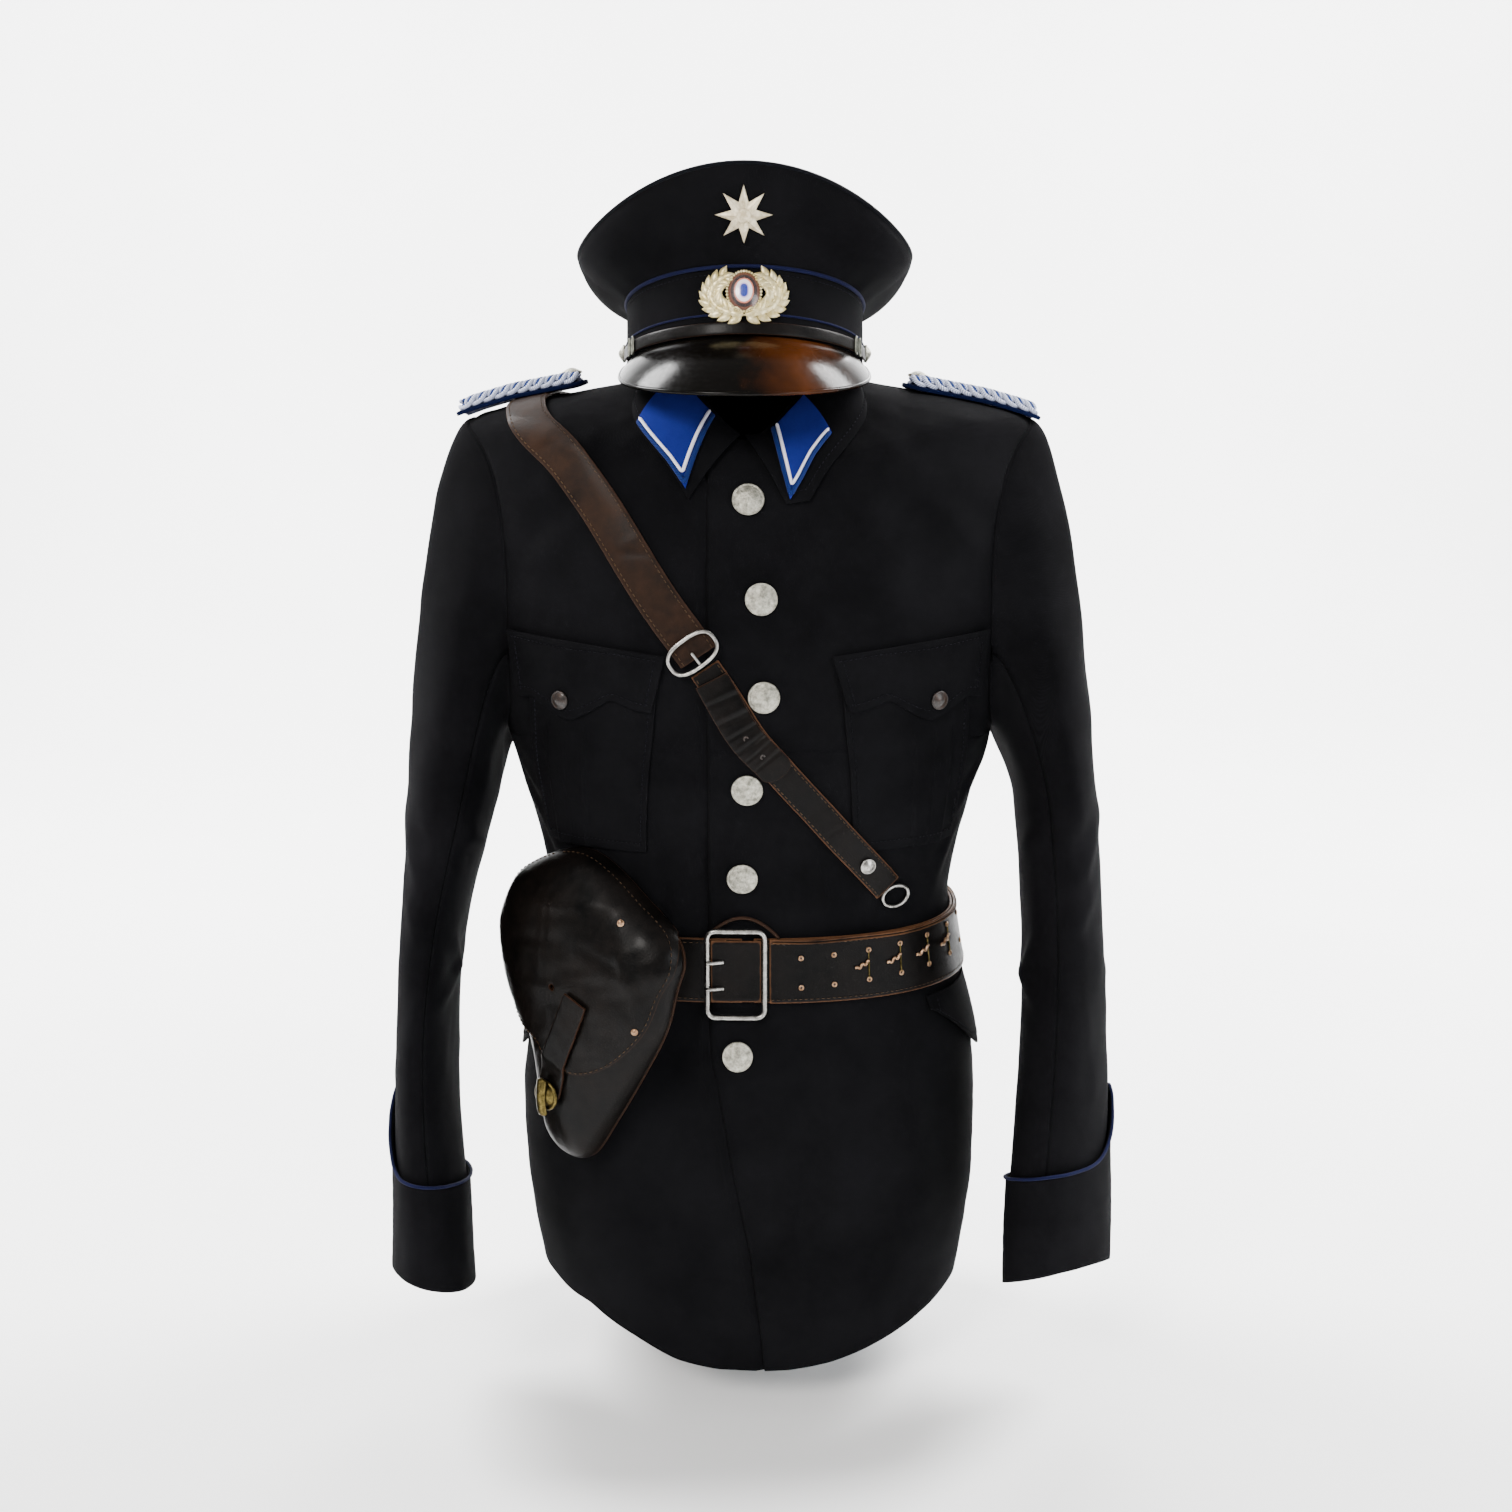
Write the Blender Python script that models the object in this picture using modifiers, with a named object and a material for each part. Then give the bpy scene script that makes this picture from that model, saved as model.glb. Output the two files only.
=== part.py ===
"""Police uniform: a closed service tunic with its belt, cross strap and holster, and a peaked cap.

The set stands as if it were worn, with nobody in it. The origin is the middle of the neck
opening, at the height where the shoulder seams meet the collar. +X is the wearer's left,
-Y is the front and +Z is up. Metres.

Three smooth skins carry every piece: the body of the tunic, each sleeve, and the cap. A skin
is a function of an angle round it and a row number down or up its table, so a pocket, a belt
or a piping is made from the same points as the cloth below it, moved out.
"""
import math

import bmesh
import bpy
import numpy as np
from mathutils import Vector

for old in list(bpy.data.objects):
    bpy.data.objects.remove(old, do_unlink=True)

# Driving sizes
CLOTH = 0.0020              # wool cloth with its canvas
SEAM = 0.0005               # gap between the outer faces of two sewn pieces
REST = 0.0010               # clearance under what lies on curved cloth
FINGER = 0.0060             # width of the seam allowance beside an edge

# The body of the tunic, hem to neck. Squareness 2 is an ellipse, more is boxier.
BODY_COLUMNS = ("height", "half_width", "front", "back", "front_drop", "squareness")
BODY = (
    (-0.812, 0.181, 0.150, 0.126, 0.000, 2.35),
    (-0.765, 0.189, 0.149, 0.125, 0.000, 2.35),
    (-0.700, 0.197, 0.146, 0.122, 0.000, 2.35),
    (-0.630, 0.201, 0.141, 0.118, 0.000, 2.35),
    (-0.560, 0.197, 0.132, 0.110, 0.000, 2.35),
    (-0.510, 0.187, 0.123, 0.101, 0.000, 2.35),
    (-0.470, 0.179, 0.119, 0.096, 0.000, 2.35),
    (-0.430, 0.174, 0.119, 0.095, 0.000, 2.35),
    (-0.385, 0.179, 0.123, 0.099, 0.000, 2.35),
    (-0.340, 0.190, 0.129, 0.105, 0.000, 2.35),
    (-0.300, 0.202, 0.134, 0.110, 0.000, 2.35),
    (-0.265, 0.210, 0.137, 0.113, 0.000, 2.35),
    (-0.200, 0.220, 0.137, 0.115, 0.000, 2.35),
    (-0.140, 0.226, 0.130, 0.115, 0.008, 2.30),
    (-0.090, 0.232, 0.121, 0.110, 0.022, 2.20),
    (-0.055, 0.235, 0.114, 0.102, 0.035, 2.10),
    (-0.032, 0.233, 0.108, 0.091, 0.045, 2.05),
    (-0.018, 0.193, 0.102, 0.079, 0.050, 2.00),
    (-0.008, 0.140, 0.096, 0.069, 0.052, 2.00),
    (-0.001, 0.100, 0.091, 0.062, 0.052, 2.00),
    (0.004, 0.072, 0.086, 0.056, 0.051, 2.00),
)
HEM_ROW, BELT_LOW, BELT_HIGH, NECK_ROW = 0.0, 5.36, 6.74, 20.0
ARMPIT_ROW, TIP_ROW = 10.45, 16.2
ARMHOLE_FRONT, ARMHOLE_BACK = 21.0, 23.0       # how far the armhole cuts into each side, degrees
ARMHOLE_STEPS = 12

# Soft folds of the body: where, how wide, how long, how they slant and how far they stand out.
BODY_FOLD_COLUMNS = ("angle", "row", "half_angle", "half_rows", "slant", "height")
BODY_FOLDS = (
    (-40.0, 2.1, 9.0, 1.5, 2.0, 0.0035),
    (34.0, 2.3, 9.0, 1.6, -2.0, 0.0030),
    (-76.0, 2.4, 9.0, 1.6, 1.0, 0.0030),
    (74.0, 2.0, 9.0, 1.5, -1.0, 0.0035),
    (-118.0, 2.3, 10.0, 1.6, 1.0, 0.0040),
    (-160.0, 2.1, 10.0, 1.5, 0.0, 0.0035),
    (116.0, 2.2, 10.0, 1.6, -1.0, 0.0040),
    (158.0, 2.4, 10.0, 1.6, 0.0, 0.0035),
    (-22.0, 8.4, 8.0, 0.7, -9.0, 0.0022),
    (-104.0, 8.6, 8.0, 0.9, 5.0, 0.0035),
    (102.0, 8.5, 8.0, 0.9, -5.0, 0.0035),
    (-146.0, 8.7, 9.0, 1.0, 4.0, 0.0035),
    (144.0, 8.6, 9.0, 1.0, -4.0, 0.0035),
    (180.0, 8.9, 9.0, 1.1, 0.0, -0.0025),
    (-57.0, 13.6, 8.0, 1.4, -5.0, -0.0030),
    (57.0, 13.6, 8.0, 1.4, 5.0, -0.0030),
    (-124.0, 13.2, 10.0, 1.8, 5.0, -0.0035),
    (124.0, 13.2, 10.0, 1.8, -5.0, -0.0035),
)

# The sleeves below the armpit, 83 mm a row, measured from the middle of the body.
SLEEVE_COLUMNS = ("height", "outer", "inner", "middle_y", "half_depth", "lean")
SLEEVE_L = (
    (-0.344, 0.291, 0.222, -0.044, 0.078, 8.0),
    (-0.427, 0.298, 0.227, -0.060, 0.075, 16.0),
    (-0.511, 0.304, 0.226, -0.076, 0.069, 23.0),
    (-0.594, 0.307, 0.220, -0.093, 0.062, 30.0),
    (-0.677, 0.309, 0.213, -0.111, 0.054, 36.0),
    (-0.760, 0.307, 0.212, -0.127, 0.049, 38.0),
)
SLEEVE_R = (
    (-0.344, 0.286, 0.214, -0.044, 0.080, 2.0),
    (-0.427, 0.289, 0.236, -0.060, 0.083, 4.0),
    (-0.511, 0.293, 0.248, -0.076, 0.080, 6.0),
    (-0.594, 0.296, 0.248, -0.093, 0.073, 8.0),
    (-0.677, 0.298, 0.239, -0.111, 0.067, 12.0),
    (-0.760, 0.301, 0.234, -0.127, 0.064, 14.0),
)
HEAD_RISE = (0.030, 0.010)          # how far the sleeve head stands out, at the tip and the armpit
HEAD_FALL = (0.125, 0.020)          # how long its lower end runs along the arm
HEAD_RINGS = (0.0, 0.10, 0.25, 0.45, 0.72)
ARM_RINGS = (0.0, 0.75, 1.3, 1.8, 2.6, 3.6)
SLEEVE_END, END_FRONT = 4.62, 0.24  # last row, and how it rises at the front
END_LEFT, END_RIGHT = -0.07, 0.05   # how each sleeve's end rises on the outer side
CUFF_LOW, CUFF_PEAK = 0.95, 0.74    # cuff height in rows: inner side, and what the peak adds
CUFF_EDGE = 0.0010                  # how far the piped upper edge of a cuff stands out
ROW_HEIGHT = 0.083                  # one row of the sleeve tables
SEAM_FRONT, SEAM_BACK = 8, 16       # the armhole points where the two sleeve seams start

SLEEVE_FOLD_COLUMNS = ("angle", "row", "half_angle", "half_rows", "slant", "height")
SLEEVE_FOLDS_L = (
    (70.0, 0.35, 24.0, 0.30, 30.0, -0.0040),
    (60.0, 1.30, 26.0, 0.28, -50.0, 0.0035),
    (75.0, 1.75, 24.0, 0.22, -60.0, -0.0035),
    (-60.0, 1.50, 26.0, 0.40, 30.0, -0.0035),
    (35.0, 2.80, 22.0, 0.70, 12.0, 0.0030),
)
SLEEVE_FOLDS_R = (
    (-70.0, 0.35, 24.0, 0.30, -30.0, -0.0040),
    (-60.0, 1.25, 26.0, 0.28, 50.0, 0.0035),
    (-80.0, 1.70, 24.0, 0.22, 60.0, -0.0035),
    (60.0, 1.50, 26.0, 0.40, -30.0, -0.0035),
    (-28.0, 2.90, 16.0, 1.20, 4.0, 0.0035),
)


def through(rows, at):
    """Smooth values between table rows: a cubic through each row, by row number."""
    rows = np.asarray(rows, float)
    at = np.clip(np.asarray(at, float), 0.0, len(rows) - 1.0)
    low = np.minimum(at.astype(int), len(rows) - 2)
    t = (at - low)[..., None]
    here, there = rows[low], rows[low + 1]
    leave = (there - rows[np.maximum(low - 1, 0)]) / 2
    arrive = (rows[np.minimum(low + 2, len(rows) - 1)] - here) / 2
    return (here + t * leave + t ** 2 * (3 * (there - here) - 2 * leave - arrive)
            + t ** 3 * (2 * (here - there) + leave + arrive))


def between(stops, at):
    """Straight interpolation in a table of (place, value) rows."""
    stops = np.asarray(stops, float)
    return np.interp(at, stops[:, 0], stops[:, 1])


def fold_height(folds, angle, row):
    """Sum of bell-shaped folds, each on a slanting line, in metres outwards."""
    total = np.zeros(np.broadcast(angle, row).shape)
    for middle, level, half_angle, half_rows, slant, height in folds:
        off = (angle - middle - slant * (row - level) + 180.0) % 360.0 - 180.0
        total = total + height * np.exp(-(off / half_angle) ** 2 - ((row - level) / half_rows) ** 2)
    return total


def body(angle, row):
    """The tunic's outer face. Angle 0 is the front, 90 the wearer's left, in degrees."""
    angle, row = np.broadcast_arrays(np.asarray(angle, float), np.asarray(row, float))
    height, half, front, back, drop, square = np.moveaxis(through(BODY, row), -1, 0)
    sine, cosine = np.sin(np.radians(angle)), np.cos(np.radians(angle))
    depth = np.where(cosine > 0, front, back)
    reach = ((np.abs(sine) / half) ** square + (np.abs(cosine) / depth) ** square) ** (-1 / square)
    reach = reach + fold_height(BODY_FOLDS, angle, row)
    sink = drop * np.where(cosine > 0, cosine ** 2, 0.0)
    return np.stack([reach * sine, -reach * cosine, height - sink], -1)


def arm(side, angle, row):
    """A sleeve below the armpit: leaning ellipses. Angle 0 is the outer side."""
    angle, row = np.broadcast_arrays(np.asarray(angle, float), np.asarray(row, float))
    rows = SLEEVE_L if side > 0 else SLEEVE_R
    folds = SLEEVE_FOLDS_L if side > 0 else SLEEVE_FOLDS_R
    height, outer, inner, middle, depth, lean = np.moveaxis(through(rows, row), -1, 0)
    turn = -side * np.radians(angle)
    grow = 1 + fold_height(folds, angle, row) / depth
    x = (outer + inner) / 2 + grow * (outer - inner) / 2 * np.cos(turn)
    y = middle + grow * depth * np.sin(turn + np.radians(lean))
    return np.stack([side * x, y, height], -1)


def outward(surface, angle, row, step=0.02):
    """Unit normal of a skin, from small steps along it."""
    along = surface(angle + step, row) - surface(angle - step, row)
    down = surface(angle, row + step) - surface(angle, row - step)
    normal = np.cross(along, down)
    return normal / np.linalg.norm(normal, axis=-1, keepdims=True)


def moved(surface, angle, row, out, step=0.02):
    """Points of a skin, moved out along its normal."""
    out = np.asarray(out, float)
    return surface(angle, row) + out[..., None] * outward(surface, angle, row, step)


def angle_at(x, row):
    """Front angle of the body where its width reaches x, for a line that hangs straight."""
    fan = np.linspace(-80.0, 80.0, 321)
    row = np.atleast_1d(np.asarray(row, float))
    found = [np.interp(want, body(fan, level)[:, 0], fan) for want, level in
             zip(np.broadcast_to(x, row.shape), row)]
    return np.array(found)


# Scene, materials and makers
uniform = bpy.data.collections.new("police_uniform")
bpy.context.scene.collection.children.link(uniform)


def material(name, colour, roughness, metallic=0.0):
    made = bpy.data.materials.new(name)
    made.use_nodes = True
    shader = made.node_tree.nodes["Principled BSDF"]
    shader.inputs["Base Color"].default_value = (*colour, 1.0)
    shader.inputs["Roughness"].default_value = roughness
    shader.inputs["Metallic"].default_value = metallic
    return made


NAVY = material("navy_wool_cloth", (0.010, 0.011, 0.016), 0.90)
BLUE = material("blue_collar_cloth", (0.012, 0.035, 0.330), 0.80)
CORD = material("woven_shoulder_cord", (0.250, 0.290, 0.480), 0.75)
BLACK = material("black_leather", (0.012, 0.011, 0.010), 0.40)
BROWN = material("worn_brown_leather", (0.040, 0.024, 0.016), 0.45)
GLOSS = material("lacquered_visor", (0.010, 0.008, 0.007), 0.12)
NICKEL = material("nickel_plate", (0.600, 0.600, 0.580), 0.30, 1.0)
BRASS = material("aged_brass", (0.330, 0.200, 0.070), 0.40, 1.0)
ALLOY = material("pale_button_alloy", (0.470, 0.490, 0.460), 0.45, 1.0)
HORN = material("dark_horn", (0.030, 0.018, 0.010), 0.35)
GILT = material("pale_gilt", (0.650, 0.560, 0.330), 0.40, 1.0)
ENAMEL = material("cockade_enamel", (0.550, 0.120, 0.100), 0.30)


def keep(name, data, finish):
    """Put a mesh or curve into the set as a named piece."""
    piece = bpy.data.objects.new(name, data)
    uniform.objects.link(piece)
    data.materials.append(finish)
    return piece


def sheet(name, points, wall, finish, round_it=False, pole=False):
    """Cloth or leather: an open grid of points as the outer face, thickened inwards.

    round_it joins the last column to the first, and pole closes the last row with one face.
    """
    rows, columns = points.shape[:2]
    mesh = bpy.data.meshes.new(name)
    build = bmesh.new()
    grid = [[build.verts.new(Vector(spot)) for spot in line] for line in points]
    last = columns if round_it else columns - 1
    for i in range(rows - 1):
        for j in range(last):
            k = (j + 1) % columns
            build.faces.new((grid[i][j], grid[i][k], grid[i + 1][k], grid[i + 1][j]))
    if pole:
        build.faces.new(grid[-1])
    build.to_mesh(mesh)
    build.free()
    piece = keep(name, mesh, finish)
    for face in mesh.polygons:
        face.use_smooth = True
    thick = piece.modifiers.new("wall", "SOLIDIFY")
    thick.thickness = wall
    thick.offset = -1.0
    thick.use_quality_normals = True
    return piece


def turned(name, profile, place, facing, finish, steps=16):
    """A button, stud or knob: a profile of (radius, height) turned about its own axis."""
    mesh = bpy.data.meshes.new(name)
    spots = [(radius, 0.0, height) for radius, height in profile]
    mesh.from_pydata(spots, [(i, i + 1) for i in range(len(spots) - 1)], [])
    piece = keep(name, mesh, finish)
    spin = piece.modifiers.new("turn", "SCREW")
    spin.axis = "Z"
    spin.steps = steps
    spin.render_steps = steps
    spin.use_merge_vertices = True
    spin.merge_threshold = 0.00005
    piece.rotation_euler = Vector(facing).to_track_quat("Z", "Y").to_euler()
    piece.location = Vector(place)
    return piece


def tube(name, points, radius, finish, closed=False, resolution=2):
    """A wire, cord or piping: a poly curve with a round bevel and filled caps."""
    curve = bpy.data.curves.new(name, "CURVE")
    curve.dimensions = "3D"
    curve.bevel_depth = radius
    curve.bevel_resolution = resolution
    curve.use_fill_caps = True
    line = curve.splines.new("POLY")
    line.points.add(len(points) - 1)
    for spot, point in zip(line.points, points):
        spot.co = (*point, 1.0)
    line.use_cyclic_u = closed
    return keep(name, curve, finish)


def spread(low, high, count):
    return np.linspace(low, high, count)


def beside(line, facing, closed=True):
    """Unit vectors across a line of points, lying in the surface that faces `facing`."""
    run = np.roll(line, -1, 0) - np.roll(line, 1, 0)
    if not closed:
        run[0], run[-1] = line[1] - line[0], line[-1] - line[-2]
    across = np.cross(facing, run)
    return across / np.linalg.norm(across, axis=-1, keepdims=True)


def nearest(surface, target, angle, row, small=0.05):
    """The (angle, row) of a skin that comes closest to target points, from a first guess."""
    a, r = np.array(angle, float), np.array(row, float)
    for _ in range(6):
        miss = target - surface(a, r)
        da = (surface(a + small, r) - surface(a - small, r)) / (2 * small)
        dr = (surface(a, r + small) - surface(a, r - small)) / (2 * small)
        aa, ar, rr = (da * da).sum(-1), (da * dr).sum(-1), (dr * dr).sum(-1)
        ma, mr = (miss * da).sum(-1), (miss * dr).sum(-1)
        det = aa * rr - ar * ar
        a = a + (ma * rr - mr * ar) / det
        r = r + (mr * aa - ma * ar) / det
    return a, r


def ribbon(surface, centre, width, out):
    """Grid of a strap that lies on a skin: its centre is (angle, row) points, its width in metres.

    Each edge is found by stepping sideways on the skin, so the strap hugs it at every point.
    """
    centre = np.asarray(centre, float)
    angle, row = centre[:, 0], centre[:, 1]
    facing = outward(surface, angle, row)
    side = beside(surface(angle, row), facing, closed=False)
    lines = []
    for share in (-0.5, 0.0, 0.5):
        a, r = nearest(surface, surface(angle, row) + share * width * side, angle, row)
        lines.append(moved(surface, a, r, np.broadcast_to(out, a.shape)))
    return np.stack(lines)


def smooth_path(stops, count):
    """Even samples of a smooth line through (angle, row) stops."""
    fine = through(stops, np.linspace(0, len(stops) - 1, 40 * len(stops)))
    metric = fine * np.array([0.0026, 0.045])
    walked = np.concatenate([[0.0], np.cumsum(np.linalg.norm(np.diff(metric, axis=0), axis=1))])
    at = np.linspace(0, walked[-1], count)
    return np.stack([np.interp(at, walked, fine[:, k]) for k in (0, 1)], -1)


def to_degrees(distance, surface, angle, row):
    """The angle that covers a short distance round a skin."""
    step = 0.5
    run = np.linalg.norm(surface(angle + step, row) - surface(angle - step, row), axis=-1)
    return distance / run * 2 * step


# Tunic body: two fronts and a back
def armhole(place):
    """Row and half opening (0 to 1) of the armhole at a place from 0, armpit, to 1, tip."""
    row = ARMPIT_ROW + (TIP_ROW - ARMPIT_ROW) * (1 - np.cos(np.pi * place)) / 2
    wide = np.sin(np.pi * place).clip(0) ** 0.9 * (1 + 0.3 * np.cos(np.pi * place))
    return row, wide


def even_armhole(steps):
    """Places on the front of the armhole that lie the same distance apart."""
    fine = spread(0.0, 1.0, 401)
    row, wide = armhole(fine)
    line = body(90.0 - ARMHOLE_FRONT * wide, row)
    walked = np.concatenate([[0.0], np.cumsum(np.linalg.norm(np.diff(line, axis=0), axis=1))])
    return np.interp(spread(0.0, walked[-1], steps + 1), walked, fine)


ARMHOLE_ROWS, ARMHOLE_OPEN = armhole(even_armhole(ARMHOLE_STEPS))
PANEL_ROWS = np.concatenate([
    np.array([HEM_ROW, 1.1, 2.2, 3.3, 4.4, BELT_LOW, 6.05, BELT_HIGH, 7.5, 8.5, 9.6]),
    ARMHOLE_ROWS,
    np.array([16.9, 17.8, 18.8, NECK_ROW]),
])
SEAM_SHIFT = ((16.2, 0.0), (17.0, 5.0), (20.0, 9.0))       # shoulder seam, forward of the ridge
HEM_RISE = ((-180.0, 0.30), (-110.0, 0.75), (-85.0, 0.95), (-68.0, 1.00), (-50.0, 0.92), (-36.0, 0.60),
            (-23.0, 0.26), (-10.0, 0.05), (0.0, 0.0), (12.0, 0.0), (25.0, 0.14), (40.0, 0.40), (55.0, 0.62),
            (70.0, 0.74), (90.0, 0.72), (120.0, 0.55), (180.0, 0.30))
TOP_EDGE = ((0.0, 0.012), (0.9, 0.008), (1.9, 0.000), (3.1, -0.017), (4.4, -0.033), (20.0, -0.033))
UNDER_EDGE = ((0.0, 0.017), (0.9, 0.018), (1.9, 0.020), (20.0, 0.020))
UNDER_STEP = 0.0024                 # how far the button side's underlap is set in
UNDER_RAMP = 0.0070                 # the width over which it steps in
FRONT_SPANS, BACK_SPANS = 6, 11     # even columns across each panel


def side_edge(front):
    """Angle of a panel's side edge at each panel row, before the seam gap."""
    edge = np.full(len(PANEL_ROWS), 90.0)
    for i, row in enumerate(PANEL_ROWS):
        if ARMPIT_ROW <= row <= TIP_ROW:
            opening = np.interp(row, ARMHOLE_ROWS, ARMHOLE_OPEN)
            edge[i] = 90.0 - ARMHOLE_FRONT * opening if front else 90.0 + ARMHOLE_BACK * opening
        if row > TIP_ROW:
            edge[i] = 90.0 - between(SEAM_SHIFT, row)
    return edge


def seam_columns(front, gap):
    """A panel's side edge, stepped off the seam line, and the width of its seam allowance."""
    edge = side_edge(front)
    return (edge + to_degrees(gap, body, edge, PANEL_ROWS), to_degrees(FINGER, body, edge, PANEL_ROWS))


def front_panel(side):
    """Angles of one front: the overlap columns, then even ones to the seam allowance."""
    edge, finger = seam_columns(True, -SEAM / 2)
    top = angle_at(between(TOP_EDGE, PANEL_ROWS), PANEL_ROWS)
    under = angle_at(between(UNDER_EDGE, PANEL_ROWS), PANEL_ROWS)
    if side > 0:
        start = [top, (top + under) / 2, under]
    else:
        edge = -edge
        finger = -finger
        ramp = top - to_degrees(UNDER_RAMP, body, top, PANEL_ROWS)
        start = [under, (top + under) / 2, top, ramp]
    reach = edge - finger - start[-1]
    even = [start[-1] + reach * k / FRONT_SPANS for k in range(1, FRONT_SPANS + 1)]
    return np.stack(start + even + [edge], 1)


def with_hem(angles):
    """Rows of a panel, with its first row following the hem."""
    rows = np.repeat(PANEL_ROWS[:, None], angles.shape[1], axis=1)
    rows[0] = between(HEM_RISE, (angles[0] + 180.0) % 360.0 - 180.0)
    rows[1] += rows[0] / 2
    return rows


def back_panel():
    """Angles of the back, from the wearer's left side seam round to the right one."""
    edge, finger = seam_columns(False, 0.8 * SEAM)
    near, far = edge + finger, 360.0 - edge - finger
    even = [near + (far - near) * k / BACK_SPANS for k in range(BACK_SPANS + 1)]
    return np.stack([edge] + even + [360.0 - edge], 1)


def make_body():
    left = front_panel(1)
    sheet("front_left", body(left, with_hem(left)), CLOTH, NAVY)
    right = front_panel(-1)
    inset = np.zeros(right.shape)
    inset[:, :3] = -UNDER_STEP
    sheet("front_right", moved(body, right, with_hem(right), inset)[:, ::-1], CLOTH, NAVY)
    angles = back_panel()
    sheet("back", body(angles, with_hem(angles)), CLOTH, NAVY)


# Sleeves: a top sleeve and an under sleeve each
def armhole_loop():
    """The points round the armhole from the tip down the front and up the back: angle, row."""
    down = slice(None, None, -1)
    front = (90.0 - ARMHOLE_FRONT * ARMHOLE_OPEN)[down]
    back = (90.0 + ARMHOLE_BACK * ARMHOLE_OPEN)
    angle = np.concatenate([front, back[1:-1]])
    row = np.concatenate([ARMHOLE_ROWS[down], ARMHOLE_ROWS[1:-1]])
    return angle, row


def loop_turn(points):
    """Angle round the sleeve for each armhole point, 0 at the tip and 180 at the armpit."""
    steps = np.linalg.norm(np.roll(points, -1, 0) - points, axis=-1)
    walked = np.concatenate([[0.0], np.cumsum(steps)])
    low = ARMHOLE_STEPS
    first = walked[:low + 1] / walked[low] * 180.0
    second = 180.0 + (walked[low:-1] - walked[low]) / (walked[-1] - walked[low]) * 180.0
    return np.concatenate([first, second[1:]])


LOOP_ANGLE, LOOP_ROW = armhole_loop()
LOOP_TURN = loop_turn(body(LOOP_ANGLE, LOOP_ROW))


def sleeve_bottom(side, angle):
    """Last row of the sleeve: a little higher outside and at the front."""
    turn = np.radians(side * np.asarray(angle))
    return SLEEVE_END - (END_LEFT if side > 0 else END_RIGHT) * np.cos(turn) - END_FRONT * np.sin(turn)


def sleeve_points(side, place, rings):
    """Sleeve grid. place is a fractional index round the armhole; a ring below 0 is the head."""
    count = len(LOOP_ANGLE)
    whole = np.arange(count + 1)
    start = body(side * LOOP_ANGLE, LOOP_ROW)
    start = np.concatenate([start, start[:1]])
    turn = np.concatenate([LOOP_TURN, [360.0]])
    place = np.asarray(place, float) % count
    begin = np.stack([np.interp(place, whole, start[:, k]) for k in range(3)], -1)
    begin = begin + np.array([side * SEAM, 0.0, 0.0])
    angle = side * np.interp(place, whole, turn)
    low = (1 - np.cos(np.radians(angle)))[:, None] / 2
    rise = HEAD_RISE[0] + (HEAD_RISE[1] - HEAD_RISE[0]) * low
    fall = HEAD_FALL[0] + (HEAD_FALL[1] - HEAD_FALL[0]) * low
    top = arm(side, angle, 0.0)
    slope = top - arm(side, angle, 0.5)
    slope = slope / np.linalg.norm(slope, axis=-1, keepdims=True)
    leave = begin + rise * np.array([side, 0.0, 0.0]) - low * np.array([0.0, 0.0, 0.006])
    arrive = top + fall * slope
    made = []
    for ring in rings:
        if ring < 0:
            t = 1.0 + ring
            made.append((1 - t) ** 3 * begin + 3 * (1 - t) ** 2 * t * leave
                        + 3 * (1 - t) * t ** 2 * arrive + t ** 3 * top)
        else:
            full = sleeve_bottom(side, angle)
            made.append(arm(side, angle, ring * full / SLEEVE_END))
    return np.stack(made)


def make_sleeve(side, mark):
    rings = [t - 1.0 for t in HEAD_RINGS] + [r for r in ARM_RINGS] + [SLEEVE_END]
    count = len(LOOP_ANGLE)
    for name, first, last in (("under_sleeve", SEAM_FRONT, SEAM_BACK),
                              ("top_sleeve", SEAM_BACK, SEAM_FRONT + count)):
        inside = np.arange(first + 1, last)
        lines = []
        for ring in rings:
            gap = SEAM * (0.6 if ring > -0.1 else 1.35)
            near = sleeve_points(side, [first, first + 0.3, last - 0.3, last], [ring])[0]
            start = np.linalg.norm(near[1] - near[0]) / 0.3
            end = np.linalg.norm(near[3] - near[2]) / 0.3
            place = np.concatenate([[first + gap / start, first + 0.4 * FINGER / start], inside,
                                    [last - 0.4 * FINGER / end, last - gap / end]])
            lines.append(sleeve_points(side, place, [ring])[0])
        points = np.stack(lines)
        sheet(f"{name}_{mark}", points if side > 0 else points[:, ::-1], CLOTH, NAVY)


def cuff_height(angle):
    """Rows that the turn-back cuff stands above the sleeve end, peaked on the outer side."""
    off = (np.asarray(angle) + 180.0) % 360.0 - 180.0
    return CUFF_LOW + CUFF_PEAK * np.exp(-(off / 36.0) ** 2)


def make_cuff(side, mark):
    angle = side * LOOP_TURN

    def skin(at, row):
        return arm(side, at, row)

    bottom = sleeve_bottom(side, angle)
    top = bottom - cuff_height(angle)
    rows = np.stack([top + (bottom - top) * t for t in (0.0, 0.04, 0.5, 1.0)])
    out = np.full(rows.shape, REST + CLOTH)
    out[0] += CUFF_EDGE
    points = moved(skin, angle[None, :], rows, out)
    sheet(f"cuff_{mark}", points if side > 0 else points[:, ::-1], CLOTH, NAVY, round_it=True)


make_body()
make_sleeve(1, "left")
make_sleeve(-1, "right")
make_cuff(1, "left")
make_cuff(-1, "right")


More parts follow.
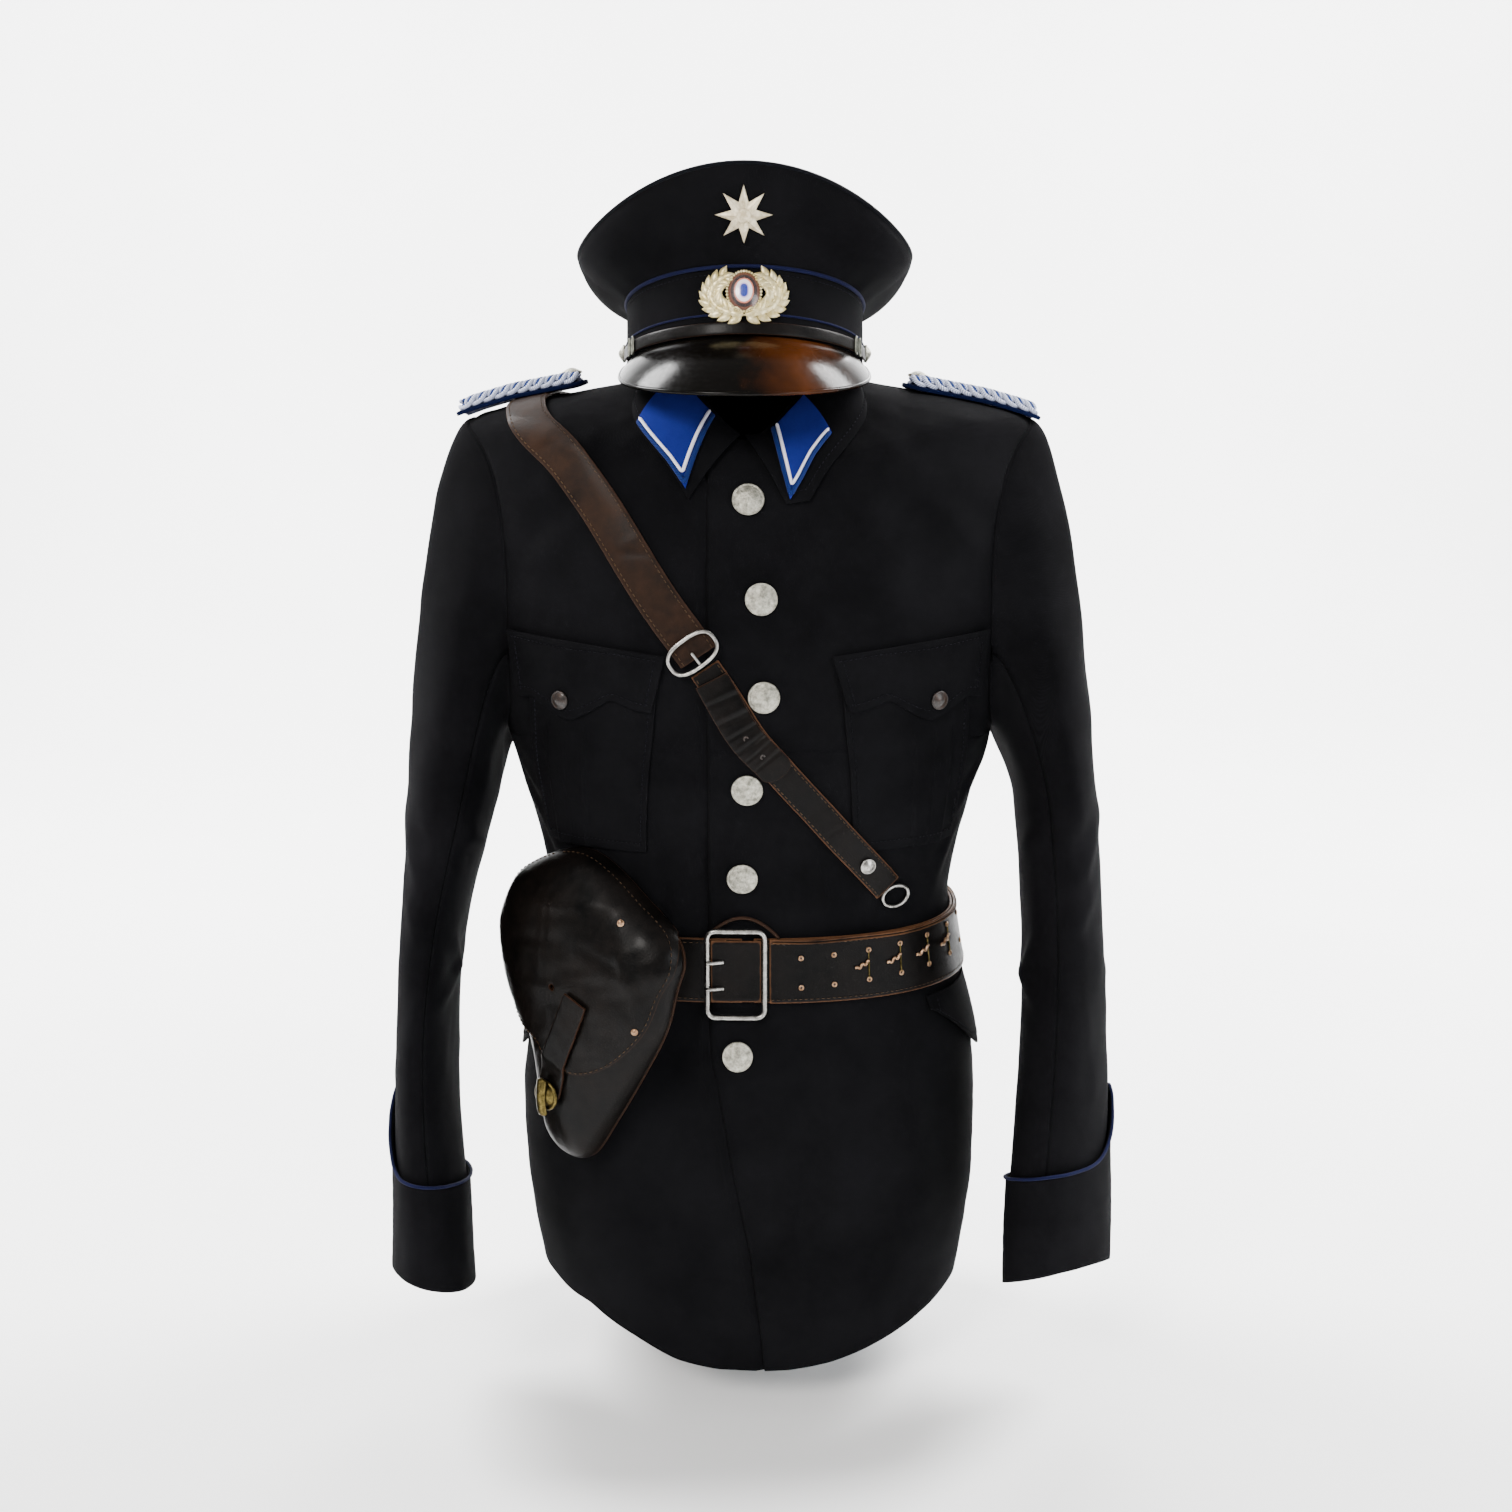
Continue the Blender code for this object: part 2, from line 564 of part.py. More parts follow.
# Collar: a stand sewn to the neckline, a fall over it, and a blue tab on each point
FALL_EDGE = ((12.0, 14.62), (22.0, 14.62), (31.0, 15.9), (43.0, 17.2), (60.0, 18.75), (75.0, 19.35),
             (90.0, 19.6), (135.0, 19.3), (180.0, 19.1))
FALL_TIP = (13.5, 22.0)             # angle of the collar points, wearer's left and right
THROAT = (-2.5, 4.5)                # angle where each front edge leaves the neckline
FOLD_RISE = ((5.0, 0.004), (20.0, 0.018), (40.0, 0.031), (90.0, 0.037), (180.0, 0.040))
COLLAR_COLUMNS = 18
FALL_LIFT = CLOTH + 0.6 * REST
TAB_WALL, TAB_RAISE = 0.0012, 0.0008
TAB_LOW, TAB_HIGH, TAB_BEAD = 0.035, 0.93, 0.035     # levels on the fall, and the raised edge
TAB_FRONT = (0.010, 0.045)          # the tab's front edge on the fall, low and high
TAB_BACK_LEFT, TAB_BACK_RIGHT = 0.125, 0.150


def fall(column, level):
    """Collar fall. column 0 is the front edge and 1 the back; level 0 the edge and 1 the fold."""
    column, level = np.broadcast_arrays(np.asarray(column, float), np.asarray(level, float))
    share = np.abs(column)
    side = np.where(column < 0, -1.0, 1.0)
    tip = np.where(column < 0, FALL_TIP[1], FALL_TIP[0])
    throat = np.where(column < 0, THROAT[1], THROAT[0])
    low_angle = tip + (180.0 - tip) * share
    high_angle = throat + (180.0 - throat) * share ** 0.85
    low = moved(body, side * low_angle, between(FALL_EDGE, low_angle), FALL_LIFT + 0 * low_angle)
    neck = body(side * high_angle, NECK_ROW) * np.array([0.97, 0.97, 1.0])
    high = neck + np.stack([0 * side, 0 * side, between(FOLD_RISE, high_angle)], -1)
    away = high * np.array([1.0, 1.0, 0.0])
    away = away / np.linalg.norm(away, axis=-1, keepdims=True)
    high = high + 0.0035 * away
    t = level[..., None]
    swell = 0.0055 * 4 * t * (1 - t)
    lift = (away + np.array([0.0, 0.0, 0.8])) / 1.28
    return low * (1 - t) + high * t + swell * lift


def make_collar():
    left = np.maximum(spread(0.0, 1.0, COLLAR_COLUMNS) ** 1.2, 1e-6)
    columns = np.concatenate([left, -left[-2::-1]])
    sheet("collar_fall", fall(columns[None, :], spread(0.0, 1.0, 4)[:, None]), CLOTH, NAVY)
    angle = spread(7.0, 350.0, 33)
    half = np.minimum(angle, 360.0 - angle)
    neck = body(angle, NECK_ROW)
    rise = between(FOLD_RISE, half)
    bottom = neck * np.array([0.98, 0.98, 1.0]) + np.array([0.0, 0.0, 0.0012])
    top = neck * np.array([0.965, 0.965, 1.0]) + np.stack([0 * rise, 0 * rise, rise], -1)
    top = top - np.array([0.0, 0.0, 0.0015])
    sheet("collar_stand", np.stack([bottom, top]), CLOTH, NAVY)


def make_tab(side, mark):
    """The blue patch on a collar point; its two lower edges stand out where they are piped."""
    levels = np.concatenate([[TAB_LOW, TAB_LOW + TAB_BEAD], spread(TAB_LOW + 2 * TAB_BEAD, TAB_HIGH, 4)])
    near = TAB_FRONT[0] + (TAB_FRONT[1] - TAB_FRONT[0]) * levels
    across = np.array([0.0, 0.10, 0.20, 0.6, 1.0])
    far = TAB_BACK_LEFT if side > 0 else TAB_BACK_RIGHT
    columns = near[:, None] + (far - near)[:, None] * across[None, :]
    rows = np.broadcast_to(levels[:, None], columns.shape)
    lift = np.full(columns.shape, REST + TAB_WALL)
    lift[:2] += TAB_RAISE
    lift[:, :2] += TAB_RAISE
    lift[:2, :2] -= TAB_RAISE
    points = moved(fall, side * columns, rows, lift, 0.002)
    sheet(f"collar_tab_{mark}", points if side > 0 else points[:, ::-1], TAB_WALL, BLUE)


make_collar()
make_tab(1, "left")
make_tab(-1, "right")


# Pockets: patch pockets with a box pleat and a scalloped flap, and flaps below the belt
POCKET_WALL = 0.0016
PLEAT = 0.0016
POCKET_DRIFT = -2.2                 # degrees that a hanging line moves for each row up
POCKET_COLUMNS = (31.0, 36.5, 42.5, 48.5, 49.5, 54.3, 59.0, 60.0, 65.0)
PLEATED = (0, 0, 0, 0, 1, 1, 1, 0, 0)
POCKET_LEVELS = (8.35, 9.0, 9.7, 10.4, 10.85, 11.0, 11.6)
FLAP_TOP = ((0.0, 11.85), (1.0, 12.1))
FLAP_LOW = ((0.0, 11.22), (0.12, 11.24), (0.3, 11.36), (0.5, 11.14), (0.6, 11.05), (0.7, 11.14),
            (0.86, 11.34), (1.0, 11.30))
FLAP_SPAN_L = (25.0, 30.0, 66.0, 65.5)       # flap corner angles: top and low inner, top and low outer
FLAP_SPAN_R = (25.5, 29.5, 67.0, 66.0)
HIP_LOW = ((0.0, 4.95), (0.35, 4.05), (0.5, 3.84), (0.7, 3.80), (1.0, 3.86))
HIP_SPAN = (60.0, 103.0)


def make_breast_pocket(side, mark):
    levels = np.array(POCKET_LEVELS)[:, None]
    angles = np.array(POCKET_COLUMNS)[None, :] + POCKET_DRIFT * (levels - 10.2)
    pleat = np.array(PLEATED)[None, :] * np.where(levels < 10.95, PLEAT, 0.0)
    out = REST + POCKET_WALL + pleat
    points = moved(body, side * angles, levels, out)
    sheet(f"breast_pocket_{mark}", points if side > 0 else points[:, ::-1], POCKET_WALL, NAVY)


def make_breast_flap(side, mark):
    span = FLAP_SPAN_L if side > 0 else FLAP_SPAN_R
    share = spread(0.0, 1.0, 11)[None, :]
    down = spread(1.0, 0.0, 3)[:, None]
    top = span[0] + (span[2] - span[0]) * share
    low = span[1] + (span[3] - span[1]) * share
    angles = top * (1 - down) + low * down
    rows = between(FLAP_TOP, share) * (1 - down) + between(FLAP_LOW, share) * down
    out = np.full(angles.shape, REST + 2 * POCKET_WALL + 0.0006)
    points = moved(body, side * angles, rows, out)
    sheet(f"breast_flap_{mark}", points if side > 0 else points[:, ::-1], POCKET_WALL, NAVY)


def make_hip_flap(side, mark):
    share = spread(0.0, 1.0, 9)[None, :]
    down = spread(1.0, 0.0, 3)[:, None]
    angles = HIP_SPAN[0] + (HIP_SPAN[1] - HIP_SPAN[0]) * share + 0 * down
    rows = 5.16 * (1 - down) + between(HIP_LOW, share) * down
    out = REST + POCKET_WALL + 0.003 * down
    points = moved(body, side * angles, rows, out)
    sheet(f"hip_flap_{mark}", points if side > 0 else points[:, ::-1], POCKET_WALL, NAVY)


for side, mark in ((1, "left"), (-1, "right")):
    make_breast_pocket(side, mark)
    make_breast_flap(side, mark)
    make_hip_flap(side, mark)


# Buttons down the front, on the flaps and at the shoulders
BUTTON_RADIUS = 0.0125
FRONT_BUTTONS = ((-0.001, 14.88), (0.009, 12.62), (0.011, 11.40), (-0.002, 9.62), (-0.006, 7.90),
                 (-0.010, 4.38))
FLAP_BUTTON = (53.0, 11.32)


def dome(radius, height):
    """Profile of a pressed button: a rolled rim under a shallow dome."""
    arc = np.radians(spread(0.0, 90.0, 3))
    rise = height * 0.62
    crown = [(radius * 0.94 * math.cos(a), height - rise + rise * math.sin(a)) for a in arc[:-1]]
    return [(0.0, height), *crown[::-1], (radius, height * 0.2), (radius * 0.9, 0.0), (0.0, 0.0)]


def sew_button(name, angle, row, lift, radius, height, finish, steps=12):
    place = moved(body, np.array(angle), np.array(row), np.array(lift))
    turned(name, dome(radius, height), place, outward(body, angle, row), finish, steps)


for number, (x, row) in enumerate(FRONT_BUTTONS, 1):
    sew_button(f"front_button_{number}", float(angle_at(x, row)[0]), row, 0.0005,
               BUTTON_RADIUS, 0.0050, ALLOY)
for side, mark in ((1, "left"), (-1, "right")):
    sew_button(f"flap_button_{mark}", side * FLAP_BUTTON[0], FLAP_BUTTON[1],
               REST + 2 * POCKET_WALL + 0.0011, 0.0075, 0.0035, HORN, 12)


# Waist belt, in two layers to the wearer's left, with a two-pronged buckle
BELT_WALL = 0.0022                  # one layer of belt leather
LAYER = 0.0006                      # gap between stacked leathers
TONGUE_SPAN = (7.6, 112.0)          # the outer layer, from the buckle round the left side
BAND_GAP = (-3.0, 1.5)              # where the inner band's ends meet behind the buckle
BUCKLE_X = (-0.034, 0.012)
BUCKLE_ROWS = (5.08, 6.92)
WIRE = 0.0021
PRONG_ROWS = (5.68, 6.25)


def belt_columns():
    """Angles round the waist at the belt's three levels: the columns of the cloth below it."""
    low = int(np.argmin(np.abs(PANEL_ROWS - BELT_LOW)))
    left, right, back = front_panel(1)[low:low + 3], front_panel(-1)[low:low + 3], back_panel()[low:low + 3]
    start, end = np.full((3, 1), BAND_GAP[1]), np.full((3, 1), 360.0 + BAND_GAP[0])
    return np.concatenate([start, left[:, 2:-1], back, 360.0 + right[:, :2:-1][:, 1:], end], 1)


def belt_grid(columns, out):
    levels = np.array([BELT_LOW, (BELT_LOW + BELT_HIGH) / 2, BELT_HIGH])[:, None]
    return moved(body, columns, np.broadcast_to(levels, columns.shape), np.full(columns.shape, out))


def make_belt():
    inner = REST + BELT_WALL
    columns = belt_columns()
    sheet("belt_band", belt_grid(columns, inner), BELT_WALL, BLACK)
    outer = inner + LAYER + BELT_WALL
    over = columns[:, (columns[1] > TONGUE_SPAN[0] + 2.0) & (columns[1] < TONGUE_SPAN[1])]
    start = np.full((3, 1), TONGUE_SPAN[0])
    sheet("belt_tongue", belt_grid(np.concatenate([start, over], 1), outer), BELT_WALL, BLACK)
    lift = inner + LAYER + WIRE
    corner = 0.006
    left, right = BUCKLE_X
    low, high = BUCKLE_ROWS
    row_size = 0.040
    arc = np.radians(spread(0.0, 90.0, 4))
    spots = []
    for cx, cr, turn in ((right, high, 0.0), (left, high, 90.0), (left, low, 180.0), (right, low, 270.0)):
        sx = -1.0 if cx > 0 else 1.0
        sr = -1.0 if cr > 6 else 1.0
        for a in arc + math.radians(turn):
            spots.append((cx + corner * (sx + math.cos(a)), cr + corner / row_size * (sr + math.sin(a))))
    frame = [moved(body, angle_at(x, row)[0], np.array(row), np.array(lift + 0.0001)) for x, row in spots]
    tube("belt_buckle", frame, WIRE, NICKEL, closed=True)
    for number, row in enumerate(PRONG_ROWS, 1):
        across = spread(right - 0.0027, left + 0.0028, 6)
        height = np.array(inner + LAYER + 0.0017)
        line = [moved(body, angle_at(x, row)[0], np.array(row), height) for x in across]
        tube(f"belt_prong_{number}", line, 0.0014, NICKEL)


make_belt()

# Cross strap: over the right shoulder, down to the belt's left front and left back
STRAP_WALL = 0.0026
LONG_WIDTH, SHORT_WIDTH, TAIL_WIDTH = 0.032, 0.025, 0.027
SHORT_PATH = ((47.5, 7.61), (39.5, 8.12), (26.0, 8.95), (11.0, 9.95), (-3.0, 11.10), (-14.0, 11.72))
SHORT_RISE = ((22.0, 0.0), (30.0, 0.0029), (42.0, 0.0029), (48.0, 0.0))     # over the pocket corner
TAIL_PATH = ((10.5, 9.95), (3.0, 10.55), (-5.5, 11.18), (-11.8, 11.60))
LONG_PATH = ((-15.8, 11.85), (-28.5, 12.60), (-39.5, 13.45), (-51.0, 14.50), (-63.5, 15.85),
             (-75.0, 16.85), (-90.0, 17.40), (-106.0, 17.00), (-124.0, 15.80), (-141.0, 14.10),
             (-158.0, 12.00), (-174.0, 10.00), (-188.0, 8.60), (-197.1, 7.66))
STRAP_BUCKLE = (-17.5, 11.90)
STUD = (39.5, 8.12)


def strap(name, stops, count, width, out, finish, rise=None, taper=False):
    """A strap along (angle, row) stops; rise lifts it over what lies on the cloth."""
    path = smooth_path(stops, count)
    if rise:
        out = out + between(rise, path[:, 0])
    lines = ribbon(body, path, width, out)
    if taper:
        middle = lines[1, :2].copy()
        for line in (lines[0], lines[2]):
            line[0] = middle[0] + (line[0] - middle[0]) * 0.45
            line[1] = middle[1] + (line[1] - middle[1]) * 0.9
    return sheet(name, lines, STRAP_WALL, finish)


def make_straps():
    first = REST + STRAP_WALL
    second = first + LAYER + STRAP_WALL
    strap("strap_short", SHORT_PATH, 17, SHORT_WIDTH, first, BLACK, rise=SHORT_RISE)
    strap("strap_tail", TAIL_PATH, 8, TAIL_WIDTH, second, BLACK, taper=True)
    strap("strap_long", LONG_PATH, 38, LONG_WIDTH, first + 0.0008, BROWN)
    place = np.array(STRAP_BUCKLE)
    middle = moved(body, place[0], place[1], np.array(first + LAYER + 0.0029))
    facing = outward(body, place[0], place[1])
    ahead = body(np.array(-29.0), np.array(12.6)) - body(np.array(10.0), np.array(10.1))
    along = ahead - facing * (ahead @ facing)
    along = along / np.linalg.norm(along)
    across = np.cross(facing, along)
    turn = np.radians(spread(0.0, 360.0, 15)[:-1])
    loop = [middle + 0.020 * math.cos(a) * across + 0.0115 * math.sin(a) * along
            - facing * 0.0014 * math.cos(a) ** 2 for a in turn]
    tube("strap_buckle", loop, 0.0014, NICKEL, closed=True)
    sew_button("strap_stud", STUD[0], STUD[1], first + 0.0034, 0.0065, 0.0035, NICKEL, 12)
    for mark, angle in (("front", 50.6), ("back", -199.6)):
        turn = np.radians(spread(0.0, 360.0, 13)[:-1])
        rows = 7.42 + 0.20 * np.sin(turn)
        angles = angle + 4.2 * np.cos(turn)
        out = np.full(rows.shape, 0.7 * REST + 0.0014)
        tube(f"strap_ring_{mark}", moved(body, angles, rows, out), 0.0014, NICKEL, closed=True)


make_straps()

# Shoulder cords: a braided pad on each shoulder with a button at its neck end
PAD_LEFT, PAD_RIGHT = (0.126, 0.236), (0.134, 0.238)       # from, to
PAD_HALF_WIDTH = 0.0235
PAD_THICK = 0.0055
PAD_LIFT_LEFT, PAD_LIFT_RIGHT = 0.0014, 0.0054


def make_pad(side, mark):
    start, end = PAD_LEFT if side > 0 else PAD_RIGHT
    lift = (PAD_LIFT_LEFT if side > 0 else PAD_LIFT_RIGHT) + PAD_THICK
    reach = spread(start, end, 8)
    height = np.interp(reach, [0.072, 0.100, 0.140, 0.193, 0.222, 0.240],
                       [0.004, -0.001, -0.008, -0.018, -0.0262, -0.0325]) + lift
    taper = np.sqrt(np.clip(1 - ((0.016 - (reach - start)).clip(0) / 0.017) ** 2, 0.04, 1))
    share = spread(-1.0, 1.0, 5)
    y = share[:, None] * PAD_HALF_WIDTH * taper[None, :] - 0.004
    z = height[None, :] - y ** 2 / (2 * 0.150)
    points = np.stack([np.broadcast_to(side * reach, y.shape), y, z], -1)
    sheet(f"shoulder_cord_{mark}", points if side > 0 else points[:, ::-1], PAD_THICK, CORD)
    spot = points[2, 1] + np.array([0.0, 0.0, 0.0012])
    turned(f"shoulder_button_{mark}", dome(0.0078, 0.0050), spot, (0.08 * side, -0.05, 1.0), ALLOY, 12)


make_pad(1, "left")
make_pad(-1, "right")


# Peaked cap, tipped back. Its skin runs up from the band and over the crown.
CAP_COLUMNS = ("middle_y", "middle_z", "half_x", "half_y", "tilt", "peak")
BAND = (
    (-0.0090, 0.0104, 0.096, 0.096, 12.0, 0.0),
    (0.0028, 0.0580, 0.096, 0.096, 13.5, 0.0),
)
CROWN = (
    (0.0028, 0.0585, 0.0960, 0.0960, 13.5, 0.0),
    (0.0010, 0.0655, 0.1055, 0.1005, 16.5, 0.2),
    (-0.0010, 0.0765, 0.1220, 0.1150, 21.0, 0.5),
    (0.0040, 0.0910, 0.1340, 0.1280, 25.0, 0.8),
    (0.0070, 0.1005, 0.1300, 0.1240, 24.5, 0.8),
    (0.0100, 0.1070, 0.1020, 0.0970, 24.0, 0.7),
    (0.0120, 0.1105, 0.0500, 0.0480, 24.0, 0.3),
    (0.0125, 0.1110, 0.0160, 0.0150, 24.0, 0.0),
)
RIM_ROW = 3.0
CAP_SHIFT = np.array([-0.004, 0.0, 0.0])
CAP_WALL = 0.0019
VISOR_SPAN = 74.0
VISOR_LONG = 0.062
VISOR_WALL = 0.0022


def cap_ring(rows, angle, row, straight):
    """A point of the cap. Angle 0 is the front, and rows go up the band or over the crown."""
    angle, row = np.broadcast_arrays(np.asarray(angle, float), np.asarray(row, float))
    if straight:
        table = np.asarray(rows, float)
        share = row[..., None]
        ring = table[0] + (table[1] - table[0]) * share
    else:
        ring = through(rows, row)
    middle_y, middle_z, half_x, half_y, tilt, peak = np.moveaxis(ring, -1, 0)
    turn, lean = np.radians(angle), np.radians(tilt)
    ahead = half_y * np.cos(turn)
    lifted = ahead * (1.0 - peak * np.where(ahead > 0, 1.0 - np.cos(turn), 0.0))
    spot = np.stack([half_x * np.sin(turn), middle_y - ahead * np.cos(lean),
                     middle_z + lifted * np.sin(lean)], -1)
    return spot + CAP_SHIFT


def band(angle, row):
    return cap_ring(BAND, angle, row, True)


def crown(angle, row):
    return cap_ring(CROWN, angle, row, False)


def make_cap():
    full = spread(0.0, 360.0, 27)[:-1]
    rows = np.array([0.0, 0.995])[:, None]
    sheet("cap_band", band(full[None, :], rows), CAP_WALL, NAVY, round_it=True)
    rows = np.array([0.02, 0.9, 2.0, 2.7, 3.05, 3.28, 3.38])[:, None]
    sheet("crown_side", crown(full[None, :], rows), CAP_WALL, NAVY, round_it=True)
    rows = np.array([3.60, 3.76, 3.95, 4.3, 5.1, 6.6])[:, None]
    sheet("crown_top", crown(full[None, :], rows), CAP_WALL, NAVY, round_it=True, pole=True)


def visor_point(angle, share):
    """The visor slopes down and forward from the band's lower edge. share 1 is its rim."""
    start = band(angle, -0.02)
    shape = np.cos(np.radians(angle / VISOR_SPAN * 90.0)).clip(0)
    length = 0.004 + VISOR_LONG * shape ** 0.75
    turn = np.radians(angle)
    ahead = np.stack([np.sin(turn) * 0.55, -0.74 * (0.35 + 0.65 * np.cos(turn)), -0.66 + 0 * turn], -1)
    ahead = ahead / np.linalg.norm(ahead, axis=-1, keepdims=True)
    bow = 0.006 * 4 * share * (1 - share) * shape
    rise = np.stack([0 * turn, -0.66 + 0 * turn, 0.74 + 0 * turn], -1)
    return start + (share * length)[..., None] * ahead + bow[..., None] * rise


def make_visor():
    angle = spread(-VISOR_SPAN, VISOR_SPAN, 19)[None, :]
    share = spread(1.0, 0.0, 5)[:, None]
    angle, share = np.broadcast_arrays(angle, share)
    sheet("cap_visor", visor_point(angle, share), VISOR_WALL, GLOSS)
    span = spread(-80.0, 80.0, 19)
    path = np.stack([span, 0.13 - 0.05 * np.cos(np.radians(span))], -1)
    lines = ribbon(band, path, 0.0095, np.full(19, 0.0006 + 0.0022))
    sheet("chin_strap", lines, 0.0022, GLOSS)
    for mark, angle in (("left", 86.0), ("right", -86.0)):
        place = moved(band, np.array(angle), np.array(0.20), np.array(0.0005))
        turned(f"cap_button_{mark}", dome(0.0070, 0.0065), place, outward(band, angle, 0.20), ALLOY, 12)


make_cap()
make_visor()


# Cap badges: a star over a leaf wreath that holds a ring cockade
STAR_POINTS, STAR_ROW = 8, 1.9
STAR_RADII = (0.0215, 0.0095)       # its points and the hollows between them
WREATH_SIZE = (0.037, 0.0200)       # half width and half height of the wreath
WREATH_ROW, WREATH_INNER = 0.58, 0.63
WREATH_OPEN = 28.0                  # degrees from straight up where each branch ends
COCKADE_RADIUS = 0.0112
BADGE_WALL = 0.0016


def cap_spots(surface, row, right, up):
    """Skin places that lie a distance right and up from a place on the cap's front."""
    facing = outward(surface, 0.0, row)
    side = np.array([1.0, 0.0, 0.0])
    above = np.cross(facing, side)
    target = surface(0.0, row) + np.asarray(right)[..., None] * side + np.asarray(up)[..., None] * above
    return nearest(surface, target, 0.0 * np.asarray(right), row + 0.0 * np.asarray(up))


def make_badges():
    turn = np.pi / STAR_POINTS * np.arange(2 * STAR_POINTS)
    reach = np.where(np.arange(2 * STAR_POINTS) % 2, STAR_RADII[1], STAR_RADII[0])
    share = np.array([1.0, 0.15])[:, None]
    angle, row = cap_spots(crown, STAR_ROW, -share * reach * np.sin(turn), share * reach * np.cos(turn))
    out = np.array([REST + BADGE_WALL, REST + BADGE_WALL + 0.0025])[:, None] + 0 * angle
    sheet("badge_star", moved(crown, angle, row, out), BADGE_WALL, GILT, round_it=True, pole=True)
    turn = np.radians(spread(WREATH_OPEN, 360.0 - WREATH_OPEN, 21))
    share = np.array([1.0, (1.0 + WREATH_INNER) / 2, WREATH_INNER])[:, None]
    angle, row = cap_spots(band, WREATH_ROW, -share * WREATH_SIZE[0] * np.sin(turn),
                           share * WREATH_SIZE[1] * np.cos(turn))
    out = np.array([0.0, 0.0014, 0.0])[:, None] + 0.7 * REST + BADGE_WALL + 0 * angle
    sheet("badge_wreath", moved(band, angle, row, out), BADGE_WALL, GILT)
    place = moved(band, np.array(0.0), np.array(WREATH_ROW), np.array(0.0006))
    turned("badge_cockade", dome(COCKADE_RADIUS, 0.0050), place, outward(band, 0.0, WREATH_ROW), ENAMEL, 14)


make_badges()

# Holster: a moulded pouch on a back plate, its flap, closing strap, clasp and belt loop
HOLSTER_TURN, HOLSTER_LEAN = 36.0, 7.0          # how far it faces outwards and leans back
HOLSTER_PLACE = np.array([-0.1406, -0.1145, -0.4678])
HOLSTER_SHIFT = -0.0060                         # moved in, so that it lies against its belt loop
HOLSTER_COLUMNS = ("right", "up", "flap_share")
HOLSTER_OUTLINE = (
    (-0.024, 0.090, 1.00),
    (-0.060, 0.071, 1.00),
    (-0.075, 0.045, 1.00),
    (-0.077, 0.022, 1.00),
    (-0.070, -0.006, 1.00),
    (-0.058, -0.030, 0.97),
    (-0.044, -0.055, 0.80),
    (-0.031, -0.085, 0.58),
    (-0.022, -0.115, 0.46),
    (-0.012, -0.146, 0.40),
    (0.005, -0.157, 0.39),
    (0.026, -0.152, 0.42),
    (0.048, -0.118, 0.60),
    (0.072, -0.075, 0.80),
    (0.092, -0.034, 0.91),
    (0.100, 0.002, 0.95),
    (0.105, 0.024, 0.98),
    (0.095, 0.045, 1.00),
    (0.063, 0.066, 1.00),
    (0.034, 0.084, 1.00),
    (0.006, 0.094, 1.00),
)
HOLSTER_HEART = (0.004, -0.010)
HOLSTER_WALL = 0.0024
HOLSTER_DEEP = 0.034
HOLSTER_ROWS = (1.0, 0.985, 0.94, 0.82, 0.5, 0.05)
HOLSTER_STRAP = ((0.032, -0.014), (0.022, -0.041), (0.012, -0.067), (0.003, -0.097))
HOLSTER_STRAP_WIDTH = 0.024
CLASP = (0.004, -0.098)
CLASP_PROBE = 0.010                             # how far apart the leather is sampled to face it
CLASP_GAP = 0.0012                              # between the strap's end and the pouch
X_STEPS, Y_STEPS = np.array([-1.0, 1.0, 0.0, 0.0]), np.array([0.0, 0.0, -1.0, 1.0])
LOOP_SPAN, LOOP_WALL = (34.0, 60.0), 0.0022     # where the belt loop lies, degrees to the right
LOOP_ENDS = (-0.046, 0.046)                     # where its ends meet the back plate
LOOP_LAP = 0.010                                # how far each end lies along the plate
LOOP_OVER = 0.05                                # rows that it stands beyond the belt's edges


def holster_frame():
    turn, lean = math.radians(HOLSTER_TURN), math.radians(HOLSTER_LEAN)
    right = np.array([math.cos(turn), -math.sin(turn), 0.0])
    flat = np.array([-math.sin(turn), -math.cos(turn), 0.0])
    face = flat * math.cos(lean) + np.array([0.0, 0.0, math.sin(lean)])
    return right, np.cross(face, right), face


def holster_world(right, up, depth):
    """World point from a place in the holster's plane and the depth in front of it."""
    along, above, face = holster_frame()
    parts = [np.asarray(size, float)[..., None] * way for size, way in
             ((right, along), (up, above), (np.asarray(depth) + HOLSTER_SHIFT, face))]
    return HOLSTER_PLACE + parts[0] + parts[1] + parts[2]


def pouch(index, share):
    """The holster's moulded front: index goes round the outline, share 1 is its edge."""
    index, share = np.broadcast_arrays(np.asarray(index, float), np.asarray(share, float))
    outline = np.array(HOLSTER_OUTLINE)
    count = len(outline)
    outline = np.concatenate([outline, outline[:1]])
    flat = [np.interp(index % count, np.arange(count + 1), outline[:, k]) for k in (0, 1)]
    right, up = [heart + (edge - heart) * share for heart, edge in zip(HOLSTER_HEART, flat)]
    depth = REST + HOLSTER_DEEP * np.sqrt(1.0 - share.clip(0, 1) ** 4)
    return holster_world(right, up, depth)


def pouch_normal(index, share):
    """Unit vector out of the moulded front."""
    share = np.minimum(share, 0.995)
    run = pouch(index + 0.4, share) - pouch(index - 0.4, share)
    climb = pouch(index, share - 0.004) - pouch(index, share + 0.004)
    normal = np.cross(run, climb)
    return normal / np.linalg.norm(normal, axis=-1, keepdims=True)


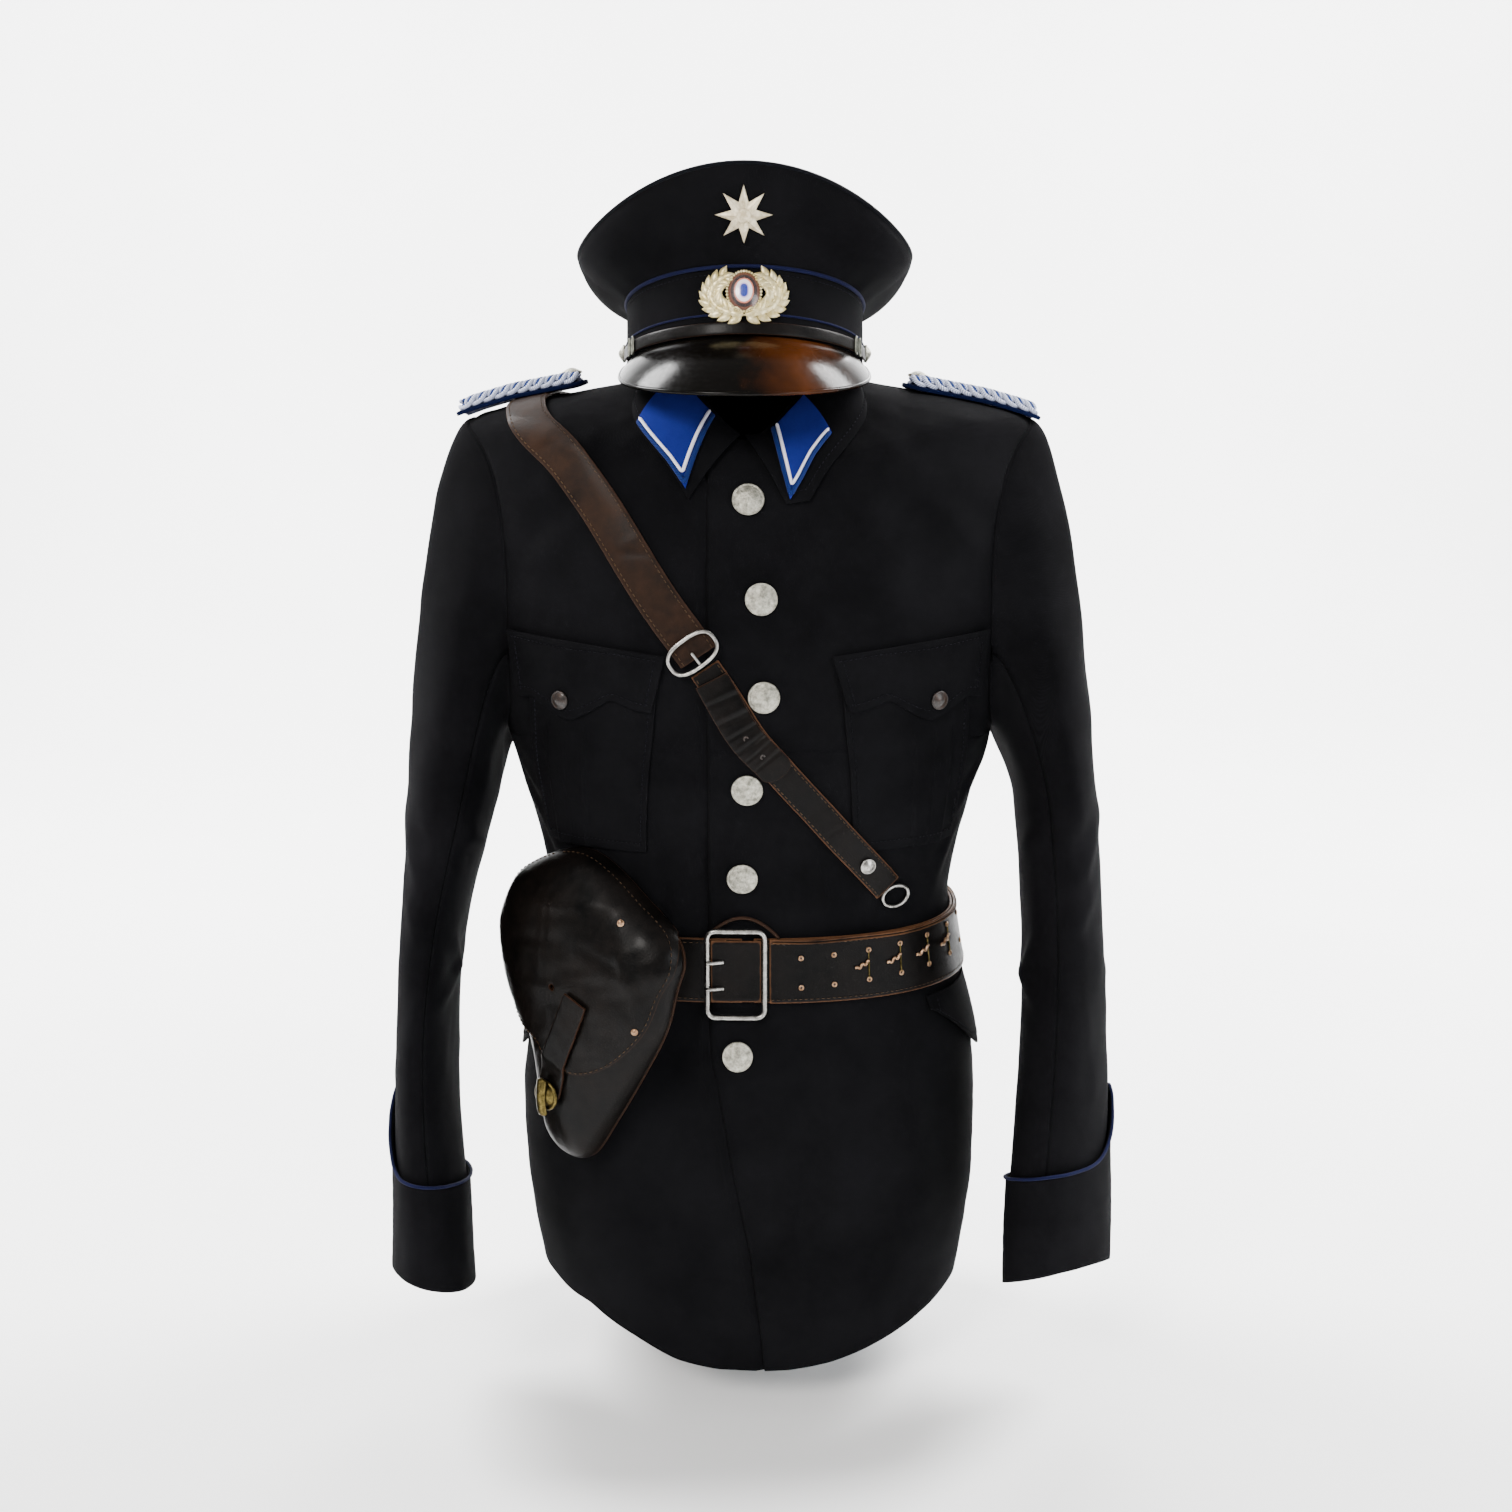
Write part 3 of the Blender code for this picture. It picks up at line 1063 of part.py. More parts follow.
def make_holster():
    outline = np.array(HOLSTER_OUTLINE)
    index = np.arange(len(outline))[None, :]
    share = np.array([1.0, 0.05])[:, None]
    right, up = [heart + (outline[:, k] - heart) * share for k, heart in enumerate(HOLSTER_HEART)]
    sheet("holster_back", holster_world(right, up, 0 * up), HOLSTER_WALL, BLACK, round_it=True, pole=True)
    rows = np.array(HOLSTER_ROWS)[:, None] + 0.0 * index
    sheet("holster_pouch", pouch(index, rows), HOLSTER_WALL, BLACK, round_it=True, pole=True)
    rows = rows * outline[None, :, 2]
    lift = 2.0 * REST + HOLSTER_WALL
    flap = pouch(index, rows) + lift * pouch_normal(index, rows)
    sheet("holster_flap", flap, HOLSTER_WALL, BLACK, round_it=True, pole=True)


def pouch_depth(right, up):
    """Depth of the moulded front above a place in the holster's plane."""
    outline = np.array(HOLSTER_OUTLINE)[:, :2] - np.array(HOLSTER_HEART)
    spot = np.stack([right, up], -1) - np.array(HOLSTER_HEART)
    way = np.degrees(np.arctan2(outline[:, 1], outline[:, 0]))
    order = np.argsort(way)
    size = np.linalg.norm(outline, axis=-1)
    aim = np.degrees(np.arctan2(spot[..., 1], spot[..., 0]))
    edge = np.interp(aim, way[order], size[order], period=360.0)
    share = np.linalg.norm(spot, axis=-1) / edge
    return REST + HOLSTER_DEEP * np.sqrt(1.0 - share.clip(0, 1) ** 4)


def make_closing_strap():
    path = through(HOLSTER_STRAP, spread(0.0, len(HOLSTER_STRAP) - 1, 9))
    run = np.gradient(path, axis=0)
    run = run / np.linalg.norm(run, axis=-1, keepdims=True)
    side = np.stack([run[:, 1], -run[:, 0]], -1)
    lift = np.interp(path[:, 1], [-0.092, -0.080, -0.068, 0.0], [0.0012, 0.0018, 0.0061, 0.0056])
    lines = []
    for share in (0.5, 0.0, -0.5):
        spot = path + share * HOLSTER_STRAP_WIDTH * side
        depth = pouch_depth(spot[:, 0], spot[:, 1]) + lift + STRAP_WALL
        lines.append(holster_world(spot[:, 0], spot[:, 1], depth))
    sheet("holster_strap", np.stack(lines), STRAP_WALL, BLACK)
    right, up = np.array(CLASP[0]) + CLASP_PROBE * X_STEPS, np.array(CLASP[1]) + CLASP_PROBE * Y_STEPS
    probe = holster_world(right, up, pouch_depth(right, up) + CLASP_GAP + STRAP_WALL)
    facing = np.cross(probe[1] - probe[0], probe[3] - probe[2])
    facing = facing / np.linalg.norm(facing)
    turned("holster_clasp", dome(0.0125, 0.0060), probe.mean(axis=0) + 0.0011 * facing, facing, BRASS, 12)


def make_belt_loop():
    """The loop behind the holster: it runs from the back plate out to the belt and back."""
    columns = belt_columns()
    columns = columns[:, (columns[1] > 360.0 - LOOP_SPAN[1]) & (columns[1] < 360.0 - LOOP_SPAN[0])]
    levels = np.array([BELT_LOW - LOOP_OVER, (BELT_LOW + BELT_HIGH) / 2, BELT_HIGH + LOOP_OVER])[:, None]
    lying = moved(body, columns, levels + 0 * columns,
                  np.full(columns.shape, REST + BELT_WALL + LAYER + LOOP_WALL))
    right = (lying[1] - HOLSTER_PLACE) @ holster_frame()[0]

    def end(up):
        return holster_world(right, up + 0 * right, -HOLSTER_WALL - SEAM + 0 * right)

    low, high = LOOP_ENDS
    grid = np.stack([end(low - LOOP_LAP), end(low), *lying, end(high), end(high + LOOP_LAP)])
    sheet("holster_loop", grid, LOOP_WALL, BLACK)


make_holster()
make_closing_strap()
make_belt_loop()
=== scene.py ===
# %% [markdown]
# # A police uniform, standing as if worn
# The set is a dark wool service tunic with its leather belt, cross strap and holster, and a
# peaked cap. The solids of the part are loaded first, as a frame. Every piece below is then
# made again as cloth, leather or metal on the same skins, so that it stays where its solid is.

import math

import bpy
import numpy as np
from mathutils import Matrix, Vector


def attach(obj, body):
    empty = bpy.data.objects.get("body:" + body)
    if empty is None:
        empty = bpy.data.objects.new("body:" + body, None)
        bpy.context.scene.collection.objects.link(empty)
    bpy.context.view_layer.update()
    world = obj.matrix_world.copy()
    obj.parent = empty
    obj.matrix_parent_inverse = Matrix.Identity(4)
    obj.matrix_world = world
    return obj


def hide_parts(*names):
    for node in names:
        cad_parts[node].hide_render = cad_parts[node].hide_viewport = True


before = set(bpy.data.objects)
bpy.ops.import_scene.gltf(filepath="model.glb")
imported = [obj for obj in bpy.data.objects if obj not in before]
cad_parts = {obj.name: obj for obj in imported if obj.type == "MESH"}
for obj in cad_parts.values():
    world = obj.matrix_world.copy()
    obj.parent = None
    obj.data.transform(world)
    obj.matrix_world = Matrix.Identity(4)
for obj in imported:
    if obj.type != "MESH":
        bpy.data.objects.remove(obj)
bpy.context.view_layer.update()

# %% [markdown]
# ## The skins
# A tunic is drafted round a body, so its outer face is a smooth tube whose width and depth
# change with height. A table of measured levels with a smooth curve through them is easier to
# correct than a sculpted mesh, and any point of it can be found from an angle and a level. The
# pockets, the belt and the straps are then found on the same tube and moved outwards.

# %% The tunic's levels, hem to neck
# Columns: height, half width, depth in front, depth behind, drop of the front, squareness.
TUNIC = np.array((
    (-0.812, 0.181, 0.150, 0.126, 0.000, 2.35),
    (-0.765, 0.189, 0.149, 0.125, 0.000, 2.35),
    (-0.700, 0.197, 0.146, 0.122, 0.000, 2.35),
    (-0.630, 0.201, 0.141, 0.118, 0.000, 2.35),
    (-0.560, 0.197, 0.132, 0.110, 0.000, 2.35),
    (-0.510, 0.187, 0.123, 0.101, 0.000, 2.35),
    (-0.470, 0.179, 0.119, 0.096, 0.000, 2.35),
    (-0.430, 0.174, 0.119, 0.095, 0.000, 2.35),
    (-0.385, 0.179, 0.123, 0.099, 0.000, 2.35),
    (-0.340, 0.190, 0.129, 0.105, 0.000, 2.35),
    (-0.300, 0.202, 0.134, 0.110, 0.000, 2.35),
    (-0.265, 0.210, 0.137, 0.113, 0.000, 2.35),
    (-0.200, 0.220, 0.137, 0.115, 0.000, 2.35),
    (-0.140, 0.226, 0.130, 0.115, 0.008, 2.30),
    (-0.090, 0.232, 0.121, 0.110, 0.022, 2.20),
    (-0.055, 0.235, 0.114, 0.102, 0.035, 2.10),
    (-0.032, 0.233, 0.108, 0.091, 0.045, 2.05),
    (-0.018, 0.193, 0.102, 0.079, 0.050, 2.00),
    (-0.008, 0.140, 0.096, 0.069, 0.052, 2.00),
    (-0.001, 0.100, 0.091, 0.062, 0.052, 2.00),
    (0.004, 0.072, 0.086, 0.056, 0.051, 2.00),
))
BELT_LOW_LEVEL, BELT_HIGH_LEVEL, NECK_LEVEL = 5.36, 6.74, 20.0
# Columns: middle angle, middle level, half angle, half levels, slant, height.
TUNIC_FOLDS = (
    (-40.0, 2.1, 9.0, 1.5, 2.0, 0.0035),
    (34.0, 2.3, 9.0, 1.6, -2.0, 0.0030),
    (-76.0, 2.4, 9.0, 1.6, 1.0, 0.0030),
    (74.0, 2.0, 9.0, 1.5, -1.0, 0.0035),
    (-118.0, 2.3, 10.0, 1.6, 1.0, 0.0040),
    (-160.0, 2.1, 10.0, 1.5, 0.0, 0.0035),
    (116.0, 2.2, 10.0, 1.6, -1.0, 0.0040),
    (158.0, 2.4, 10.0, 1.6, 0.0, 0.0035),
    (-22.0, 8.4, 8.0, 0.7, -9.0, 0.0022),
    (-104.0, 8.6, 8.0, 0.9, 5.0, 0.0035),
    (102.0, 8.5, 8.0, 0.9, -5.0, 0.0035),
    (-146.0, 8.7, 9.0, 1.0, 4.0, 0.0035),
    (144.0, 8.6, 9.0, 1.0, -4.0, 0.0035),
    (180.0, 8.9, 9.0, 1.1, 0.0, -0.0025),
    (-57.0, 13.6, 8.0, 1.4, -5.0, -0.0030),
    (57.0, 13.6, 8.0, 1.4, 5.0, -0.0030),
    (-124.0, 13.2, 10.0, 1.8, 5.0, -0.0035),
    (124.0, 13.2, 10.0, 1.8, -5.0, -0.0035),
)


def arrays(angle, level):
    """Two numbers or arrays as float arrays of one shape."""
    return np.broadcast_arrays(np.asarray(angle, float), np.asarray(level, float))


def unit(way):
    """Directions made one long."""
    return way / np.linalg.norm(way, axis=-1, keepdims=True)


def between_levels(table, at):
    """Values at fractional levels: a cubic whose slope at a level is half its neighbours' step."""
    table = np.asarray(table, float)
    at = np.clip(np.asarray(at, float), 0.0, len(table) - 1.0)
    low = np.minimum(at.astype(int), len(table) - 2)
    t = (at - low)[..., None]
    here, there = table[low], table[low + 1]
    leave = (there - table[np.maximum(low - 1, 0)]) / 2
    arrive = (table[np.minimum(low + 2, len(table) - 1)] - here) / 2
    return (here + t * leave + t ** 2 * (3 * (there - here) - 2 * leave - arrive)
            + t ** 3 * (2 * (here - there) + leave + arrive))


def table_value(stops, at):
    """Straight lines between (place, value) stops."""
    stops = np.asarray(stops, float)
    return np.interp(at, stops[:, 0], stops[:, 1])


def fold_heights(folds, angle, level):
    """Sum of bells: height * exp(-(off / half_angle)^2 - (up / half_levels)^2) on slanting lines."""
    total = np.zeros(np.broadcast(angle, level).shape)
    for middle, at, half_angle, half_levels, slant, height in folds:
        off = (angle - middle - slant * (level - at) + 180.0) % 360.0 - 180.0
        total = total + height * np.exp(-(off / half_angle) ** 2 - ((level - at) / half_levels) ** 2)
    return total


def tunic(angle, level):
    """Outer face: a superellipse |x/half|^p + |y/depth|^p = 1 at each level, plus the folds."""
    angle, level = arrays(angle, level)
    height, half, front, back, drop, square = np.moveaxis(between_levels(TUNIC, level), -1, 0)
    sine, cosine = np.sin(np.radians(angle)), np.cos(np.radians(angle))
    depth = np.where(cosine > 0, front, back)
    reach = ((np.abs(sine) / half) ** square + (np.abs(cosine) / depth) ** square) ** (-1 / square)
    reach = reach + fold_heights(TUNIC_FOLDS, angle, level)
    sink = drop * np.where(cosine > 0, cosine ** 2, 0.0)
    return np.stack([reach * sine, -reach * cosine, height - sink], -1)


chest = tunic(np.linspace(0, 360, 361), 12.0)
print("chest round", round(float(np.linalg.norm(np.diff(chest, axis=0), axis=1).sum()), 3), "m")

# %% [markdown]
# ## Moving off a skin
# Pockets lie on cloth, buttons lie on pockets. Each is the same skin moved out along its own
# normal, and the normal comes from two short steps along the skin.


# %% Normals and offsets
def facing_out(skin, angle, level, step=0.02):
    """Unit normal of a skin: the cross product of a short step round and a short step up."""
    round_it = skin(angle + step, level) - skin(angle - step, level)
    up = skin(angle, level + step) - skin(angle, level - step)
    return unit(np.cross(round_it, up))


def off_skin(skin, angle, level, out, step=0.02):
    """Skin points moved out along the normal by `out` metres."""
    angle, level, out = np.broadcast_arrays(*(np.asarray(v, float) for v in (angle, level, out)))
    return skin(angle, level) + out[..., None] * facing_out(skin, angle, level, step)


def on_skin(skin, target, angle, level, small=0.05):
    """The (angle, level) nearest to target points: six steps of Newton's method in the skin."""
    a, r = np.array(angle, float), np.array(level, float)
    for _ in range(6):
        miss = target - skin(a, r)
        da = (skin(a + small, r) - skin(a - small, r)) / (2 * small)
        dr = (skin(a, r + small) - skin(a, r - small)) / (2 * small)
        aa, ar, rr = (da * da).sum(-1), (da * dr).sum(-1), (dr * dr).sum(-1)
        ma, mr = (miss * da).sum(-1), (miss * dr).sum(-1)
        det = aa * rr - ar * ar
        a = a + (ma * rr - mr * ar) / det
        r = r + (mr * aa - ma * ar) / det
    return a, r


def front_angle(x, level):
    """Front angle where the tunic's width reaches x, for an edge that hangs straight down."""
    fan = np.linspace(-80.0, 80.0, 641)
    x, level = arrays(x, level)
    found = [np.interp(want, tunic(fan, at)[:, 0], fan) for want, at in zip(x.ravel(), level.ravel())]
    return np.array(found).reshape(x.shape)


print("the front edge leaves the middle by", round(float(front_angle(-0.033, 8.0)), 1), "degrees")

# %% [markdown]
# ## Turning grids into meshes
# A grid of points becomes a mesh with one quad for each cell. Each mesh also keeps two records
# that the finishes need: a UV map in real metres along and across the cloth, so that a weave has
# its true size, and the distance to the nearest cut edge, so that leather can wear there.

# %% Grids
triangles_used = {}


def cell_corners(rows, columns, closed):
    """Quads of a grid as vertex numbers; a closed grid joins its last column to its first."""
    number = np.arange(rows * columns).reshape(rows, columns)
    if closed:
        number = np.concatenate([number, number[:, :1]], 1)
    return np.stack([number[:-1, :-1], number[:-1, 1:], number[1:, 1:], number[1:, :-1]], -1).reshape(-1, 4)


def cloth_lengths(points, closed):
    """UV in metres: mean running length across the rows and down the columns of a grid."""
    ring = np.concatenate([points, points[..., :1, :]], -2) if closed else points
    across = np.linalg.norm(np.diff(ring, axis=-2), axis=-1)
    along = np.linalg.norm(np.diff(ring, axis=-3), axis=-1)
    u = np.concatenate([np.zeros(across.shape[:-1] + (1,)), np.cumsum(across, -1)], -1)
    v = np.concatenate([np.zeros(along.shape[:-2] + (1, along.shape[-1])), np.cumsum(along, -2)], -2)
    u = u - u.mean(axis=-1, keepdims=True)
    edge = np.minimum(np.minimum(v, v[..., -1:, :] - v), 1e3 if closed else
                      np.minimum(u - u[..., :1], u[..., -1:] - u))
    return u, v, edge[..., :points.shape[-2]]


def make(name, finish, grids, closed=False, wall=0.0, inner=None, rim=0.0, replaces=()):
    """Builds one piece from grids (rows, columns, 3), or batches of them (count, rows, columns, 3).

    It rides the root body, stands for the solids it replaces, and takes its finish as its material.
    """
    spots, faces, lengths, edges, start = [], [], [], [], 0
    for points in (grids if isinstance(grids, list) else [grids]):
        batch = points if points.ndim == 4 else points[None]
        count, rows, columns = batch.shape[:3]
        quads = cell_corners(rows, columns, closed)
        u, v, edge = cloth_lengths(batch, closed)
        wide = columns + 1 if closed else columns
        corner = np.arange(rows * wide).reshape(rows, wide)
        corner = np.stack([corner[:-1, :-1], corner[:-1, 1:], corner[1:, 1:], corner[1:, :-1]],
                          -1).reshape(-1)
        uv = np.stack([u.reshape(count, -1), v.reshape(count, -1)], -1)[:, corner]
        shift = start + np.arange(count)[:, None, None] * rows * columns
        spots.append(batch.reshape(-1, 3))
        faces.append((quads[None] + shift).reshape(-1, 4))
        lengths.append(uv.reshape(-1, 2))
        edges.append(edge.reshape(-1))
        start += count * rows * columns
    mesh = bpy.data.meshes.new(name)
    mesh.from_pydata(np.concatenate(spots).tolist(), [], np.concatenate(faces).tolist())
    mesh.uv_layers.new(name="cloth").data.foreach_set("uv",
                                                      np.concatenate(lengths).astype(np.float32).ravel())
    mesh.attributes.new("edge", "FLOAT", "POINT").data.foreach_set("value",
                                                                   np.concatenate(edges).astype(np.float32))
    mesh.polygons.foreach_set("use_smooth", np.ones(len(mesh.polygons), bool))
    piece = bpy.data.objects.new(name, mesh)
    bpy.context.scene.collection.objects.link(piece)
    mesh.materials.append(finish)
    if wall:
        thick = piece.modifiers.new("wall", "SOLIDIFY")
        thick.thickness = wall
        thick.offset = -1.0
        if inner is not None:
            mesh.materials.append(inner)
            thick.material_offset = 1
    if rim:
        soft = piece.modifiers.new("soft_rim", "BEVEL")
        soft.width = rim
        soft.segments = 2
        soft.limit_method = "ANGLE"
        soft.angle_limit = math.radians(50.0)
    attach(piece, "root")
    if replaces:
        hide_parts(*replaces)
    triangles_used[name] = len(mesh.polygons) * (4 if wall else 2)
    return piece


def cut_size(points, closed=False):
    """Cut width, cut length and area of a grid, each measured along the cloth."""
    ring = np.concatenate([points, points[:, :1]], 1) if closed else points
    width = np.linalg.norm(np.diff(ring, axis=1), axis=-1).sum(1).max()
    length = np.linalg.norm(np.diff(ring, axis=0), axis=-1).sum(0).max()
    across, along = ring[:-1, 1:] - ring[:-1, :-1], ring[1:, :-1] - ring[:-1, :-1]
    area = np.linalg.norm(np.cross(across, along), axis=-1).sum()
    return float(width), float(length), float(area)


def cloth_facts(piece, points, closed=False):
    """Prints a piece's cut size and area, worked out from its own grid."""
    width, length, area = cut_size(points, closed)
    area = min(area, width * length)
    print(f"{piece.name}: cut {width * 1000:.0f} x {length * 1000:.0f} mm, {area * 1e4:.0f} cm2")


def steps(low, high, count):
    """Even places from low to high."""
    return np.linspace(low, high, count)


# %% [markdown]
# ## Cords, wires and stitches
# Piping, braid, buckle wire and thread are all tubes along a line. The tube's ring is worked
# out from the line's direction and the way the cloth faces, for every point at once.

# %% Tubes
def tube(line, facing, radius, sides=8, closed=False, flat=1.0):
    """Ring of points round each point of a line: line + r * (cos * facing + flat * sin * side)."""
    run = np.roll(line, -1, -2) - np.roll(line, 1, -2)
    if not closed:
        run[..., 0, :] = line[..., 1, :] - line[..., 0, :]
        run[..., -1, :] = line[..., -1, :] - line[..., -2, :]
    run = unit(run)
    facing = facing - run * (facing * run).sum(-1, keepdims=True)
    facing = unit(facing)
    side = np.cross(run, facing)
    turn = steps(0, 2 * np.pi, sides + 1)[:-1]
    radius = np.broadcast_to(radius, line.shape[:-1])[..., None, None]
    ring = (line[..., None, :] + radius * (np.cos(turn)[:, None] * facing[..., None, :]
                                           + flat * np.sin(turn)[:, None] * side[..., None, :]))
    if closed:
        ring = np.concatenate([ring, ring[..., :1, :, :]], -3)
    return ring


def rounded_tube(line, facing, radius, sides=8, flat=1.0):
    """An open tube whose two ends close to a dome, by shrinking its first and last rings."""
    share = steps(0.0, 1.0, line.shape[-2])
    count = line.shape[-2]
    past_end = np.clip(1 - np.minimum(share, 1 - share) * (count - 1) / 1.6, 0, 1)
    size = np.sqrt(np.clip(1 - past_end ** 2, 1e-4, 1))
    return tube(line, facing, radius * size, sides, flat=flat)


def stitches(line, facing, stitch=0.0028, gap=0.0012, radius=0.00038):
    """Even stitches along a line, as a batch of small rounded tubes that dip at their ends."""
    walked = np.concatenate([[0.0], np.cumsum(np.linalg.norm(np.diff(line, axis=0), axis=1))])
    count = max(int(walked[-1] / (stitch + gap)), 1)
    share = steps(0.0, 1.0, 6)
    at = (np.arange(count)[:, None] + 0.1) * (stitch + gap) + share[None, :] * stitch
    spot = np.stack([np.interp(at, walked, line[:, k]) for k in range(3)], -1)
    way = np.stack([np.interp(at, walked, facing[:, k]) for k in range(3)], -1)
    way = unit(way)
    spot = spot + way * (radius * (4 * share * (1 - share) - 0.3))[None, :, None]
    return rounded_tube(spot, way, radius, 5)


print("helpers ready")

# %% [markdown]
# ## Finishes
# Each finish is a small node tree on a Principled shader. Patterns are set in real millimetres:
# a wool twill of about 1 mm, leather grain of about 1 mm and a pebbled button face of 0.7 mm.
# The colours are read as sRGB codes and turned into linear light by one function. Cloth, leather,
# cord and lacquer have their IOR lowered, matched to the object, because the room is white all
# round and a usual IOR would lay a pale haze over nearly black wool. Metals keep the default.

# %% Colour and shader helpers
def linear(code):
    """sRGB code to linear light: c / 12.92 when dark, else ((c + 0.055) / 1.055) to the power 2.4."""
    value = np.array([int(code[i:i + 2], 16) for i in (1, 3, 5)]) / 255.0
    light = np.where(value <= 0.04045, value / 12.92, ((value + 0.055) / 1.055) ** 2.4)
    return (float(light[0]), float(light[1]), float(light[2]), 1.0)


def add(tree, kind, sockets=None, **settings):
    """Adds one shader node; a socket given an output is linked, any other value is set on it."""
    made = tree.nodes.new(kind)
    for key, value in settings.items():
        setattr(made, key, value)
    for key, value in (sockets or {}).items():
        if isinstance(value, bpy.types.NodeSocket):
            tree.links.new(value, made.inputs[key])
        else:
            made.inputs[key].default_value = value
    return made


def start_finish(name, sockets):
    """A new material with constant values set straight on its Principled shader."""
    finish = bpy.data.materials.new(name)
    finish.use_nodes = True
    shader = finish.node_tree.nodes["Principled BSDF"]
    for key, value in sockets.items():
        shader.inputs[key].default_value = value
    return finish, finish.node_tree, shader


def ramp(tree, factor, *stops, interpolation="LINEAR"):
    """A colour ramp through (place, colour code) stops; gives its colour output."""
    made = add(tree, "ShaderNodeValToRGB", {"Fac": factor})
    made.color_ramp.interpolation = interpolation
    for number, (place, code) in enumerate(stops):
        stop = made.color_ramp.elements[number] if number < 2 else made.color_ramp.elements.new(place)
        stop.position = place
        stop.color = linear(code)
    return made.outputs["Color"]


def object_place(tree):
    """The Object coordinates, in metres."""
    return add(tree, "ShaderNodeTexCoord").outputs["Object"]


def cloth_place(tree):
    """The UV map of running lengths, in metres."""
    return add(tree, "ShaderNodeUVMap", uv_map="cloth").outputs["UV"]


def scaled(tree, value, low, high, to_low, to_high):
    """Maps a value from one range to another, clamped."""
    made = add(tree, "ShaderNodeMapRange", {"Value": value, "From Min": low, "From Max": high,
                                            "To Min": to_low, "To Max": to_high})
    return made.outputs["Result"]


def mixed(tree, factor, first, second):
    """Blends two colours by a factor output."""
    made = add(tree, "ShaderNodeMix", {0: factor, 6: first, 7: second}, data_type="RGBA")
    return made.outputs[2]


def summed(tree, first, second, share):
    """first + share * second, for two value outputs."""
    return add(tree, "ShaderNodeMath", {0: second, 1: share, 2: first}, operation="MULTIPLY_ADD").outputs[0]


def bump(tree, shader, height, distance, strength):
    """Raises the surface by a height output, in metres at full height."""
    made = add(tree, "ShaderNodeBump", {"Height": height, "Distance": distance, "Strength": strength})
    tree.links.new(made.outputs["Normal"], shader.inputs["Normal"])


def noise(tree, vector, size, detail=3.0, roughness=0.55):
    """Noise whose features are about `size` metres across."""
    return add(tree, "ShaderNodeTexNoise", {"Vector": vector, "Scale": 1.0 / size, "Detail": detail,
                                            "Roughness": roughness}).outputs["Fac"]


# %% [markdown]
# Wool cloth is matt with a soft nap. A diagonal band is the twill, fine noise is the nap, and
# broad noise is the slight patchiness of cloth that has been worn and brushed for years.

# %% Wool
def wool(name, deep, pale, twill=0.0011, nap=0.0006, sheen=0.02, relief=0.00022):
    """Twill bands and nap as bump; the same two and broad patches mix the deep and pale colours."""
    finish, tree, shader = start_finish(name, {
        "Roughness": 0.94, "IOR": 1.10, "Sheen Weight": sheen, "Sheen Roughness": 0.45,
        "Sheen Tint": linear(pale)})
    along = cloth_place(tree)
    place = object_place(tree)
    bands = add(tree, "ShaderNodeTexWave", {"Vector": along, "Scale": 0.628 / twill, "Distortion": 0.5,
                                            "Detail": 1.0}, bands_direction="DIAGONAL").outputs["Fac"]
    fuzz = noise(tree, place, nap, 2.0)
    patches = noise(tree, place, 0.075, 5.0, 0.6)
    weave = summed(tree, bands, fuzz, 1.4)
    tone = summed(tree, patches, weave, 0.22)
    tree.links.new(ramp(tree, tone, (0.42, deep), (0.98, pale)), shader.inputs["Base Color"])
    bump(tree, shader, weave, relief, 0.45)
    return finish


NAVY_WOOL = wool("navy_wool_cloth", "#050506", "#101012")         # the tunic and the cap
NAVY_LINING = wool("dark_satin_lining", "#0a0c0d", "#191d20", 0.0005, 0.0004, 0.02, 0.00008)
BLUE_WOOL = wool("blue_collar_cloth", "#0c1452", "#212c7c", 0.0009, 0.0005, 0.02)
FELT = wool("blue_felt_base", "#060a1c", "#0e1536", 0.0013, 0.0007, 0.02)
print("wool finishes", len(bpy.data.materials))

# %% [markdown]
# Leather has a cell-like grain, rubs shiny in places and shows its brown core where the edges
# wear. The distance to the cut edge is kept on each mesh, so the wear follows every outline.

# %% Leather
def leather(name, deep, pale, wear_and_painted_reflection, rough=(0.28, 0.55), grain=0.0011, wear=0.0020, coat=0.02):
    """Grain cells and creasing as bump, uneven gloss, and the colour of wear near every cut edge."""
    finish, tree, shader = start_finish(name, {"Coat Weight": coat, "Coat Roughness": 0.18, "IOR": 1.16})
    place = object_place(tree)
    cells = add(tree, "ShaderNodeTexVoronoi", {"Vector": place, "Scale": 1.0 / grain}).outputs["Distance"]
    creasing = noise(tree, place, 0.006, 6.0, 0.65)
    patches = noise(tree, place, 0.035, 4.0, 0.6)
    tone = ramp(tree, summed(tree, patches, creasing, 0.4), (0.50, deep), (0.92, pale))
    edge = add(tree, "ShaderNodeAttribute", attribute_name="edge").outputs["Fac"]
    rubbed = scaled(tree, summed(tree, edge, creasing, -wear * 1.2), -wear * 0.7, wear * 0.5, 1.0, 0.0)
    tree.links.new(mixed(tree, rubbed, tone, linear(wear_and_painted_reflection)), shader.inputs["Base Color"])
    gloss = scaled(tree, summed(tree, patches, creasing, 0.5), 0.45, 0.95, rough[0], rough[1])
    tree.links.new(gloss, shader.inputs["Roughness"])
    bump(tree, shader, summed(tree, creasing, cells, 0.5), 0.0005, 0.35)
    return finish


BLACK_LEATHER = leather("black_leather", "#040404", "#0e0b0a", "#553824",
                        wear=0.0013)       # belt and straps
BROWN_LEATHER = leather("worn_brown_leather", "#100a07", "#2a1b12", "#33231a", (0.42, 0.66), wear=0.0014)
RAW_EDGE = leather("bare_leather_edge", "#25170e", "#563a26", "#6a4830", (0.5, 0.75))
HOLSTER_LEATHER = leather("holster_leather", "#030303", "#0e0a08", "#2a1a10", (0.26, 0.5), 0.0014, 0.0007,
                          0.04)
SWEATBAND = leather("tan_sweatband", "#4a2f1a", "#6b4729", "#7c5634", (0.4, 0.65))
print("leather finishes made")
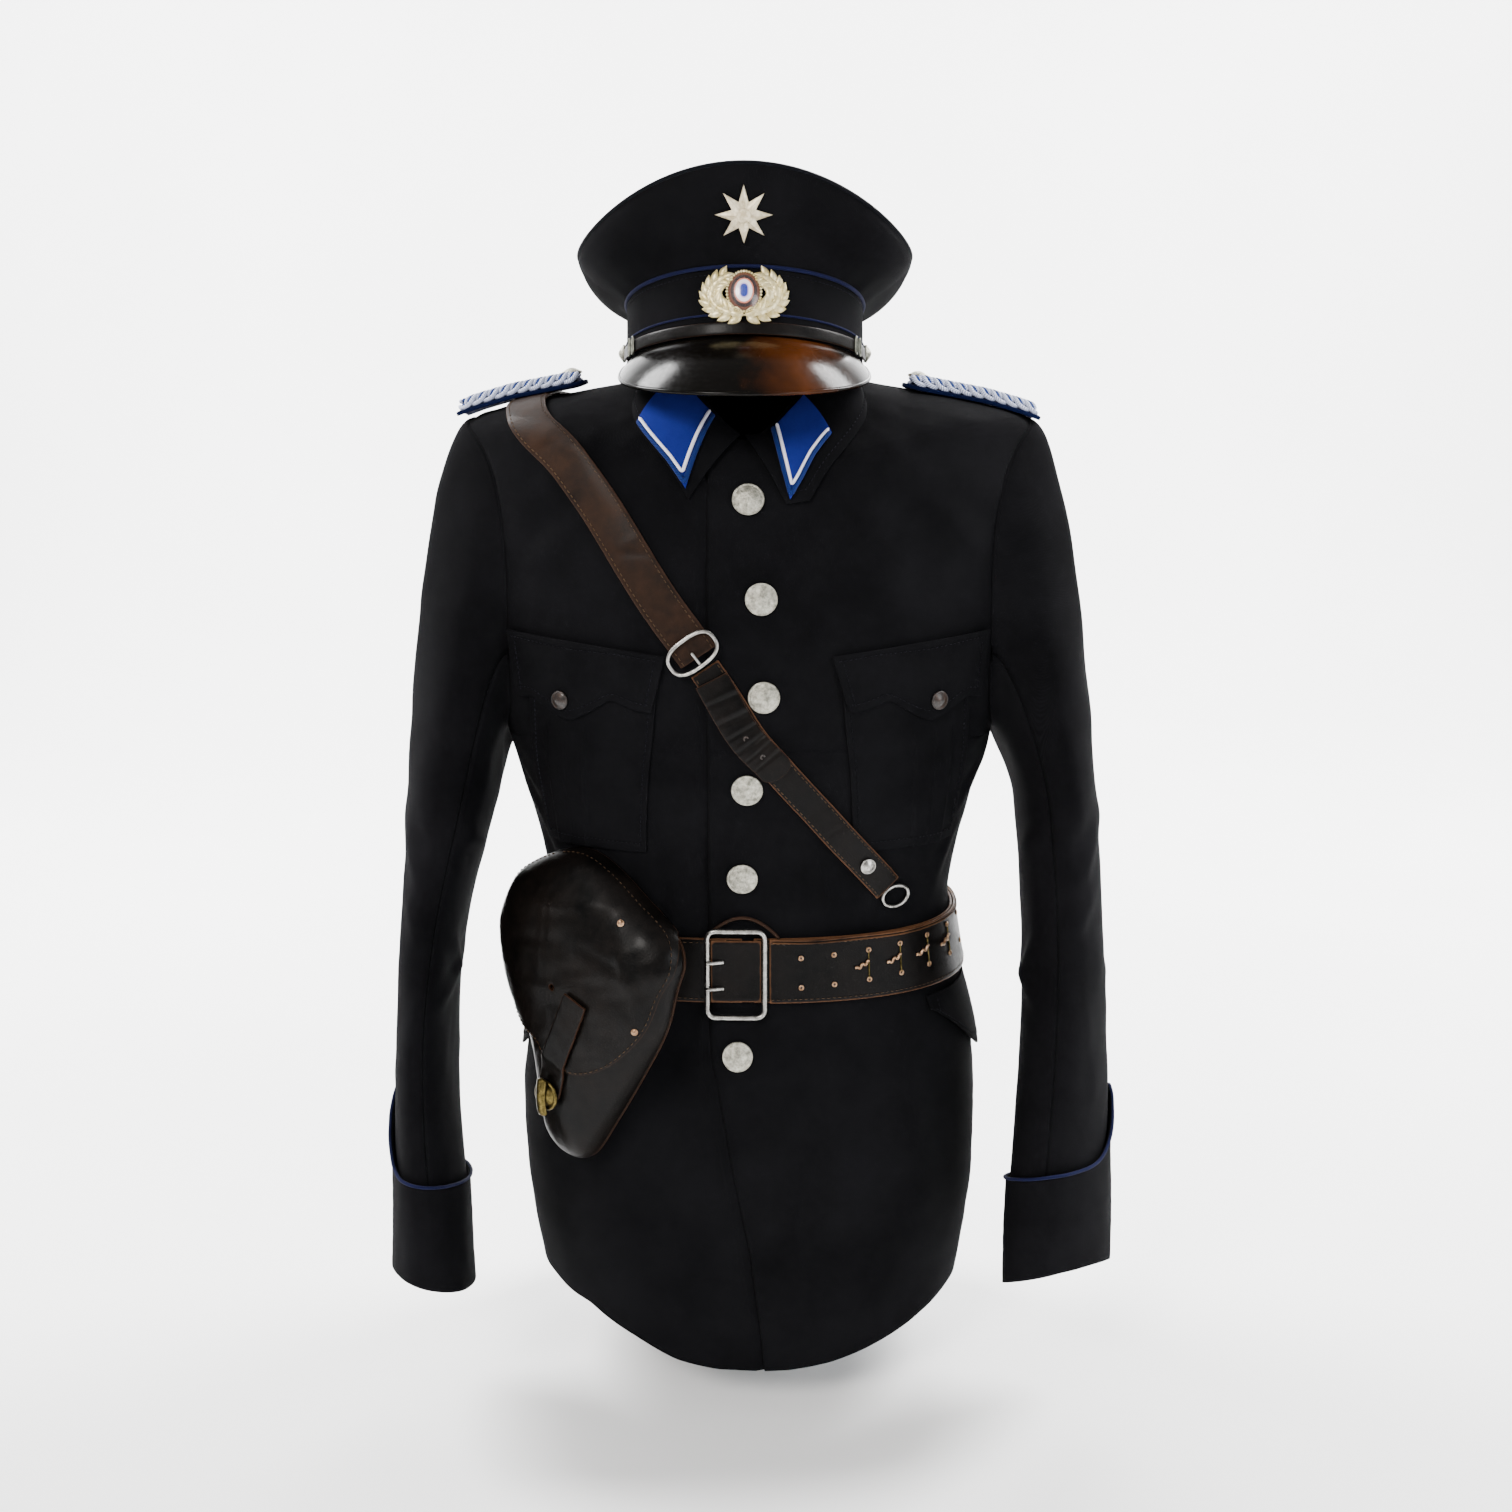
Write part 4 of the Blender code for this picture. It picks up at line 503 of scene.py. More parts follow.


# %% [markdown]
# Lacquer, plate and horn are smooth. What shows on them is an uneven gloss, fine scratches and
# tarnish in patches, so noise goes to the roughness and the colour rather than to the shape. On
# the lacquer the colour carries a painted reflection, a brown patch on the +x side of the visor.

# %% Metal, lacquer and horn
def metal(name, deep, pale, rough=(0.22, 0.42), pebble=0.0, metallic=1.0):
    """Tarnish in the colour, scratches in the gloss, and pebbles as bump where they have a size."""
    finish, tree, shader = start_finish(name, {"Metallic": metallic})
    place = object_place(tree)
    tarnish = noise(tree, place, 0.004, 5.0, 0.65)
    scratch = noise(tree, place, 0.0007, 2.0)
    tree.links.new(ramp(tree, tarnish, (0.35, deep), (0.68, pale)), shader.inputs["Base Color"])
    tree.links.new(scaled(tree, scratch, 0.3, 0.7, rough[0], rough[1]), shader.inputs["Roughness"])
    if pebble:
        grains = add(tree, "ShaderNodeTexVoronoi",
                     {"Vector": place, "Scale": 1.0 / pebble}).outputs["Distance"]
        bump(tree, shader, grains, 0.00035, 0.9)
    else:
        bump(tree, shader, scratch, 0.00004, 0.4)
    return finish


NICKEL = metal("nickel_plate", "#807e7a", "#b9b7b2")
BRASS = metal("aged_brass", "#2f2812", "#74663a", (0.28, 0.5))
COPPERY = metal("eyelet_brass", "#6f513c", "#b99878", (0.25, 0.45))
ALLOY = metal("pale_button_alloy", "#6f6e64", "#c2bfb1", (0.34, 0.6), 0.0011, 0.8)
GILT = metal("pale_gilt", "#b9a66a", "#f0e4b8", (0.32, 0.5), 0.0, 0.55)
PALE_METAL = metal("pale_badge_alloy", "#b8a988", "#efe3c8", (0.35, 0.55), 0.0, 0.45)
HORN = metal("dark_horn", "#0a0705", "#2a1a10", (0.25, 0.4), 0.0, 0.1)
STEEL = metal("dull_steel_wire", "#44453f", "#7d7e74", (0.3, 0.5))


def lacquer():
    """Black lacquer over fibre, with a painted reflection: a brown patch on the +x side of the visor."""
    finish, tree, shader = start_finish("lacquered_visor", {"IOR": 1.20})
    place = object_place(tree)
    broad = noise(tree, place, 0.05, 3.0)
    fine = noise(tree, place, 0.003, 4.0)
    sideways = add(tree, "ShaderNodeSeparateXYZ", {"Vector": place}).outputs["X"]
    # Painted reflection: the base colour turns brown in a patch on the +x side, broken up by broad noise.
    wear_and_painted_reflection = summed(tree, scaled(tree, sideways, -0.09, 0.09, 0.0, 0.8), broad, 0.4)
    tree.links.new(ramp(tree, wear_and_painted_reflection, (0.58, "#050403"), (0.80, "#3c1d08"), (0.95, "#080503")),
                   shader.inputs["Base Color"])
    tree.links.new(scaled(tree, fine, 0.3, 0.7, 0.12, 0.26), shader.inputs["Roughness"])
    bump(tree, shader, broad, 0.0010, 0.25)
    return finish


LACQUER = lacquer()
print("metal and lacquer finishes made")


# %% [markdown]
# A cord is yarn laid in a twist, and its stripes run round it like those of a barber's pole. The
# UV map runs round and along each cord in metres, so a diagonal band across it is the twist.

# %% Cords
def cord_finish(name, deep, pale, twist=0.0016, relief=0.0003):
    """A diagonal band for the twist, as colour and bump, with a little hair over it."""
    finish, tree, shader = start_finish(name, {"Roughness": 0.85, "Sheen Weight": 0.02, "IOR": 1.15})
    along = cloth_place(tree)
    lay = add(tree, "ShaderNodeTexWave", {"Vector": along, "Scale": 0.628 / twist, "Distortion": 0.3},
              bands_direction="DIAGONAL").outputs["Fac"]
    place = object_place(tree)
    hair = noise(tree, place, 0.0008, 2.0)
    tree.links.new(ramp(tree, summed(tree, lay, hair, 0.3), (0.25, deep), (0.95, pale)),
                   shader.inputs["Base Color"])
    bump(tree, shader, lay, relief, 0.6)
    return finish


WHITE_CORD = cord_finish("white_piping_cord", "#c4c0d4", "#f6f4fc")
BLUE_CORD = cord_finish("blue_edge_cord", "#0a1238", "#1a2c66")
PIPING = cord_finish("dark_blue_piping", "#080a24", "#141836")
SELF_PIPING = cord_finish("navy_self_piping", "#030406", "#0b0c12")
PALE_BRAID = cord_finish("pale_shoulder_cord", "#6c7699", "#d8dcec", 0.0022)
BLUE_BRAID = cord_finish("blue_shoulder_cord", "#0d1738", "#2c4076", 0.0022)
DARK_THREAD = cord_finish("dark_sewing_thread", "#0b0b0e", "#1d1d24", 0.0008, 0.0001)
TAN_THREAD = cord_finish("waxed_thread", "#33261b", "#6a5540", 0.0008, 0.0001)


def cockade_finish(rings):
    """Enamel rings: the UV runs from the rim to the centre, and a stepped ramp colours it."""
    finish, tree, shader = start_finish("cockade_enamel", {"Coat Weight": 0.6, "Coat Roughness": 0.1})
    along = cloth_place(tree)
    far = add(tree, "ShaderNodeSeparateXYZ", {"Vector": along}).outputs["Y"]
    place = object_place(tree)
    fleck = noise(tree, place, 0.0008, 3.0)
    share = scaled(tree, summed(tree, far, fleck, 0.0005), 0.0, 0.0150, 0.0, 1.0)
    tree.links.new(ramp(tree, share, *rings, interpolation="CONSTANT"), shader.inputs["Base Color"])
    tree.links.new(scaled(tree, fleck, 0.3, 0.7, 0.2, 0.4), shader.inputs["Roughness"])
    return finish


ENAMEL = cockade_finish(((0.0, "#5a3424"), (0.20, "#2a1c1c"), (0.38, "#c9765f"), (0.46, "#ece4ea"),
                         (0.64, "#b9a6d8"), (0.70, "#26368c")))
print("finishes in all:", len(bpy.data.materials))

# %% [markdown]

# %% [markdown]
# ## Creases
# Worn wool keeps soft creases where it bends: under the arms, at the elbows, above the belt. A
# cloth solver would give them too, but not where the photograph has them, so each one is laid
# as a line on the skin. Its height falls off as a bell across the line, with a shallow
# trough beside it, and it fades to nothing at both ends.

# %% Laying creases
def across_grid(points, closed=False):
    """Unit normals of a grid, from the differences between its neighbours."""
    if closed:
        run = np.roll(points, -1, 1) - np.roll(points, 1, 1)
    else:
        run = np.gradient(points, axis=1)
    normal = np.cross(run, np.gradient(points, axis=0))
    return normal / np.maximum(np.linalg.norm(normal, axis=-1, keepdims=True), 1e-12)


def crease_heights(points, skin, table):
    """For each line: height * (bell(d / w) - 0.4 bell((d - 2w) / w)) * fade, d being the distance."""
    total = np.zeros(points.shape[:-1])
    share = steps(0.0, 1.0, 33)
    fade = np.sin(np.pi * np.clip(share, 0.02, 0.98)) ** 0.7
    for a0, l0, a1, l1, half, height, bend in table:
        angle = a0 + (a1 - a0) * share + bend * 4 * share * (1 - share)
        line = skin(angle, l0 + (l1 - l0) * share)
        reach = 3.6 * half + 0.002
        near = np.all((points > line.min(0) - reach) & (points < line.max(0) + reach), axis=-1)
        spot = points[near]
        if not len(spot):
            continue
        gap = np.linalg.norm(spot[:, None, :] - line[None], axis=-1)
        best = gap.argmin(1)
        d = gap[np.arange(len(spot)), best]
        bell = np.exp(-(d / half) ** 2) - 0.4 * np.exp(-((d - 2 * half) / half) ** 2)
        total[near] += height * bell * fade[best]
    return total


def ripple(points, size, height, seed):
    """A few crossed sine waves with random turns: the slight unevenness of any real cloth."""
    random = np.random.default_rng(seed)
    total = np.zeros(points.shape[:-1])
    for wave in (1.0, 0.61, 0.37):
        way = random.normal(size=(3, 3))
        way = way / np.linalg.norm(way, axis=1, keepdims=True) * 2 * np.pi / (size * wave)
        turns = random.uniform(0, 2 * np.pi, 3)
        total = total + wave * np.sin(points @ way[0]
                                      + turns[0] + 1.3 * np.sin(points @ way[1] * 0.6 + turns[1]))
    return total * height / 2.0


def lay(points, heights, closed=False):
    """Moves a grid out along its own normals."""
    return points + heights[..., None] * across_grid(points, closed)


# %% [markdown]
# ## The tunic
# A closed tunic is cut as two fronts and a back, joined at the sides and over the shoulders. The
# left front laps over the right one, which runs on below it as an underlap. Each panel is one
# grid between its own two edges, so the seams are real gaps with the cloth turned in beside them.

# %% Panel edges
CLOTH, SEAM, REST = 0.0020, 0.0005, 0.0010
ARMPIT, TIP = 10.45, 16.2
ARMHOLE_FRONT, ARMHOLE_BACK, ARMHOLE_STEPS = 21.0, 23.0, 48
SHOULDER_SHIFT = ((16.2, 0.0), (17.0, 5.0), (20.0, 9.0))
HEM_RISE = ((-180.0, 0.30), (-110.0, 0.75), (-85.0, 0.95), (-68.0, 1.00), (-50.0, 0.92), (-36.0, 0.60),
            (-23.0, 0.26), (-10.0, 0.05), (0.0, 0.0), (12.0, 0.0), (25.0, 0.14), (40.0, 0.40), (55.0, 0.62),
            (70.0, 0.74), (90.0, 0.72), (120.0, 0.55), (180.0, 0.30))
TOP_EDGE = ((0.0, 0.012), (0.9, 0.008), (1.9, 0.000), (3.1, -0.017), (4.4, -0.033), (20.0, -0.033))
UNDER_EDGE = ((0.0, 0.017), (0.9, 0.018), (1.9, 0.020), (20.0, 0.020))
UNDER_STEP = 0.0024


def armhole(place):
    """Level and opening of the armhole, from the armpit (0) to the shoulder tip (1)."""
    level = ARMPIT + (TIP - ARMPIT) * (1 - np.cos(np.pi * place)) / 2
    return level, np.sin(np.pi * place).clip(0) ** 0.9 * (1 + 0.3 * np.cos(np.pi * place))


fine = steps(0.0, 1.0, 401)
fine_level, fine_open = armhole(fine)
fine_line = tunic(90.0 - ARMHOLE_FRONT * fine_open, fine_level)
walked = np.concatenate([[0.0], np.cumsum(np.linalg.norm(np.diff(fine_line, axis=0), axis=1))])
ARMHOLE_LEVELS, ARMHOLE_OPEN = armhole(np.interp(steps(0.0, walked[-1], ARMHOLE_STEPS + 1), walked, fine))
PANEL_LEVELS = np.concatenate([
    steps(0.0, BELT_LOW_LEVEL, 44)[:-1], steps(BELT_LOW_LEVEL, BELT_HIGH_LEVEL, 9)[:-1],
    steps(BELT_HIGH_LEVEL, ARMPIT, 36)[:-1], steps(ARMPIT, TIP, 60)[:-1], steps(TIP, NECK_LEVEL, 34)])
print("armhole round the front", round(float(walked[-1]), 3), "m;", len(PANEL_LEVELS), "levels")


def degrees_for(distance, angle, level):
    """The angle that covers a short distance round the tunic."""
    run = np.linalg.norm(tunic(angle + 0.5, level) - tunic(angle - 0.5, level), axis=-1)
    return distance / run


def side_edge(front):
    """Angle of a panel's side edge at each level: the side seam, the armhole, the shoulder seam."""
    opening = np.interp(PANEL_LEVELS, ARMHOLE_LEVELS, ARMHOLE_OPEN, left=0.0, right=0.0)
    edge = 90.0 + (-ARMHOLE_FRONT if front else ARMHOLE_BACK) * opening
    return np.where(PANEL_LEVELS > TIP, 90.0 - table_value(SHOULDER_SHIFT, PANEL_LEVELS), edge)


def spans(edges, counts):
    """Columns between neighbouring edges, each span split evenly."""
    parts = [edges[k][:, None] + (edges[k + 1] - edges[k])[:, None] * steps(0.0, 1.0, n + 1)[None, :-1]
             for k, n in enumerate(counts)]
    return np.concatenate(parts + [edges[-1][:, None]], 1)


def hem_levels(angles):
    """Levels of a panel whose first row follows the hem, easing off over the next two levels."""
    rise = table_value(HEM_RISE, (angles + 180.0) % 360.0 - 180.0)
    level = PANEL_LEVELS[:, None] + 0.0 * angles
    return level + rise * (1.0 - level / 2.2).clip(0.0, 1.0)


# %% [markdown]
# The main creases of the body, as the photograph shows them: drag lines from the armpits to the
# chest, soft pulls into the belt, and long shallow flutes in the skirt. The back has its own,
# guessed from how such a tunic blouses over its belt.

# %% Creases of the body
BODY_CREASES = (
    (74.0, 10.9, 48.0, 9.4, 0.0085, 0.0026, 0.0), (80.0, 10.0, 60.0, 8.2, 0.0080, 0.0024, 2.0),
    (78.0, 9.0, 66.0, 7.3, 0.0075, 0.0020, -2.0), (-74.0, 10.9, -50.0, 9.6, 0.0085, 0.0026, 0.0),
    (-82.0, 10.0, -62.0, 8.4, 0.0080, 0.0024, -2.0), (-79.0, 8.9, -68.0, 7.2, 0.0075, 0.0020, 2.0),
    (66.0, 12.9, 46.0, 14.6, 0.0110, 0.0020, 3.0), (-66.0, 12.9, -46.0, 14.6, 0.0110, 0.0020, -3.0),
    (60.0, 14.2, 38.0, 15.8, 0.0120, 0.0016, 2.0), (-60.0, 14.2, -38.0, 15.8, 0.0120, 0.0016, -2.0),
    (22.0, 8.6, 30.0, 7.1, 0.0065, 0.0016, 1.0), (-14.0, 8.6, -20.0, 7.0, 0.0065, 0.0016, -1.0),
    (40.0, 8.2, 46.0, 7.0, 0.0065, 0.0016, 0.0), (-40.0, 8.3, -46.0, 7.0, 0.0065, 0.0016, 0.0),
    (8.0, 7.9, 14.0, 6.95, 0.0050, 0.0012, 1.0), (-30.0, 8.0, -33.0, 6.95, 0.0055, 0.0013, 0.0),
    (28.0, 4.9, 24.0, 2.2, 0.0140, 0.0024, 1.0), (-26.0, 4.9, -24.0, 2.0, 0.0140, 0.0022, -1.0),
    (50.0, 4.8, 54.0, 1.6, 0.0160, 0.0030, -2.0), (-56.0, 4.8, -58.0, 1.8, 0.0160, 0.0030, 2.0),
    (12.0, 4.0, 16.0, 1.0, 0.0110, 0.0016, 1.5), (-12.0, 3.2, -15.0, 0.8, 0.0110, 0.0016, -1.5),
    (88.0, 5.0, 92.0, 1.6, 0.0150, 0.0028, 2.0), (-88.0, 5.0, -92.0, 1.8, 0.0150, 0.0028, -2.0),
    (112.0, 5.1, 106.0, 1.4, 0.0150, 0.0034, 2.0), (-112.0, 5.1, -106.0, 1.4, 0.0150, 0.0034, -2.0),
    (138.0, 5.1, 134.0, 1.2, 0.0160, 0.0036, 2.0), (-138.0, 5.1, -134.0, 1.2, 0.0160, 0.0036, -2.0),
    (164.0, 5.1, 162.0, 1.2, 0.0150, 0.0034, 2.0), (-164.0, 5.1, -160.0, 1.2, 0.0150, 0.0034, -2.0),
    (118.0, 8.7, 126.0, 7.0, 0.0090, 0.0036, 2.0), (-118.0, 8.7, -126.0, 7.0, 0.0090, 0.0036, -2.0),
    (140.0, 9.0, 145.0, 7.0, 0.0090, 0.0034, 2.0), (-140.0, 8.8, -143.0, 7.0, 0.0090, 0.0034, -2.0),
    (158.0, 8.8, 160.0, 7.0, 0.0085, 0.0030, 2.0), (-160.0, 9.1, -162.0, 7.0, 0.0085, 0.0030, -2.0),
    (104.0, 10.4, 132.0, 9.0, 0.0100, 0.0032, 3.0), (-104.0, 10.4, -132.0, 9.0, 0.0100, 0.0032, -3.0),
    (112.0, 12.4, 140.0, 10.6, 0.0120, 0.0032, 3.0), (-112.0, 12.4, -140.0, 10.6, 0.0120, 0.0032, -3.0),
    (120.0, 14.2, 146.0, 12.6, 0.0130, 0.0026, 3.0), (-120.0, 14.2, -146.0, 12.6, 0.0130, 0.0026, -3.0),
    (150.0, 17.6, -150.0, 17.6, 0.0090, 0.0018, 0.0), (156.0, 16.4, -156.0, 16.4, 0.0110, 0.0016, 0.0),
)


def covered(angle, level):
    """1 where a belt, pocket, flap, collar or strap lies on the cloth, 0 where it is free."""
    off = np.abs((angle + 180.0) % 360.0 - 180.0)
    belt = np.exp(-((level - 6.05) / 0.95) ** 8)
    pocket = np.exp(-((off - 47.0) / 22.5) ** 8 - ((level - 10.2) / 2.25) ** 8)
    collar = np.exp(-((level - 19.6) / 3.4) ** 8)
    placket = np.exp(-((off) / 15.0) ** 8) * (level > 4.0)
    hip = np.exp(-((off - 81.0) / 25.0) ** 8 - ((level - 4.5) / 0.9) ** 8)
    return np.maximum.reduce([belt, pocket, collar, placket, hip])


def dress(points, angle, level, seed):
    """Adds the creases and the ripple, and keeps ridges under 0.4 mm where something lies on top."""
    heights = crease_heights(points, tunic, BODY_CREASES) + ripple(points, 0.11, 0.0011, seed)
    hidden = covered(angle, level)
    ridge = heights.clip(0) * (1 - hidden) + np.minimum(heights.clip(0), 0.0004) * hidden
    hollow = heights.clip(None, 0) * (1 - 0.7 * hidden)
    return lay(points, ridge + hollow)


# %% Fronts and back
def roll_edge(points, column, width=3, drop=0.0012):
    """Lets a free edge roll in over its last few columns, so that it reads as turned cloth."""
    normal = across_grid(points)
    for k in range(width):
        place = column + k if column >= 0 else column - k
        points[:, place] -= normal[:, place] * drop * (1 - k / width) ** 2
    return points


edge = side_edge(True)
edge = edge - degrees_for(SEAM / 2, edge, PANEL_LEVELS)
top_line = front_angle(table_value(TOP_EDGE, PANEL_LEVELS), PANEL_LEVELS)
under_line = front_angle(table_value(UNDER_EDGE, PANEL_LEVELS), PANEL_LEVELS)

left_angles = spans([top_line, under_line, edge], [16, 56])
left_levels = hem_levels(left_angles)
left_grid = roll_edge(dress(tunic(left_angles, left_levels), left_angles, left_levels, 3), 0)
front_left = make("front_left_cloth", NAVY_WOOL, left_grid, wall=CLOTH, inner=NAVY_LINING,
                  replaces=["front_left"])
cloth_facts(front_left, left_grid)

ramp_line = top_line - degrees_for(0.007, top_line, PANEL_LEVELS)
right_angles = spans([under_line, top_line, ramp_line, -edge], [12, 4, 56])
right_levels = hem_levels(right_angles)
inset = UNDER_STEP * ((right_angles - ramp_line[:, None]) / (top_line - ramp_line)[:, None]).clip(0, 1)
right_grid = dress(tunic(right_angles, right_levels), right_angles, right_levels, 5)[:, ::-1]
right_grid = lay(right_grid, -inset[:, ::-1])
front_right = make("front_right_cloth", NAVY_WOOL, right_grid, wall=CLOTH, inner=NAVY_LINING,
                   replaces=["front_right"])
cloth_facts(front_right, right_grid)

back_edge = side_edge(False)
back_edge = back_edge + degrees_for(0.8 * SEAM, back_edge, PANEL_LEVELS)
back_angles = spans([back_edge, 360.0 - back_edge], [112])
back_levels = hem_levels(back_angles)
back_grid = dress(tunic(back_angles, back_levels), back_angles, back_levels, 7)
middle_seam = -0.0011 * np.exp(-((back_angles - 180.0) / 0.55) ** 2)
back_grid = lay(back_grid, middle_seam)
back = make("back_cloth", NAVY_WOOL, back_grid, wall=CLOTH, inner=NAVY_LINING,
            replaces=["back"])
cloth_facts(back, back_grid)

# %% [markdown]
# ## Sleeves and cuffs
# A two-piece sleeve has a wide top sleeve and a narrow under sleeve, so that it can bend forward
# at the elbow. Its head is eased into the armhole. Here the head is a cubic that leaves each
# armhole point outwards and meets the arm's tube going down.

# %% The arm's tube
# Columns: height, outer and inner x, middle y, half depth, lean in degrees.
ARM_LEFT = (
    (-0.344, 0.291, 0.222, -0.044, 0.078, 8.0),
    (-0.427, 0.298, 0.227, -0.060, 0.075, 16.0),
    (-0.511, 0.304, 0.226, -0.076, 0.069, 23.0),
    (-0.594, 0.307, 0.220, -0.093, 0.062, 30.0),
    (-0.677, 0.309, 0.213, -0.111, 0.054, 36.0),
    (-0.760, 0.307, 0.212, -0.127, 0.049, 38.0),
)
ARM_RIGHT = (
    (-0.344, 0.286, 0.214, -0.044, 0.080, 2.0),
    (-0.427, 0.289, 0.236, -0.060, 0.083, 4.0),
    (-0.511, 0.293, 0.248, -0.076, 0.080, 6.0),
    (-0.594, 0.296, 0.248, -0.093, 0.073, 8.0),
    (-0.677, 0.298, 0.239, -0.111, 0.067, 12.0),
    (-0.760, 0.301, 0.234, -0.127, 0.064, 14.0),
)
ARM_FOLDS_LEFT = (
    (70.0, 0.35, 24.0, 0.30, 30.0, -0.0040),
    (60.0, 1.30, 26.0, 0.28, -50.0, 0.0035),
    (75.0, 1.75, 24.0, 0.22, -60.0, -0.0035),
    (-60.0, 1.50, 26.0, 0.40, 30.0, -0.0035),
    (35.0, 2.80, 22.0, 0.70, 12.0, 0.0030),
)
ARM_FOLDS_RIGHT = (
    (-70.0, 0.35, 24.0, 0.30, -30.0, -0.0040),
    (-60.0, 1.25, 26.0, 0.28, 50.0, 0.0035),
    (-80.0, 1.70, 24.0, 0.22, 60.0, -0.0035),
    (60.0, 1.50, 26.0, 0.40, -30.0, -0.0035),
    (-28.0, 2.90, 16.0, 1.20, 4.0, 0.0035),
)
ARM_END, END_FRONT, END_LEFT, END_RIGHT = 4.62, 0.24, -0.07, 0.05


def arm(side, angle, level):
    """A leaning ellipse at each level, side 1 for the wearer's left arm; angle 0 is outside."""
    angle, level = arrays(angle, level)
    table, folds = (ARM_LEFT, ARM_FOLDS_LEFT) if side > 0 else (ARM_RIGHT, ARM_FOLDS_RIGHT)
    height, outer, inner, middle, depth, lean = np.moveaxis(between_levels(table, level), -1, 0)
    turn = -side * np.radians(angle)
    grow = 1 + fold_heights(folds, angle, level) / depth
    x = (outer + inner) / 2 + grow * (outer - inner) / 2 * np.cos(turn)
    y = middle + grow * depth * np.sin(turn + np.radians(lean))
    return np.stack([side * x, y, height], -1)


def arm_end(side, angle):
    """Level of the sleeve's end round the wrist."""
    turn = np.radians(side * np.asarray(angle))
    return ARM_END - (END_LEFT if side > 0 else END_RIGHT) * np.cos(turn) - END_FRONT * np.sin(turn)


down = slice(None, None, -1)
LOOP_ANGLE = np.concatenate([(90.0 - ARMHOLE_FRONT * ARMHOLE_OPEN)[down],
                             (90.0 + ARMHOLE_BACK * ARMHOLE_OPEN)[1:-1]])
LOOP_LEVEL = np.concatenate([ARMHOLE_LEVELS[down], ARMHOLE_LEVELS[1:-1]])
loop_line = tunic(LOOP_ANGLE, LOOP_LEVEL)
loop_steps = np.linalg.norm(np.roll(loop_line, -1, 0) - loop_line, axis=-1)
loop_walk = np.concatenate([[0.0], np.cumsum(loop_steps)])
half_walk = loop_walk[ARMHOLE_STEPS]
LOOP_TURN = np.concatenate([loop_walk[:ARMHOLE_STEPS + 1] / half_walk * 180.0,
                            180.0 + (loop_walk[ARMHOLE_STEPS + 1:-1] - half_walk)
                            / (loop_walk[-1] - half_walk) * 180.0])
LOOP_COUNT = len(LOOP_ANGLE)
print("whole armhole", round(float(loop_walk[-1]), 3), "m in", LOOP_COUNT, "points")


def sleeve(side, place, rings):
    """Sleeve grid: rings -1 to 0 are the head's cubic, rings above 0 are levels of the arm."""
    whole = np.arange(LOOP_COUNT + 1)
    start = tunic(side * LOOP_ANGLE, LOOP_LEVEL)
    start = np.concatenate([start, start[:1]])
    turn = np.concatenate([LOOP_TURN, [360.0]])
    place = np.asarray(place, float) % LOOP_COUNT
    begin = np.stack([np.interp(place, whole, start[:, k]) for k in range(3)], -1)
    begin = begin + np.array([side * SEAM, 0.0, 0.0])
    angle = side * np.interp(place, whole, turn)
    low = (1 - np.cos(np.radians(angle)))[:, None] / 2
    top = arm(side, angle, 0.0)
    slope = top - arm(side, angle, 0.5)
    slope = unit(slope)
    leave = begin + (0.030 - 0.020 * low) * np.array([side, 0.0, 0.0]) - low * np.array([0.0, 0.0, 0.006])
    arrive = top + (0.125 - 0.105 * low) * slope
    t = (1.0 + np.minimum(rings, 0.0))[:, None, None]
    head = (1 - t) ** 3 * begin + 3 * (1 - t) ** 2 * t * leave + 3 * (1 - t) * t ** 2 * arrive + t ** 3 * top
    tube_part = arm(side, angle[None, :], np.maximum(rings, 0.0)[:, None] * arm_end(side, angle) / ARM_END)
    return np.where((rings < 0)[:, None, None], head, tube_part)


# %% Creases and sewing of the sleeves
LEFT_CREASES = (
    (-60.0, 1.25, 20.0, 1.55, 0.0090, 0.0030, 0.0), (-50.0, 1.75, 30.0, 1.70, 0.0080, 0.0026, 0.0),
    (-70.0, 2.05, 10.0, 2.35, 0.0080, 0.0022, 0.0), (40.0, 0.2, 95.0, 0.7, 0.0090, 0.0028, 0.0),
    (60.0, 0.75, 110.0, 1.1, 0.0080, 0.0024, 0.0), (-30.0, 0.35, 35.0, 0.05, 0.0120, 0.0022, 0.0),
    (60.0, 2.5, 80.0, 3.6, 0.0100, 0.0022, 0.0), (-20.0, 2.4, -34.0, 3.5, 0.0110, 0.0024, 4.0),
    (150.0, 1.2, 190.0, 1.7, 0.0080, 0.0028, 0.0), (140.0, 1.8, 200.0, 1.6, 0.0080, 0.0026, 0.0),
    (230.0, 1.3, 290.0, 1.6, 0.0085, 0.0030, 0.0), (235.0, 1.9, 285.0, 1.75, 0.0085, 0.0028, 0.0),
    (120.0, 0.15, 180.0, 0.5, 0.0090, 0.0030, 0.0), (225.0, 0.2, 300.0, 0.7, 0.0100, 0.0028, 0.0),
)
RIGHT_CREASES = tuple((-a0, l0, -a1, l1, w, h, -b) for a0, l0, a1, l1, w, h, b in LEFT_CREASES)


